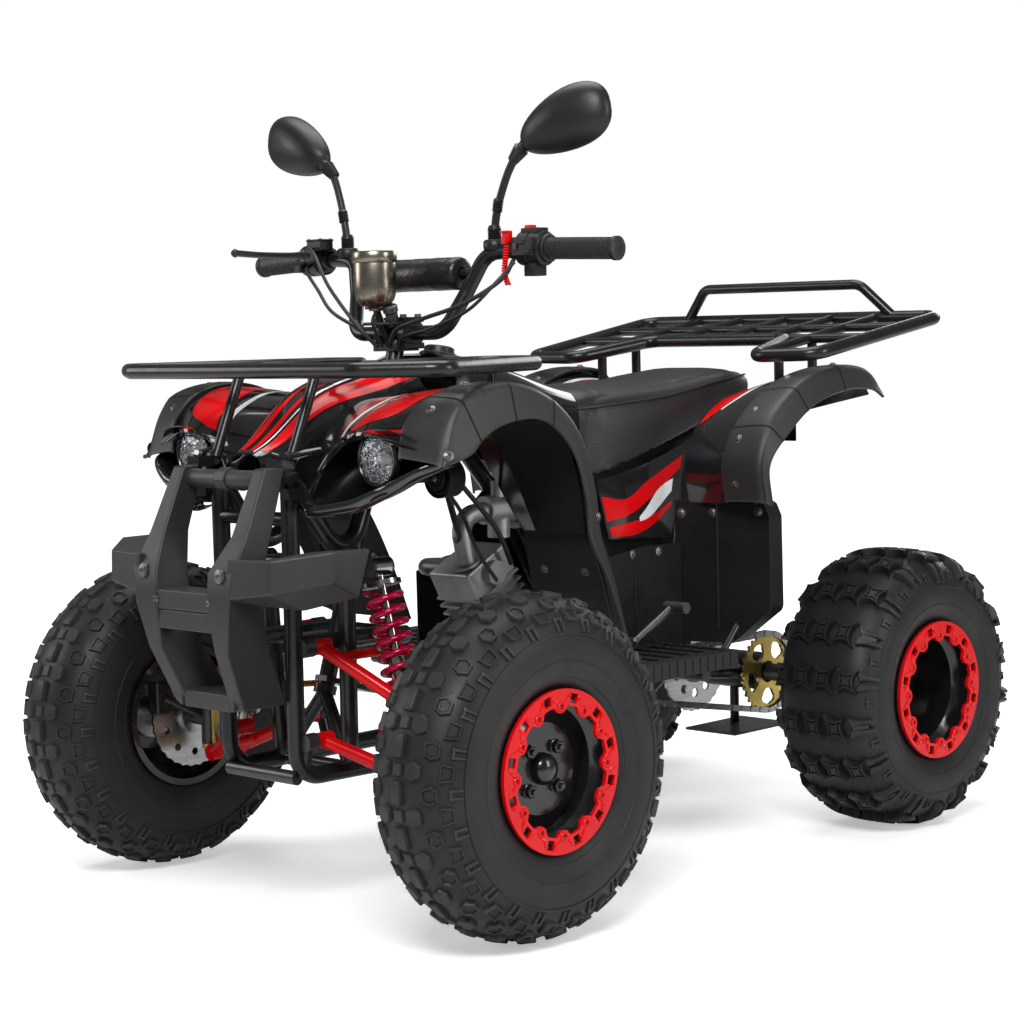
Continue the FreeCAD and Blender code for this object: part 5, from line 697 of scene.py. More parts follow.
def rear_tyre(side):
    """The rear tyre: rows of tall pinched lugs with claws on the shoulders."""
    tread = Tread((REAR_X, REAR_Y, REAR_Z), REAR_HALF)
    build, hairs = Build(), Build()
    tread.carcass(build, [(116, 1.6, 0.8), (146, 1.4, 0.8)])
    rng = random.Random(11)
    pitches = 18
    tall = [(1.05, -2), (1.0, 11.2), (0.95, 12.9), (0.80, 12.9), (0.74, 9.6), (0.56, 9.6), (0.50, 12.4)]
    block = cross_outline(40, 37, 0.44)
    narrow = cross_outline(38, 31, 0.42)
    for pitch in range(pitches):
        base = 360 * pitch / pitches
        odd = pitch % 2
        spots = [(0, block), (-41, block), (41, block)] if odd else \
            [(-20.5, block), (20.5, block), (-60, narrow), (60, narrow)]
        for across, outline in spots:
            tread.lug(build, base, across, outline, tall)
        reach, low = (82, 11.0) if odd else (93, 6.5)
        for edge in (1, -1):
            for turn in (-1, 1):
                claw = [(turn * 3, -15), (turn * 15, -19), (turn * 12, -4), (turn * 10, 17), (turn * 5, 17),
                        (turn * 4, 0)][::turn]
                tread.lug(build, base, edge * reach, sided(claw, edge),
                          [(1.06, -2), (1.0, low - 1.5), (0.92, low), (0.8, low)])
            if odd:
                web = [(-4, -14), (4, -14), (3.4, 8), (-3.4, 8)]
                tread.lug(build, base, edge * reach, sided(web, edge),
                          [(1.05, -2), (1.0, low - 3), (0.9, low - 2)])
        for edge in (1, -1):
            for shift in (-6, 3):
                rib = [(shift - 1.6, -8), (shift + 1.6, -8), (shift + 1.3, 8), (shift - 1.3, 8)]
                tread.lug(build, base + 10, edge * 98, sided(rib, edge), [(1.1, -1), (1, 2.6), (0.8, 3.2)])
            rung = [(-8, -1.4), (6, -1.4), (6, 1.4), (-8, 1.4)]
            tread.lug(build, base + 10, edge * 92, sided(rung, edge), [(1.05, -1), (1, 2.4), (0.85, 3)])
        for edge in (1, -1):
            for where, height in ((20, 12), (42, 12), (62, 11), (84, 8), (100, 1)):
                tread.hair(hairs, rng, base + rng.uniform(-3, 3), edge * (where + rng.uniform(-8, 8)), height - 2,
                           rng.uniform(5, 8))
    place_tyre("rear", side, build, hairs)


def flat_plate(name, outlines, thick, place, made, body, bevel):
    """A flat plate with holes: outlines lie in its own plane, the plate stands on it."""
    curve = bpy.data.curves.new(name, "CURVE")
    curve.dimensions = "2D"
    curve.fill_mode = "BOTH"
    curve.extrude = thick / 2 * MM
    for outline in outlines:
        line = curve.splines.new("POLY")
        line.points.add(len(outline) - 1)
        for point, (x, y) in zip(line.points, outline):
            point.co = (x * MM, y * MM, 0, 1)
        line.use_cyclic_u = True
    mesh = curve_mesh(name, curve)
    mesh.transform(place)
    joined = bmesh.new()
    joined.from_mesh(mesh)
    bmesh.ops.remove_doubles(joined, verts=joined.verts, dist=1e-6)
    bmesh.ops.recalc_face_normals(joined, faces=joined.faces)
    joined.to_mesh(mesh)
    joined.free()
    piece = bpy.data.objects.new(name, mesh)
    bpy.context.scene.collection.objects.link(piece)
    mesh.materials.clear()
    mesh.materials.append(made)
    round_edges(piece, bevel, 2, 30)
    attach(piece, body)
    return piece


def curve_mesh(name, curve):
    """The mesh of a curve, whose holder is taken away again."""
    holder = bpy.data.objects.new(name + "_curve", curve)
    bpy.context.scene.collection.objects.link(holder)
    bpy.context.view_layer.update()
    mesh = bpy.data.meshes.new_from_object(holder.evaluated_get(bpy.context.evaluated_depsgraph_get()))
    bpy.data.objects.remove(holder)
    return mesh


def circle_outline(radius, count, centre=(0, 0)):
    """Points round a circle."""
    return [(centre[0] + radius * math.cos(2 * math.pi * i / count),
             centre[1] + radius * math.sin(2 * math.pi * i / count)) for i in range(count)]


def ring_outlines():
    """The bolted ring: outer circle, an inner edge with twelve lobes, windows and bolt holes."""
    outer = circle_outline(112, 96)
    inner = []
    for step in range(12):
        middle = 2 * math.pi * step / 12
        for offset, radius in ((-11, 89), (-8.5, 88.5), (-6.4, 84.5), (-4.6, 81), (-2.4, 79.6), (0, 79.4),
                               (2.4, 79.6), (4.6, 81), (6.4, 84.5), (8.5, 88.5), (11, 89)):
            angle = middle + math.radians(offset)
            inner.append((radius * math.cos(angle), radius * math.sin(angle)))
    out = [outer, inner[::-1]]
    for step in range(12):
        angle = 2 * math.pi * step / 12
        out.append(circle_outline(2.9, 10, (88 * math.cos(angle), 88 * math.sin(angle)))[::-1])
        angle += math.pi / 12
        ray = Vector((math.cos(angle), math.sin(angle)))
        side = Vector((-ray.y, ray.x))
        window = [ray * (99.5 + a * 6.6) + side * b * 7.6 for a, b in ((-1, -0.8), (-1, 0.8), (1, 1), (1, -1))]
        out.append([tuple(p) for p in window][::-1])
    return out


def facing_x(centre, side):
    """The matrix that lays a drawn plate across the axle, its face to the outside."""
    return Matrix.Translation(Vector(centre) * MM) @ Matrix(((0, 0, side, 0), (side, 0, 0, 0), (0, 1, 0, 0),
                                                           (0, 0, 0, 1)))


def wheel_dress(side, end):
    """The ring, its bolts and ribs, the wheel nuts and the cap of one wheel."""
    front = end == "front"
    x, y, z = (FRONT_X, FRONT_Y, FRONT_Z) if front else (REAR_X, REAR_Y, REAR_Z)
    half, dish = (67, 33) if front else (86.5, 92)
    body = wheel_body(end, side)
    face = x + half + 0.3
    ring = flat_plate(end + "_ring_skin_" + label(side), ring_outlines(), 5.6,
                      facing_x((side * (face + 3.0), y, z), side), RED_GLOSS, body, 0.9)
    ribs, bolts, dark = Build(), Build(), Build()
    base, lift, wide = Vector((face + 5.6, y, z)), Vector((1.5, 0, 0)), 2.2
    for step in range(12):
        angle = 2 * math.pi * step / 12
        for way in (-1, 1):
            a, b = angle + way * math.radians(11), angle + way * math.radians(4.5)
            low = Vector((0, -105 * math.sin(a), 105 * math.cos(a)))
            high = Vector((0, -93 * math.sin(b), 93 * math.cos(b)))
            across = (high - low).normalized().cross(Vector(ALONG_X)) * wide
            quad = [base + low - across, base + low + across, base + high + across, base + high - across]
            ribs.loft([quad, [p + lift + (base + (low + high) / 2 - p) * 0.22 for p in quad]])
        at = (face + 1, y - 88 * math.sin(angle), z + 88 * math.cos(angle))
        ribs.turn([(0, 0.1), (0, 7.2), (5.4, 7.2), (6.6, 6.2), (6.6, 4.2), (4.6, 3.4)], at, ALONG_X, 16)
        bolts.turn([(0, 3.0), (2.6, 2.8), (3.8, 1.5), (3.5, 0.1)], at, ALONG_X, 6)
    plate_x = x + half - dish
    for step in range(4):
        angle = 2 * math.pi * (step + 0.5) / 4
        at = (plate_x, y + 38 * math.sin(angle), z + 38 * math.cos(angle))
        dark.turn([(0, 10.4), (1.5, 10.4), (2, 9.0)], at, ALONG_X, 20)
        dark.turn([(1.5, 9.3), (9, 9.3), (10.5, 7.6), (10.5, 5.0), (14, 4.8), (14.6, 4.0), (14.6, 0.1)], at,
                  ALONG_X, 6)
    dark.turn([(0, 22.5), (8, 21.5), (13, 19), (17.4, 13), (19.2, 6), (19.6, 0.1)] if front else
              [(0, 22), (9, 21.5), (14, 18), (15, 12), (26, 11.5), (27, 9), (27, 0.1)],
              (plate_x, y, z), ALONG_X, 40)
    for kind, build, made, slot, smooth in (("_ring_ribs_", ribs, RED_GLOSS, "red_metal", 40),
                                            ("_ring_bolts_", bolts, DARK_STEEL, "dark_steel", 25),
                                            ("_wheel_nuts_", dark, RIM_BLACK, "rim_black_metal", 30)):
        add_piece(end + kind + label(side), build.flip(side), made, slot, body=body, smooth=smooth)
    return ring


def wheels():
    """All four wheels."""
    for side in SIDES:
        front_tyre(side)
        rear_tyre(side)
        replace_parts(wheel_dress(side, "front"), "front_ring_" + label(side))
    rings = [wheel_dress(side, "rear") for side in SIDES]
    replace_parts(rings[0], "rear_rings")


# Front bodywork

ARCH_Y, ARCH_Z, ARCH_R = -376.6, 500.0, 263.0
REAR_ARCH_Y, REAR_ARCH_Z, REAR_ARCH_R = 425.4, 420.0, 340.0
FRONT_FLARE = [
    (44, 0.746, 0.856, 0.810, 0.791), (36, 0.752, 0.958, 0.882, 0.741), (29, 0.761, 0.996, 0.951, 0.722),
    (22, 0.770, 1.011, 1.0, 0.749), (12, 0.782, 1.004, 1.0, 0.772), (0, 0.791, 0.989, 0.989, 0.787),
    (-12, 0.80, 0.962, 0.962, 0.798), (-24, 0.812, 0.924, 0.924, 0.768), (-38, 0.836, 0.856, 0.856, 0.703),
    (-58, 0.884, 0.741, 0.741, 0.601), (-78, 0.896, 0.681, 0.681, 0.540), (-100, 0.896, 0.779, 0.779, 0.665),
    (-119, 0.896, 0.989, 0.989, 0.897),
]
REAR_FLARE = [
    (62, 0.73, 0.824, 0.832, 0.79), (52, 0.73, 0.946, 0.955, 0.90), (40, 0.74, 1.0, 1.02, 0.90),
    (24, 0.76, 1.015, 1.03, 0.90), (8, 0.78, 1.005, 1.01, 0.89), (-5, 0.79, 0.985, 0.985, 0.883),
    (-12, 0.79, 0.90, 0.90, 0.855),
]
FRONT_FENDER = [
    (41, (0.24, 0.82), (0.45, 0.905), (0.66, 0.975), (0.83, 0.876), (1.0, 0.835)),
    (34, (0.22, 0.86), (0.45, 0.94), (0.66, 0.985), (0.83, 0.952), (1.0, 0.903)),
    (24, (0.22, 0.90), (0.45, 0.945), (0.66, 0.975), (0.83, 0.988), (1.0, 0.972)),
    (10, (0.22, 0.92), (0.45, 0.94), (0.66, 0.965), (0.83, 0.983), (1.0, 0.979)),
    (-10, (0.26, 0.90), (0.48, 0.92), (0.66, 0.935), (0.83, 0.948), (1.0, 0.946)),
    (-24, (0.32, 0.87), (0.52, 0.88), (0.68, 0.895), (0.84, 0.905), (1.0, 0.904)),
    (-38, (0.38, 0.80), (0.55, 0.81), (0.70, 0.825), (0.85, 0.836), (1.0, 0.835)),
    (-58, (0.46, 0.70), (0.60, 0.71), (0.73, 0.715), (0.86, 0.721), (1.0, 0.720)),
    (-78, (0.58, 0.645), (0.68, 0.65), (0.79, 0.652), (0.90, 0.66), (1.0, 0.66)),
]
REAR_FENDER = [
    (62, (0.54, 0.798), (0.74, 0.803), (1.0, 0.808)), (52, (0.54, 0.92), (0.74, 0.93), (1.0, 0.933)),
    (40, (0.52, 0.96), (0.72, 0.98), (1.0, 1.002)),
    (24, (0.48, 0.93), (0.72, 0.985), (1.0, 1.0165)), (8, (0.45, 0.86), (0.70, 0.94), (1.0, 0.9965)),
    (-5, (0.45, 0.80), (0.70, 0.89), (1.0, 0.9665)), (-12, (0.45, 0.77), (0.70, 0.82), (1.0, 0.8765)),
]


def over_front(x, radius, angle):
    """A point over the front wheel."""
    turn = math.radians(angle)
    return (x, ARCH_Y - radius * math.sin(turn), ARCH_Z + radius * math.cos(turn))


def over_rear(x, radius, angle):
    """A point over the rear wheel."""
    turn = math.radians(angle)
    return (x, REAR_ARCH_Y - radius * math.sin(turn), REAR_ARCH_Z + radius * math.cos(turn))


def flare_patch(table, place, outer_x, arch_r, inside):
    """The smooth outer surface of a flare: top, rounded ridge, outer face and rolled lip."""
    rows = []
    for angle, inner_x, inner_r, ridge_r, edge_r in table:
        ix, ir = inner_x * outer_x, inner_r * arch_r
        rx, rr = outer_x * 0.962, ridge_r * arch_r
        ex, er = outer_x, edge_r * arch_r
        line = [(ix, ir - 5), (ix + 3, ir), (ix * 0.45 + rx * 0.55, ir * 0.45 + rr * 0.55 + 1.2),
                (ix * 0.1 + rx * 0.9, ir * 0.1 + rr * 0.9 + 0.3), (rx + 2.5, rr - 4.5),
                (rx * 0.75 + ex * 0.25 + 2.5, rr * 0.75 + er * 0.25),
                (rx * 0.3 + ex * 0.7 + 1.5, rr * 0.3 + er * 0.7),
                (ex, er + 3), (ex - 3.5, er)]
        rows.append([place(x, r, angle) for x, r in line])
    return Patch(rows, inside)


def seam(build, patch, u, low, high, width=2.4, lift=0.45):
    """A dark joint line across a patch."""
    left, right = [], []
    for share in np.linspace(0, 1, 22):
        v = low + (high - low) * share
        at, up = patch.at(u, v), patch.normal(u, v)
        ahead = patch.at(min(1, u + 0.004), v) - at
        side = ahead / (np.linalg.norm(ahead) + 1e-9)
        left.append(at + up * lift - side * width / 2)
        right.append(at + up * lift + side * width / 2)
    build.loft([left, right] if patch.sign > 0 else [right, left], False)


def screw(build, at, normal, radius=5.5):
    """A pan-head screw in a dished washer."""
    build.turn([(-1, radius * 1.7), (0.6, radius * 1.65), (1.0, radius * 1.2), (1.4, radius), (2.8, radius * 0.9),
                (3.6, radius * 0.6), (3.6, radius * 0.42), (2.2, radius * 0.36), (2.2, 0.05)], at, normal, 22)


def front_body():
    """The glossy nose: hood, fender tops, lamp pockets with their lips."""
    skin, pocket, trim = Build(), Build(), Build()
    fender = fender_patch(FRONT_FENDER, over_front, FENDER_X, ARCH_R, (150, ARCH_Y, ARCH_Z))
    fender.shell(skin, 80, 44, 3)
    lamp_pocket(pocket, trim)
    brow(skin, fender)
    nose_steps(trim)
    skin.both()
    pocket.both()
    trim.both()
    hood = hood_patch()
    hood.shell(skin, 60, 49, 3)
    add_piece("front_body_skin", skin, GLOSS, "gloss_black_plastic", replaces="front_body", smooth=50)
    add_piece("front_body_trim", trim, GLOSS, "gloss_black_plastic", smooth=40, bevel=1.2)
    # The lamp pockets are coloured darker than the nose as painted shade.
    add_piece("lamp_pockets", pocket, POCKET_SHADE, "gloss_black_plastic", smooth=50)
    front_stripes(fender, hood)


def fender_patch(table, place, outer_x, arch_r, inside):
    """The smooth glossy top over a wheel."""
    return Patch([[place(x * outer_x, r * arch_r, row[0]) for x, r in row[1:]] for row in table], inside)


HOOD_EDGE = [(1.0, 1.0), (0.985, 0.62), (0.93, 0.30), (0.74, 0.12), (0.50, 0.055), (0.42, -0.005), (0.2, -0.012)]


def hood_patch():
    """The centre hood with its raised spine and creased shoulders."""
    table = [(0.0, 0.36, 0.845, 0.05), (0.13, 0.50, 0.872, 0.10), (0.41, 0.70, 0.945, 0.15),
             (0.75, 0.92, 0.982, 0.19), (1.0, 1.0, 1.0, 0.20)]
    rows = []
    for along, width, top, drop in table:
        y = -596.6 + along * 270
        half = width * 100
        line = [(out * half, y, 790 * (top - down * drop)) for out, down in HOOD_EDGE]
        rows.append(line + [(0, y, 790 * (top + 0.012 * drop))] + [(-x, y, z) for x, y, z in line[::-1]])
    return Patch(rows, (0, -460, 560))


LIP = [(112, -582, 592), (130, -589, 588), (190, -568, 597), (220, -550, 611), (250, -546, 622), (290, -530, 643),
       (313, -499, 655)]
BROW = [(109, -574, 606), (109, -552, 640), (120, -535, 672), (160, -537, 689), (215, -545, 700), (258, -542, 694),
        (300, -520, 670)]


def lamp_pocket(pocket, trim):
    """The deep socket round the left headlamp, with the thick lip below and the brow above it."""
    rows = []
    for low, high in zip(LIP, BROW):
        low, high = np.array(low, float), np.array(high, float)
        middle = (low + high) / 2
        size = np.linalg.norm(high - low)
        back = np.array([0, min(70, size * 0.75), 0])
        rows.append([low + (0, 4, 6), low * 0.86 + high * 0.14 + back * 0.75, middle + back,
                     low * 0.16 + high * 0.84 + back * 0.85, high + (0, 6, -1)])
    patch = Patch(rows, (200, -600, 640))
    patch.sign = -patch.sign
    patch.shell(pocket, 40, 20, 2)
    rows = []
    for (x, y, z), size in zip(LIP, (0.5, 0.8, 1.0, 1.0, 0.95, 0.8, 0.5)):
        rows.append([(x, y + 12, z + 8 * size), (x, y - 1, z + 9 * size), (x, y - 7 * size, z + 4 * size),
                     (x, y - 5 * size, z - 7 * size), (x, y + 4, z - 11 * size), (x, y + 16, z - 9 * size)])
    Patch(rows, (200, -500, 560)).shell(trim, 60, 20, 2)


def brow(skin, fender):
    """The rolled edge between a fender's front and its lamp pocket."""
    rows = []
    for step, low in enumerate(BROW):
        share = step / (len(BROW) - 1)
        top = fender.at(0.002, 0.10 + 0.88 * share)
        low = np.array(low, float) * 0.5 + top * 0.5
        out = np.array([0, -7.0, 3.0]) * math.sin(math.pi * min(1, share * 0.9 + 0.08))
        rows.append([top, top * 0.62 + low * 0.38 + out, top * 0.18 + low * 0.82 + out * 0.9, low + (0, 1, -1.5)])
    Patch(rows, (200, -440, 600)).shell(skin, 50, 18, 2.5)


def wheel_houses():
    """Plain dark sheets under the front fenders: painted shade in the wheel houses."""
    build = Build()
    rows = [[over_front(x * FENDER_X, r * ARCH_R - 5.5, row[0]) for x, r in row[2:]] for row in FRONT_FENDER[2:]]
    Patch(rows, (150, ARCH_Y, ARCH_Z)).shell(build, 60, 20, 1)
    add_piece("wheel_house_shade", build.both(), JOINT_AND_SHADE_BLACK, "gloss_black_plastic", smooth=60)


def nose_steps(trim):
    """The stepped glossy blocks between the nose and the lamp pocket."""
    for centre, size in (((88, -606, 655), (26, 30, 15)), ((92, -600, 636), (24, 26, 13)),
                         ((96, -592, 612), (26, 24, 16))):
        trim.box(centre, size)
    trim.tube([(84, -617, 668), (96, -606, 664), (106, -580, 668), (112, -552, 672)], [4, 5, 5, 4], 10)


def stripe(patch, name, spine, made):
    """A painted stripe laid on a patch, on both sides."""
    build = Build()
    patch.ribbon(build, spine)
    add_piece(name, build.both(), made, "gloss_black_plastic", smooth=60)


def front_stripes(fender, hood):
    """Plain red and white stripes over the nose and fenders."""
    for patch, name, made, spine in (
            (fender, "fender_stripe_red", RED_GLOSS,
             [(0.06, 0.30, 0.36), (0.16, 0.34, 0.62), (0.30, 0.40, 0.74), (0.46, 0.52, 0.78), (0.62, 0.68, 0.80)]),
            (fender, "fender_stripe_white", WHITE,
             [(0.05, 0.22, 0.24), (0.18, 0.25, 0.29), (0.36, 0.30, 0.34), (0.56, 0.44, 0.47), (0.74, 0.62, 0.63)]),
            (fender, "fender_stripe_low", RED_GLOSS,
             [(0.02, 0.44, 0.56), (0.05, 0.56, 0.66), (0.08, 0.68, 0.74), (0.10, 0.76, 0.80)]),
            (hood, "hood_stripe_red", RED_GLOSS,
             [(0.10, 0.22, 0.27), (0.35, 0.20, 0.30), (0.65, 0.19, 0.31), (0.95, 0.20, 0.28)]),
            (hood, "hood_stripe_white", WHITE,
             [(0.02, 0.33, 0.35), (0.35, 0.335, 0.355), (0.70, 0.335, 0.352), (0.97, 0.33, 0.345)]),
            (hood, "hood_stripe_inner", RED_GLOSS,
             [(0.04, 0.38, 0.44), (0.2, 0.385, 0.455), (0.42, 0.40, 0.45), (0.60, 0.42, 0.43)])):
        stripe(patch, name, spine, made)


def flares():
    """All four grained flares with joint lines and screws, and the front ones' liners."""
    for side in SIDES:
        front = flare_patch(FRONT_FLARE, over_front, FRONT_FLARE_X, ARCH_R, (250, ARCH_Y, ARCH_Z))
        skin, dark, metal, liner = Build(), Build(), Build(), Build()
        front.shell(skin, 110, 40, 3.4)
        for u in (0.235, 0.40, 0.545):
            seam(dark, front, u, 0.10, 0.97, 2.6)
        seam(dark, front, 0.315, 0.10, 0.6, 1.0, 0.3)
        screws_on(metal, front, ((0.17, 0.22), (0.335, 0.2), (0.045, 0.66), (0.80, 0.62)))
        rows = [[over_front(x * FRONT_FLARE_X, radius * ARCH_R, angle) for x in (low, (low + 0.9) / 2, 0.9)]
                for angle, low, radius in ((-60, 0.62, 0.735), (-78, 0.50, 0.681), (-100, 0.46, 0.779),
                                           (-119, 0.42, 0.989))]
        inner = Patch(rows, (250, ARCH_Y, ARCH_Z))
        inner.shell(liner, 40, 12, 3)
        for u, v in ((0.62, 0.22), (0.62, 0.78)):
            screw(metal, inner.at(u, v) - inner.normal(u, v) * 3, -inner.normal(u, v), 4.2)
        for u in (0.40, 0.72):
            seam(liner, inner, u, 0.03, 0.97, 3.0, -3.4)
        flare_pieces("front", side, skin, dark, metal)
        add_piece("front_liner_" + label(side), liner.flip(side), LINER, "matt_grey_plastic", smooth=50)
        rear_flare(side)


def screws_on(build, patch, spots):
    """Screws that stand on a patch."""
    for u, v in spots:
        screw(build, patch.at(u, v), patch.normal(u, v), 4.6)


def flare_pieces(end, side, skin, dark, metal):
    """The three pieces of one flare."""
    name = label(side)
    add_piece(end + "_flare_skin_" + name, skin.flip(side), GREY, "matt_grey_plastic",
              replaces=end + "_flare_" + name, smooth=60)
    add_piece(end + "_flare_seams_" + name, dark.flip(side), JOINT_AND_SHADE_BLACK, "matt_grey_plastic")
    add_piece(end + "_flare_screws_" + name, metal.flip(side), SCREW, "dark_steel", smooth=30)


def rear_flare(side):
    """One rear flare."""
    rear = flare_patch(REAR_FLARE, over_rear, REAR_FLARE_X, REAR_ARCH_R, (250, REAR_ARCH_Y, REAR_ARCH_Z))
    skin, dark, metal = Build(), Build(), Build()
    rear.shell(skin, 80, 40, 3.4)
    for u in (0.30, 0.46, 0.66):
        seam(dark, rear, u, 0.08, 0.97, 2.6)
    screws_on(metal, rear, [(u, 0.2) for u in (0.07, 0.25, 0.37, 0.53, 0.74)])
    flare_pieces("rear", side, skin, dark, metal)


def rear_body():
    """The glossy rear fenders and tail."""
    skin = Build()
    fender = fender_patch(REAR_FENDER, over_rear, FENDER_X, REAR_ARCH_R, (200, REAR_ARCH_Y, REAR_ARCH_Z))
    fender.shell(skin, 70, 36, 3)
    add_piece("rear_body_skin", skin.both(), GLOSS, "gloss_black_plastic", replaces="rear_body", smooth=50)
    tail = Build()
    tail.box((0, 468.4, 686), (292, 46, 4))
    tail.box((0, 489.4, 658), (292, 4, 56))
    for x in (-120, -60, 0, 60, 120):
        tail.box((x, 468.4, 680), (4, 44, 8))
    add_piece("rear_tail_skin", tail, GLOSS, "gloss_black_plastic", bevel=1.5)
    stripe(fender, "rear_stripe_red", [(0.34, 0.05, 0.08), (0.44, 0.05, 0.34), (0.58, 0.06, 0.50),
                                       (0.72, 0.06, 0.48)], RED_GLOSS)
    stripe(fender, "rear_stripe_white", [(0.40, 0.27, 0.31), (0.48, 0.43, 0.50), (0.60, 0.54, 0.62),
                                         (0.72, 0.53, 0.60)], WHITE)
    lamp = Build()
    lamp.box((0, 505, 658), (146, 24, 38))
    add_piece("tail_lamp_lens", lamp, RED_LENS, "red_lens", replaces="tail_lamp", bevel=5, segments=4)


def side_parts():
    """Side panels, lower covers and heel guards."""
    panel = Build()
    rows = [[(118, 13.4 + a * 228, 488 + b * 158) for a, b in pairs] for pairs in (
        ((0.12, 0.06), (0.08, 0.26), (0.04, 0.46), (0.0, 0.66)),
        ((0.36, 0.04), (0.32, 0.28), (0.29, 0.50), (0.26, 0.72)),
        ((0.58, 0.02), (0.56, 0.28), (0.54, 0.54), (0.52, 0.79)),
        ((0.78, 0.0), (0.84, 0.32), (0.92, 0.66), (1.0, 0.98)))]
    for row in rows[1:3]:
        for j, bulge in enumerate((1.75, 5.25, 5.25, 1.75)):
            row[j] = (row[j][0] + bulge, *row[j][1:])
    patch = Patch(rows, (60, 120, 560))
    patch.shell(panel, 40, 30, 3)
    add_piece("side_panel_skin", panel.both(), GLOSS, "gloss_black_plastic", replaces="side_panels", smooth=50)
    for name, made, spine in (
            ("side_stripe_red_0", RED_GLOSS, [(0.02, 0.30, 0.72), (0.30, 0.34, 0.60), (0.62, 0.52, 0.76),
                                              (0.96, 0.74, 0.88)]),
            ("side_stripe_red_1", RED_GLOSS, [(0.04, 0.04, 0.20), (0.34, 0.05, 0.24), (0.62, 0.16, 0.30),
                                              (0.92, 0.36, 0.42)]),
            ("side_stripe_white", WHITE, [(0.46, 0.24, 0.30), (0.60, 0.28, 0.44), (0.76, 0.40, 0.62),
                                          (0.90, 0.52, 0.66)])):
        stripe(patch, name, spine, made)
    cover = Build()
    outline = [(0, 0), (0, 0.8), (0.21, 0.9), (0.70, 1), (1, 1), (1, 0)]
    cover.prism([(150, -124.6 + a * 298, 304 + b * 180) for a, b in outline], (4, 0, 0))
    for y in (-30, 60):
        cover.box((154.5, y, 392), (2.4, 5, 150))
    add_piece("lower_cover_skin", cover.both(), LINER, "matt_grey_plastic", replaces="lower_covers", bevel=1.5)
    # A near-black sheet set back behind the gaps round the side panels: painted shade for the dark gaps.
    gap_shade = Build()
    gap_shade.prism([(96, -70, 420), (96, -40, 560), (96, 60, 640), (96, 300, 640), (96, 300, 500), (96, 200, 420)],
                  (3, 0, 0))
    add_piece("panel_gap_shade", gap_shade.both(), JOINT_AND_SHADE_BLACK, "matt_grey_plastic")
    studs = Build()
    for y, z in ((-12, 462), (56, 474), (118, 474)):
        screw(studs, (154.2, y, z), ALONG_X, 4.4)
    add_piece("cover_screws", studs.both(), SCREW, "dark_steel", smooth=30)
    heel_guards()


HEEL = [(0.0, 0.0), (0.0, 1.035), (0.715, 1.035), (0.76, 1.01), (0.80, 0.92), (0.805, 0.27), (0.79, 0.235),
        (0.52, 0.03), (0.46, 0.0)]


def heel_at(along, deeper, z):
    """A point on the heel guard's slanted face by its share across."""
    return (HEEL_X + along * HEEL_WIDE, HEEL_Y + along * 62 + deeper, z)


def heel_guards():
    """The tall boxed panels ahead of the rear wheels."""
    build, metal = Build(), Build()
    face = [heel_at(a, 0, 322 + b * 222) for a, b in HEEL]
    build.prism(face, (0, 4, 0))
    rim = face[2:]
    rows = [rim, [(x + (2 if x > 260 else 0), y + 30, z) for x, y, z in rim]]
    inner = [[(x - 4 * (x > 200), y, z + (4 if z < 400 else -4)) for x, y, z in row] for row in rows]
    for step in range(len(rim) - 1):
        build.loft([[two[0][step], two[0][step + 1], two[1][step + 1], two[1][step]] for two in (rows, inner)])
    build.tube([heel_at(0.36, -0.5, z) for z in (548, 345)], 2.2, 8, steps=1)
    for a, z in ((0.06, 530), (0.33, 532), (0.71, 534)):
        screw(metal, heel_at(a, -0.4, z), (0.3, -1, 0), 4.6)
    add_piece("heel_guard_skin", build.both(), LINER, "matt_grey_plastic", replaces="heel_guards", bevel=2.5,
              segments=3)
    add_piece("heel_guard_screws", metal.both(), SCREW, "dark_steel", smooth=30)


# Guard, seat and tank

LEGS = [(1.0, 0.31, 0.50, 0.085, 0.24), (0.74, 0.315, 0.22, 0.115, 0.30), (0.60, 0.29, 0.02, 0.19, 0.38),
        (0.46, 0.275, 0.0, 0.165, 0.40), (0.28, 0.255, 0.06, 0.10, 0.50), (0.04, 0.21, 0.30, 0.10, 0.52)]
WINGS = [(0.34, (0.03, 0.66), (0.0, 0.50), (0.42, 0.46), (0.50, 0.64)),
         (0.61, (0.10, 0.66), (0.09, 0.53), (0.50, 0.45), (0.62, 0.68)),
         (0.81, (0.52, 0.69), (0.51, 0.57), (0.82, 0.50), (0.98, 0.69))]
CROSSES = [(0.44, 0.52, 0.02, 0.34, 0.25), (0.03, 0.10, 0.27, 0.75, 0.18), (0.36, 0.40, 0.05, 0.30, 0.22)]


def guard_point(x, depth, height):
    """A point of the front guard by shares of its size."""
    return (x * GUARD_HALF, GUARD_FRONT + depth * GUARD_DEPTH, GUARD_LOW + height * GUARD_HEIGHT)


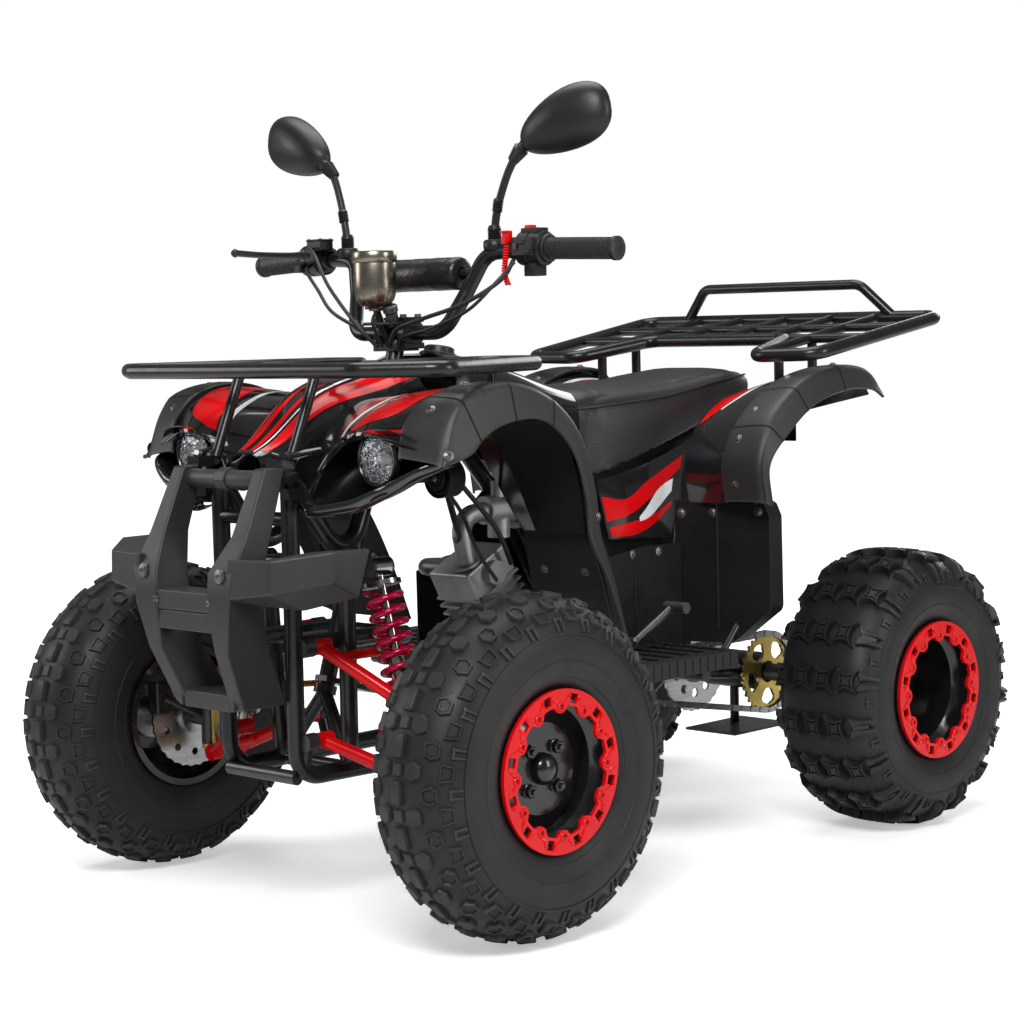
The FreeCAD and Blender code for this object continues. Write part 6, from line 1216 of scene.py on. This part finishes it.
def guard():
    """The moulded front guard with its two legs, wings, cross panels and top tube."""
    build, metal, tube = Build(), Build(), Build()
    legs = []
    for height, middle, front, width, depth in LEGS:
        left, right = middle + width / 2, middle - width / 2
        legs.append([guard_point(right, front, height), guard_point(left, front, height),
                     guard_point(left, front + depth, height), guard_point(right, front + depth, height)])
    build.loft(legs)
    build.loft([[guard_point(row[0], depth, height) for depth, height in row[1:]] for row in WINGS])
    build.both()
    for low, high, front, back, reach in CROSSES:
        centre = guard_point(0, (front + back) / 2, (low + high) / 2)
        build.box(centre, (reach * 2 * GUARD_HALF, (back - front) * GUARD_DEPTH, (high - low) * GUARD_HEIGHT))
    web = [guard_point(x, 0.035, h) for x, h in ((-0.24, 0.36), (-0.24, 0.44), (0.24, 0.44), (0.24, 0.36))]
    build.prism(web, (0, 14, 0))
    for x in (-0.2, 0.2):
        build.box(guard_point(x, 0.45, 0.07), (6, 60, 24))
    centre = guard_point(0, 0.60, 0.95)
    tube.turn([(-88, 0.1), (-88, 12.6), (-86, 13.6), (86, 13.6), (88, 12.6), (88, 0.1)], centre, ALONG_X, 32)
    clamp = Build()
    clamp.turn([(-11, 0.1), (-11, 17.5), (11, 17.5), (11, 0.1)], centre, ALONG_X, 8)
    for x, z in ((-85, 503), (85, 503)):
        screw(metal, (x, -719, z + 4), (0, -1, 0.1), 6.0)
    for x in (-60, 60):
        screw(metal, guard_point(x / GUARD_HALF, 0.015, 0.48), (0, -1, 0), 4.2)
    add_piece("guard_body", build, GREY, "matt_grey_plastic", replaces="bumper", bevel=3.2, segments=3)
    add_piece("guard_tube", tube, GREY, "matt_grey_plastic", smooth=40)
    add_piece("guard_clamp", clamp, GREY, "matt_grey_plastic", bevel=1.2)
    add_piece("guard_screws", metal, SCREW, "dark_steel", smooth=30)


TANK = [(0.0, 0.86, 1.0, 0.57), (0.18, 0.93, 0.995, 0.76), (0.5, 0.97, 0.97, 0.82), (0.8, 0.95, 0.94, 0.71),
        (1.0, 0.90, 0.925, 0.69)]
SEAT = [(0.0, 0.72, 0.970, 0.906), (0.12, 0.88, 0.974, 0.85), (0.30, 0.97, 0.974, 0.70), (0.50, 1.0, 0.980, 0.57),
        (0.72, 0.98, 0.993, 0.45), (0.90, 0.92, 1.0, 0.34), (1.0, 0.80, 0.987, 0.20)]
ARC = [(1.0, 1.0), (1.0, 0.40), (0.90, 0.14), (0.60, 0.02), (0.0, 0.0)]


def humped_rows(table, start, length, half, top, height):
    """Rows over a humped body from its left lower edge to its right one."""
    rows = []
    for along, width, high, depth in table:
        crest = top * high
        drop = depth * height
        line = [(out * half * width, start + along * length, crest - down * drop) for out, down in ARC]
        rows.append(line + [(-x, y, z) for x, y, z in line[-2::-1]])
    return rows


def tank():
    """The glossy cover ahead of the seat."""
    patch = Patch(humped_rows(TANK, -264.6, 262, 110, 800, 175), (0, -130, 600))
    build = Build()
    patch.shell(build, 50, 60, 3)
    add_piece("tank_skin", build, GLOSS, "gloss_black_plastic", replaces="tank_cover", smooth=55)
    cap = Build()
    at, up = patch.at(0.28, 0.5), patch.normal(0.28, 0.5)
    cap.turn([(-2, 30), (3, 30), (5, 27), (5, 24), (13, 23), (15, 20), (15, 0.1)], at, up, 40)
    add_piece("filler_cap", cap, MATT, "matt_black_plastic", smooth=35)


def seat():
    """The vinyl seat with its seam, blown up a little like foam under its cover."""
    rows = humped_rows(SEAT, SEAT_START, SEAT_LENGTH, SEAT_HALF, 758, 160)
    patch = Patch(rows, (0, 200, 600))
    build = Build()
    grid = patch.grid(np.linspace(0, 1, 44), np.linspace(0, 1, 48))
    build.loft(grid)
    piece = add_piece("seat_cushion", build, VINYL, "seat_vinyl", smooth=0)
    remesh = piece.modifiers.new("even", "REMESH")
    remesh.mode, remesh.voxel_size = "VOXEL", 0.006
    bake(piece)
    piece.modifiers.clear()
    shape_seat(piece)
    puff(piece, 0.006)
    finer = piece.modifiers.new("finer", "SUBSURF")
    finer.levels = finer.render_levels = 1
    for face in piece.data.polygons:
        face.use_smooth = True
    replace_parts(piece, "seat")
    piping = Build()
    piping.tube([patch.at(u, v) + patch.normal(u, v) * 1.6
                 for u, v in ((0.0, 0.20), (0.2, 0.195), (0.45, 0.19), (0.7, 0.185), (0.88, 0.19), (0.99, 0.25))],
                1.7, 8, steps=8)
    add_piece("seat_piping", piping.both(), VINYL, "seat_vinyl", smooth=60)


def bake(piece):
    """Applies a piece's modifiers to its own mesh."""
    bpy.context.view_layer.update()
    done = bpy.data.meshes.new_from_object(piece.evaluated_get(bpy.context.evaluated_depsgraph_get()))
    old = piece.data
    if not done.materials:
        done.materials.append(old.materials[0])
    piece.data = done
    bpy.data.meshes.remove(old)


def seam_depth(x, y, z):
    """How far the seat is drawn in near its sewn lines, in millimetres."""
    along = (y - SEAT_START) / SEAT_LENGTH
    edge = 0.78 - 0.10 * along
    across = abs(x) / SEAT_HALF
    depth = 2.4 * math.exp(-((across - edge) / 0.045) ** 2) * (z > 690)
    return depth + 2.6 * math.exp(-((along - 0.50 - 0.10 * across) / 0.016) ** 2) * (across < edge + 0.1)


def shape_seat(piece):
    """Draws the cover in along its seams."""
    piece.data.update()
    for vertex in piece.data.vertices:
        if vertex.normal.z > 0.2:
            vertex.co -= vertex.normal * seam_depth(*(vertex.co / MM)) * MM


def puff(piece, most):
    """Blows the cover up with a short cloth run, at most so far."""
    before = np.array([v.co[:] for v in piece.data.vertices])
    held = piece.vertex_groups.new(name="held")
    for vertex in piece.data.vertices:
        weight = 1.0 if vertex.normal.z < -0.3 else min(1.0, seam_depth(*(vertex.co / MM)) / 2.0) * 0.9
        if weight > 0.02:
            held.add([vertex.index], weight, "REPLACE")
    cloth = piece.modifiers.new("cloth", "CLOTH")
    for key, value in (("quality", 4), ("mass", 0.3), ("tension_stiffness", 25), ("compression_stiffness", 25),
                       ("use_pressure", True), ("uniform_pressure_force", 4), ("vertex_group_mass", "held")):
        setattr(cloth.settings, key, value)
    cloth.settings.effector_weights.gravity = 0
    cloth.collision_settings.use_self_collision = False
    cloth.point_cache.frame_end = CLOTH_FRAMES
    scene = bpy.context.scene
    for number in range(1, CLOTH_FRAMES + 1):
        scene.frame_set(number)
    blown = piece.evaluated_get(bpy.context.evaluated_depsgraph_get())
    move = np.array([v.co[:] for v in blown.data.vertices]) - before
    size = np.linalg.norm(move, axis=1, keepdims=True)
    move *= np.minimum(1, most / (size + 1e-9))
    piece.modifiers.remove(cloth)
    for vertex, place in zip(piece.data.vertices, before + move):
        vertex.co = place
    scene.frame_set(1)
    piece.data.update()


# Steering fittings

BAR = [(0, -290.4, 831), (97.9, -290.4, 831), (121, -262.9, 890.3), (144, -244.4, 945), (230.4, -240.4, 949.6),
       (384, -225.4, 943.9)]
GRIP_END = Vector(BAR[5])
GRIP_WAY = (Vector(BAR[4]) - GRIP_END).normalized()
BOX_INNER = GRIP_END + GRIP_WAY * 123.2
BOX_OUTER = BOX_INNER + GRIP_WAY * 46
CORD_ROUTE = [(0.20869, -0.26729, 0.95312), (0.20869, -0.26969, 0.93852), (0.20569, -0.26969, 0.92452),
              (0.20269, -0.26769, 0.91052), (0.20569, -0.26269, 0.89752)]
CORD_WIDTH = 0.0094


def route_line(points):
    """Points along the NURBS spline that has the given control points."""
    data = bpy.data.curves.new("route", "CURVE")
    data.dimensions = "3D"
    line = data.splines.new("NURBS")
    line.points.add(len(points) - 1)
    for point, place in zip(line.points, points):
        point.co = (*place, 1)
    line.order_u = 3
    line.use_endpoint_u = True
    line.resolution_u = 24
    mesh = curve_mesh("route", data)
    found = [v.co.copy() for v in mesh.vertices]
    bpy.data.meshes.remove(mesh)
    return found


def lanyard():
    """The curly safety lanyard under its clip."""
    line = route_line(CORD_ROUTE)
    wire = 1.7
    reach = CORD_WIDTH / MM / 2 - wire
    turns, steps = 15, 18
    places = [p / MM for p in line]
    lengths = path_lengths(places)
    helix = []
    for step in range(turns * steps + 1):
        share = step / (turns * steps)
        index = min(len(places) - 2, int(np.searchsorted(lengths, share * lengths[-1], side="right")) - 1)
        along = (places[max(1, index + 1)] - places[max(0, index)]).normalized()
        side = along.cross(Vector((0, 1, 0))).normalized()
        helix.append(Vector(along_path(lengths, places, share * lengths[-1]))
                     + swung(side, along.cross(side), 2 * math.pi * turns * share) * reach)
    build = Build()
    build.tube(helix, wire, 8, steps=1)
    piece = add_piece("lanyard", build, RED_PLASTIC, "red_plastic", body="steering", replaces="kill_cord",
                      smooth=70)
    [tuple(p) for p in line]


def kill_clip():
    """The red clip on the switch box."""
    build = Build()
    for place, size in (((0, 1.5, 13.9), (13, 10, 17)), ((0, -4, 8.9), (10, 6, 12)),
                        ((0, -2, 20.9), (13.6, 13, 3.4))):
        build.box(Vector(CORD_ROUTE[0]) / MM + Vector(place), size)
    add_piece("kill_clip_body", build, RED_PLASTIC, "red_plastic", body="steering", replaces="kill_clip",
              bevel=1.3, segments=3)


def grips():
    """Ribbed hand grips with flanges and end caps."""
    profile = [(-5.3, 0.1), (-5.3, 13), (-3.5, 17.4), (3, 17.4), (5, 15.6)]
    for rib in range(24):
        start = 7 + rib * 4.5
        profile += [(start, 14.9), (start + 0.8, 15.9), (start + 2.6, 15.9), (start + 3.4, 14.9)]
    profile += [(117, 15.6), (118, 20.4), (120, 21.2), (121.5, 21.0), (122, 19), (122, 11.6)]
    build = Build()
    build.turn(profile, GRIP_END, GRIP_WAY, 48)
    add_piece("grip_rubber", build.both(), CORE, "black_rubber", body="steering", replaces="grips", smooth=40)


def pad():
    """The foam roll on the cross brace."""
    centre = Vector((0, -253.65, 917.65))
    profile = [(-102.5, 9.5), (-102.5, 19), (-100, 23.4), (-95, 24.8)]
    profile += [(x, 24.6 + 0.35 * math.sin(x * 0.21) * math.cos(x * 0.07)) for x in range(-85, 86, 8)]
    profile += [(95, 24.8), (100, 23.4), (102.5, 19), (102.5, 9.5)]
    build = Build()
    build.turn(profile, centre, ALONG_X, 56)
    piece = add_piece("foam_roll", build, FOAM, "black_foam", body="steering", replaces="bar_pad", smooth=60)
    line = Build()
    line.box(centre + Vector((0, 24.4, -3)), (196, 1.2, 3.0))
    add_piece("foam_seam", line, JOINT_AND_SHADE_BLACK, "black_foam", body="steering", bevel=0.4)


def switch_profile(radius, length):
    """A moulded housing's profile with a parting groove."""
    return [(0, 12), (0, radius - 4), (2.5, radius - 0.5), (length * 0.46, radius), (length * 0.48, radius - 1.4),
            (length * 0.52, radius - 1.4), (length * 0.54, radius), (length - 3, radius - 0.5),
            (length, radius - 4), (length, 12)]


def controls():
    """Switch box, throttle box, brake lever and clamps."""
    build, mirrored, blocks, metal, bright, button, blade = (Build() for _ in range(7))
    for target in (build, mirrored):
        target.turn(switch_profile(25.5, 46), BOX_INNER, GRIP_WAY, 40)
        target.turn([(0, 11.6), (0, 16.4), (15, 16.4), (15, 11.6)], BOX_OUTER, GRIP_WAY, 28)
    middle = (BOX_INNER + BOX_OUTER) / 2
    base = Vector((-BOX_OUTER.x, BOX_OUTER.y, BOX_OUTER.z))
    other = Vector((-BOX_INNER.x, BOX_INNER.y, BOX_INNER.z))
    for target, start, away, size in (
            (blocks, middle, (0, 0, -27), (23, 25, 26)), (blocks, middle, (0, -20, 2), (40, 18, 26)),
            (blocks, middle, (0, 0, 25), (34, 24, 9)), (blocks, middle, (0, -26, 9), (14, 9, 8)),
            (blocks, middle, (12, -28, -5), (10, 6, 7)), (button, middle, (-8, 0, 31), (13, 13, 6)),
            (bright, middle, (-11, -30, 3), (6, 4, 10)), (blocks, base, (0, -20, 5.5), (23, 30, 21)),
            (blocks, base, (11.5, -22, 20), (34, 26, 15)), (blocks, base, (11.5, -22, 28.5), (36, 28, 3.4)),
            (blocks, other, (13, -25, -13), (14, 24, 12))):
        target.box(start + Vector(away), size)
    for x in (-2, 25):
        for y in (-32, -12):
            metal.turn([(0, 2.4), (1.4, 2.2), (1.6, 0.1)], base + Vector((x, y, 30)), ALONG_Z, 14)
    pivot = base + Vector((-15.3, -33, 5.5))
    lever_end = pivot + Vector((-132, -30, 9))
    metal.turn([(-9, 0.1), (-9, 5), (9, 5), (9, 0.1)], pivot, ALONG_Z, 20)
    blade.tube([base + Vector((0, -30, 5.5)), pivot, pivot + Vector((-25, -7, 1)), pivot + Vector((-78, -22, 4)),
                lever_end], [6.5, 7.2, 5.2, 5.0, 5.4], 16, steps=8)
    blade.turn([(-7, 0.5), (-5, 5), (0, 7.2), (5, 5), (7, 0.5)], lever_end, ALONG_X, 20)
    mirrored = mirrored.flip(-1)
    build.add(mirrored.points, mirrored.faces)
    for name, piece, made, options in (
            ("control_housings", build, MATT, {"smooth": 40, "replaces": "controls"}),
            ("control_blocks", blocks, MATT, {"bevel": 2.4, "segments": 3}),
            ("control_screws", metal, SCREW, {}), ("brake_lever", blade, SATIN, {"smooth": 60}),
            ("start_button", button, RED_PLASTIC, {"bevel": 1.6, "segments": 3}),
            ("light_switch", bright, DARK_STEEL, {"bevel": 1.2})):
        add_piece(name, piece, made, "matt_black_plastic", body="steering", **options)


def mirrors():
    """The two egg-shaped mirrors on their bent stems."""
    shell, glass, stem = Build(), Build(), Build()
    head = Vector((286, -217, 1133))
    tilt = Matrix.Rotation(math.radians(7), 3, "Z") @ Matrix.Rotation(math.radians(-11), 3, "Y")

    def ring(scale, y):
        points = []
        for step in range(44):
            angle = 2 * math.pi * step / 44
            out, up = math.cos(angle), math.copysign(abs(math.sin(angle)) ** 0.82, math.sin(angle))
            x = (2 + 80 * out) * scale
            z = (44 * (1 + 0.22 * out) * up - 15 * ((1 - out) / 2) ** 2) * scale
            points.append(tuple(head + tilt @ Vector((x, y, z))))
        return points

    rings = [ring(0.90, -0.4), ring(0.965, 0.0), ring(0.995, -2.5), ring(1.0, -5)]
    rings += [ring((1 - (s / 10) ** 2.3) ** 0.5, -5 - 35.5 * s / 10) for s in range(1, 10)]
    rings.append(ring(0.06, -40.6))
    shell.loft(rings)
    glass.loft([ring(0.90, -1.2), ring(0.90, 0.6)])
    foot = Vector((161.3, -243.6, 945.9))
    stem.tube([foot + Vector((0, 0, 27.5)), (166, -243.6, 1000), (173, -242, 1025), (187, -239, 1060),
               (202, -236, 1084), (220, -236, 1099), (250, -238, 1118)], [6, 6, 5.8, 5.8, 6.4, 9, 12], 18, steps=8)
    profile = [(4, 12), (4, 16), (7, 17), (16, 17), (19, 14), (19, 11)]
    profile += [(20 + 2.5 * i + d, 10.5 if d else 9.2) for i in range(6) for d in (0, 1.2)] + [(40, 8), (40, 5.9)]
    stem.turn(profile, foot, ALONG_Z, 28)
    neck = Vector((205, -236, 1087))
    ribs = [(-14 + 3.2 * i + d, (8.6 if d else 7.2) + i * 0.5) for i in range(8) for d in (0, 1.5)]
    stem.turn([(-15, 5)] + ribs + [(14, 5)], neck, (0.75, -0.02, 0.66), 22)
    elbow = [(-9 + 3 * i + d, 8.2 if d else 6.8) for i in range(6) for d in (0, 1.4)]
    stem.turn([(-10, 5)] + elbow + [(11, 5)], (169.5, -243.6, 1014), (0.2, 0, 1), 22)
    for name, build, made, node, smooth in (("mirror_shells", shell, MATT, "mirrors", 40),
                                            ("mirror_glass", glass, MIRROR, None, 40),
                                            ("mirror_stems", stem, MATT, None, 45)):
        add_piece(name, build.both(), made, "matt_black_plastic", body="steering", replaces=node, smooth=smooth)


def stem_clamp():
    """The clamp plates, bolts and key switch where the bar meets the stem."""
    blocks, bolts, key = Build(), Build(), Build()
    for x in (-27, 27):
        blocks.box((x, -291, 851), (17, 40, 8))
        blocks.box((x, -291, 812), (17, 40, 9))
        for y in (-306, -276):
            bolts.turn([(0, 5), (4.5, 5), (4.5, 3), (2.5, 2.8), (2.5, 0.1)], (x, y, 855), ALONG_Z, 6)
            bolts.turn([(-1, 6.4), (0.4, 6.4), (0.4, 4)], (x, y, 855), ALONG_Z, 18)
    blocks.box((0, -322, 846), (66, 24, 5))
    blocks.box((0, -311, 838), (40, 6, 22))
    key.turn([(-20, 9), (0, 9.5), (2, 11.5), (10, 11.5), (12, 9), (12, 0.1)], (20, -324, 862), (0.1, -0.35, 1), 28)
    add_piece("stem_clamp_blocks", blocks, MATT, "satin_black_metal", body="steering", bevel=1.5, segments=3)
    add_piece("stem_clamp_bolts", bolts, SCREW, "dark_steel", body="steering", smooth=30)
    add_piece("key_switch", key, DARK_STEEL, "dark_steel", body="steering", smooth=35)


def gauge():
    """The metal gauge cup with its bezel and dark glass."""
    base = Vector((0, -336.4, 872))
    cup, bezel, face = Build(), Build(), Build()
    for build, count, profile in (
            (cup, 56, [(0, 0.1), (0, 19), (2.5, 23), (9, 28), (18, 31), (30, 32), (64, 32), (66, 31.5), (66, 28)]),
            (cup, 20, [(-7, 7), (-7, 10), (0, 11)]),
            (bezel, 56, [(64, 31.8), (66, 33.8), (79, 33.9), (81.5, 32.5), (82, 30), (79, 28.5), (77, 28)]),
            (face, 40, [(76, 29), (77.5, 20), (78.5, 0.1)])):
        build.turn(profile, base, ALONG_Z, count)
    for name, build, made, node, smooth in (("gauge_cup", cup, CUP, "gauge", 45),
                                            ("gauge_bezel", bezel, CUP, None, 45),
                                            ("gauge_glass", face, GLOSS, None, 60)):
        add_piece(name, build, made, "shock_chrome", body="steering", replaces=node, smooth=smooth)


CABLE_ROUTES = [
    (3.2, [(206, -250, 935), (196, -268, 905), (150, -300, 872), (90, -325, 852), (35, -326, 838),
           (14, -324, 815)]),
    (2.8, [(-214, -268, 962), (-190, -300, 968), (-140, -330, 950), (-95, -345, 905), (-50, -336, 850),
           (-16, -326, 815)]),
    (2.8, [(-232, -262, 940), (-205, -292, 930), (-150, -318, 900), (-100, -335, 866), (-42, -332, 838),
           (-8, -327, 812)]),
    (2.4, [(6, -340, 866), (9, -352, 850), (8, -344, 832), (4, -328, 812)]),
    (2.6, [(218, -262, 930), (206, -290, 900), (170, -312, 862), (104, -322, 838), (40, -318, 826),
           (20, -318, 806)]),
]


def tubes(name, routes, body="chassis", replaces=None):
    """Rubber tubes along their routes."""
    build = Build()
    for radius, route in routes:
        build.tube(route, radius, 12, steps=8)
    add_piece(name, build, CORE, "black_rubber", body=body, replaces=replaces, smooth=60)


# Lamps, small fittings and chain

def horn_face():
    """The horn's ring and brass middle."""
    ring, middle = Build(), Build()
    for build, count, profile in (
            (ring, 48, [(-1, 30), (3, 30), (4.5, 28.5), (3.5, 26.5), (1.5, 25), (2.5, 22), (0.5, 19)]),
            (ring, 48, [(6.4, 17), (7.6, 15.5), (7.6, 12), (6.8, 11), (6.8, 8), (8.0, 6)]),
            (middle, 6, [(7, 5.6), (10.5, 5.0), (11.5, 3.4), (11.5, 0.1)])):
        build.turn(profile, (128, -337.6, 619), AHEAD, count)
    add_piece("horn_ring", ring, MATT, "satin_black_metal", smooth=40)
    add_piece("horn_middle", middle, BRASS, "satin_black_metal", smooth=30)


def spring_coils():
    """The two front coil springs and the rear one round their dampers."""
    for name, node, turns, top, low in (
            ("front_springs", "springs", 10, (128, -463.6, 500), (196, -463.6, 246)),
            ("rear_spring", None, 9, (0, 252.2, 601.1), (0, 347.3, 292.6))):
        build = Build()
        top, low = Vector(top), Vector(low)
        along = (low - top).normalized()
        side, other = square_to(along)
        start, end = top + along * SPRING_END, low - along * SPRING_END
        steps = turns * 24
        build.tube([start.lerp(end, step / steps) + swung(side, other, 2 * math.pi * turns * (step / steps)) * 24
                    for step in range(steps + 1)], 4.7, 12, steps=1)
        add_piece(name, build.both() if node else build, CRIMSON, "crimson_metal", replaces=node, smooth=60)


HOSE_ROUTES = [
    (4.0, [(40, -250, 640), (58, -235, 610), (66, -190, 560), (62, -150, 520), (58, -120, 470)]),
    (3.2, [(96, -310, 640), (98, -296, 600), (96, -262, 560), (90, -225, 500), (74, -170, 450)]),
    (5.0, [(60, -270, 640), (66, -262, 590), (60, -240, 540), (40, -215, 520), (24, -205, 512)]),
]


def tread_studs():
    """Small grip studs and side grooves on the foot rests."""
    build = Build()
    pitch = 215 / 6
    for bar in range(7):
        for step in range(8):
            at = (170 + step * 19.5, -108.6 + pitch * bar + (4 if bar == 0 else -4 if bar == 6 else 0), 329.6)
            build.turn([(0, 3.2), (1.6, 2.2), (1.6, 0.1)], at, ALONG_Z, 8)
    for step in range(1, 12):
        build.box((322.3, -108.6 + 215 / 12 * step, 317), (1.4, 3, 22))
    add_piece("tread_studs", build.both(), MATT, "matt_grey_plastic", smooth=30)


def lamps():
    """Faceted reflectors, bulbs, rims and clear glasses."""
    bowl, rim, bulb, clear = Build(), Build(), Build(), Build()
    for build, count, profile in (
            (bowl, 20, [(-29, 5), (-28, 10), (-24, 18), (-17, 25), (-8, 30.5), (-2, 33.5)]),
            (rim, 48, [(-3, 34), (1, 34.2), (3, 36), (3, 38.6), (0, 40.5), (-10, 41), (-12, 39.5)]),
            (rim, 48, [(-12, 39.4), (-44, 39.2), (-46, 36)]),
            (bulb, 24, [(-28, 7), (-20, 7), (-18, 5.6), (-9, 5.6), (-6, 3.5), (-5, 0.1)]),
            (clear, 40, [(-3, 33.8), (1.5, 33.4), (4, 27), (5.8, 16), (6.4, 0.1)])):
        build.turn(profile, (203, -527.6, 659), AHEAD, count)
    add_piece("lamp_glass", clear.both(), GLASS, "clear_lens", replaces="headlamp_lenses", smooth=60)
    add_piece("lamp_bowls", bowl.both(), REFLECTOR, "clear_lens", smooth=0)
    add_piece("lamp_bulbs", bulb.both(), BULB, "clear_lens", smooth=40)
    add_piece("lamp_rims", rim.both(), RIM_BLACK, "gloss_black_plastic", smooth=40)


def chain():
    """The drive chain, link by link round both sprockets."""
    rear, drive = Vector((CHAIN_X, REAR_Y, REAR_Z)), Vector((CHAIN_X, FRONT_Y + 540, 262))
    rear_r, drive_r = 66.8, 30.0
    gap = (rear - drive).length
    slope = (rear - drive).normalized()
    lean = math.acos((rear_r - drive_r) / gap)
    start = math.atan2(slope.z, slope.y)
    line = []

    def arc(centre, radius, first, last, count):
        for step in range(count):
            angle = first + (last - first) * step / count
            line.append(centre + Vector((0, radius * math.cos(angle), radius * math.sin(angle))))

    top, low = start + math.pi - lean, start - math.pi + lean
    arc(rear, rear_r, low, top, 60)
    arc(drive, drive_r, top, low + 2 * math.pi, 30)
    line.append(line[0])
    lengths = path_lengths(line)
    count = int(round(lengths[-1] / CHAIN_PITCH / 2)) * 2
    pins = [Vector(along_path(lengths, line, i / count * lengths[-1])) for i in range(count)]
    build = Build()
    for index, pin in enumerate(pins):
        after = pins[(index + 1) % count]
        way = (after - pin).normalized()
        up = Vector((0, -way.z, way.y))
        outline = [centre + swung(way, up, math.radians(first + step * 36)) * 5.0
                   for centre, first in ((after, -90), (pin, 90)) for step in range(6)]
        shift = 5.6 if index % 2 else 4.1
        for x in (shift, -shift - 1.4):
            build.prism([p + Vector((x, 0, 0)) for p in outline], (1.4, 0, 0))
        build.turn([(-7.2, 0.1), (-7.2, 2.0), (7.2, 2.0), (7.2, 0.1)], pin, ALONG_X, 10)
        build.turn([(-3.6, 2.0), (-3.6, 3.9), (3.6, 3.9), (3.6, 2.0)], pin, ALONG_X, 12)
    add_piece("chain_links", build, STEEL, "dark_steel", replaces="chain", smooth=35)


def close():
    """Brings the view layer up to date."""
    bpy.context.view_layer.update()


place_camera()
lanyard()
light_scene()
finish_nodes()
wheels()
front_body()
wheel_houses()
flares()
rear_body()
side_parts()
guard()
tank()
seat()
kill_clip()
grips()
pad()
controls()
mirrors()
stem_clamp()
gauge()
tubes("cable_runs", CABLE_ROUTES, "steering", "cables")
lamps()
horn_face()
spring_coils()
tubes("engine_hoses", HOSE_ROUTES)
tread_studs()
chain()
close()
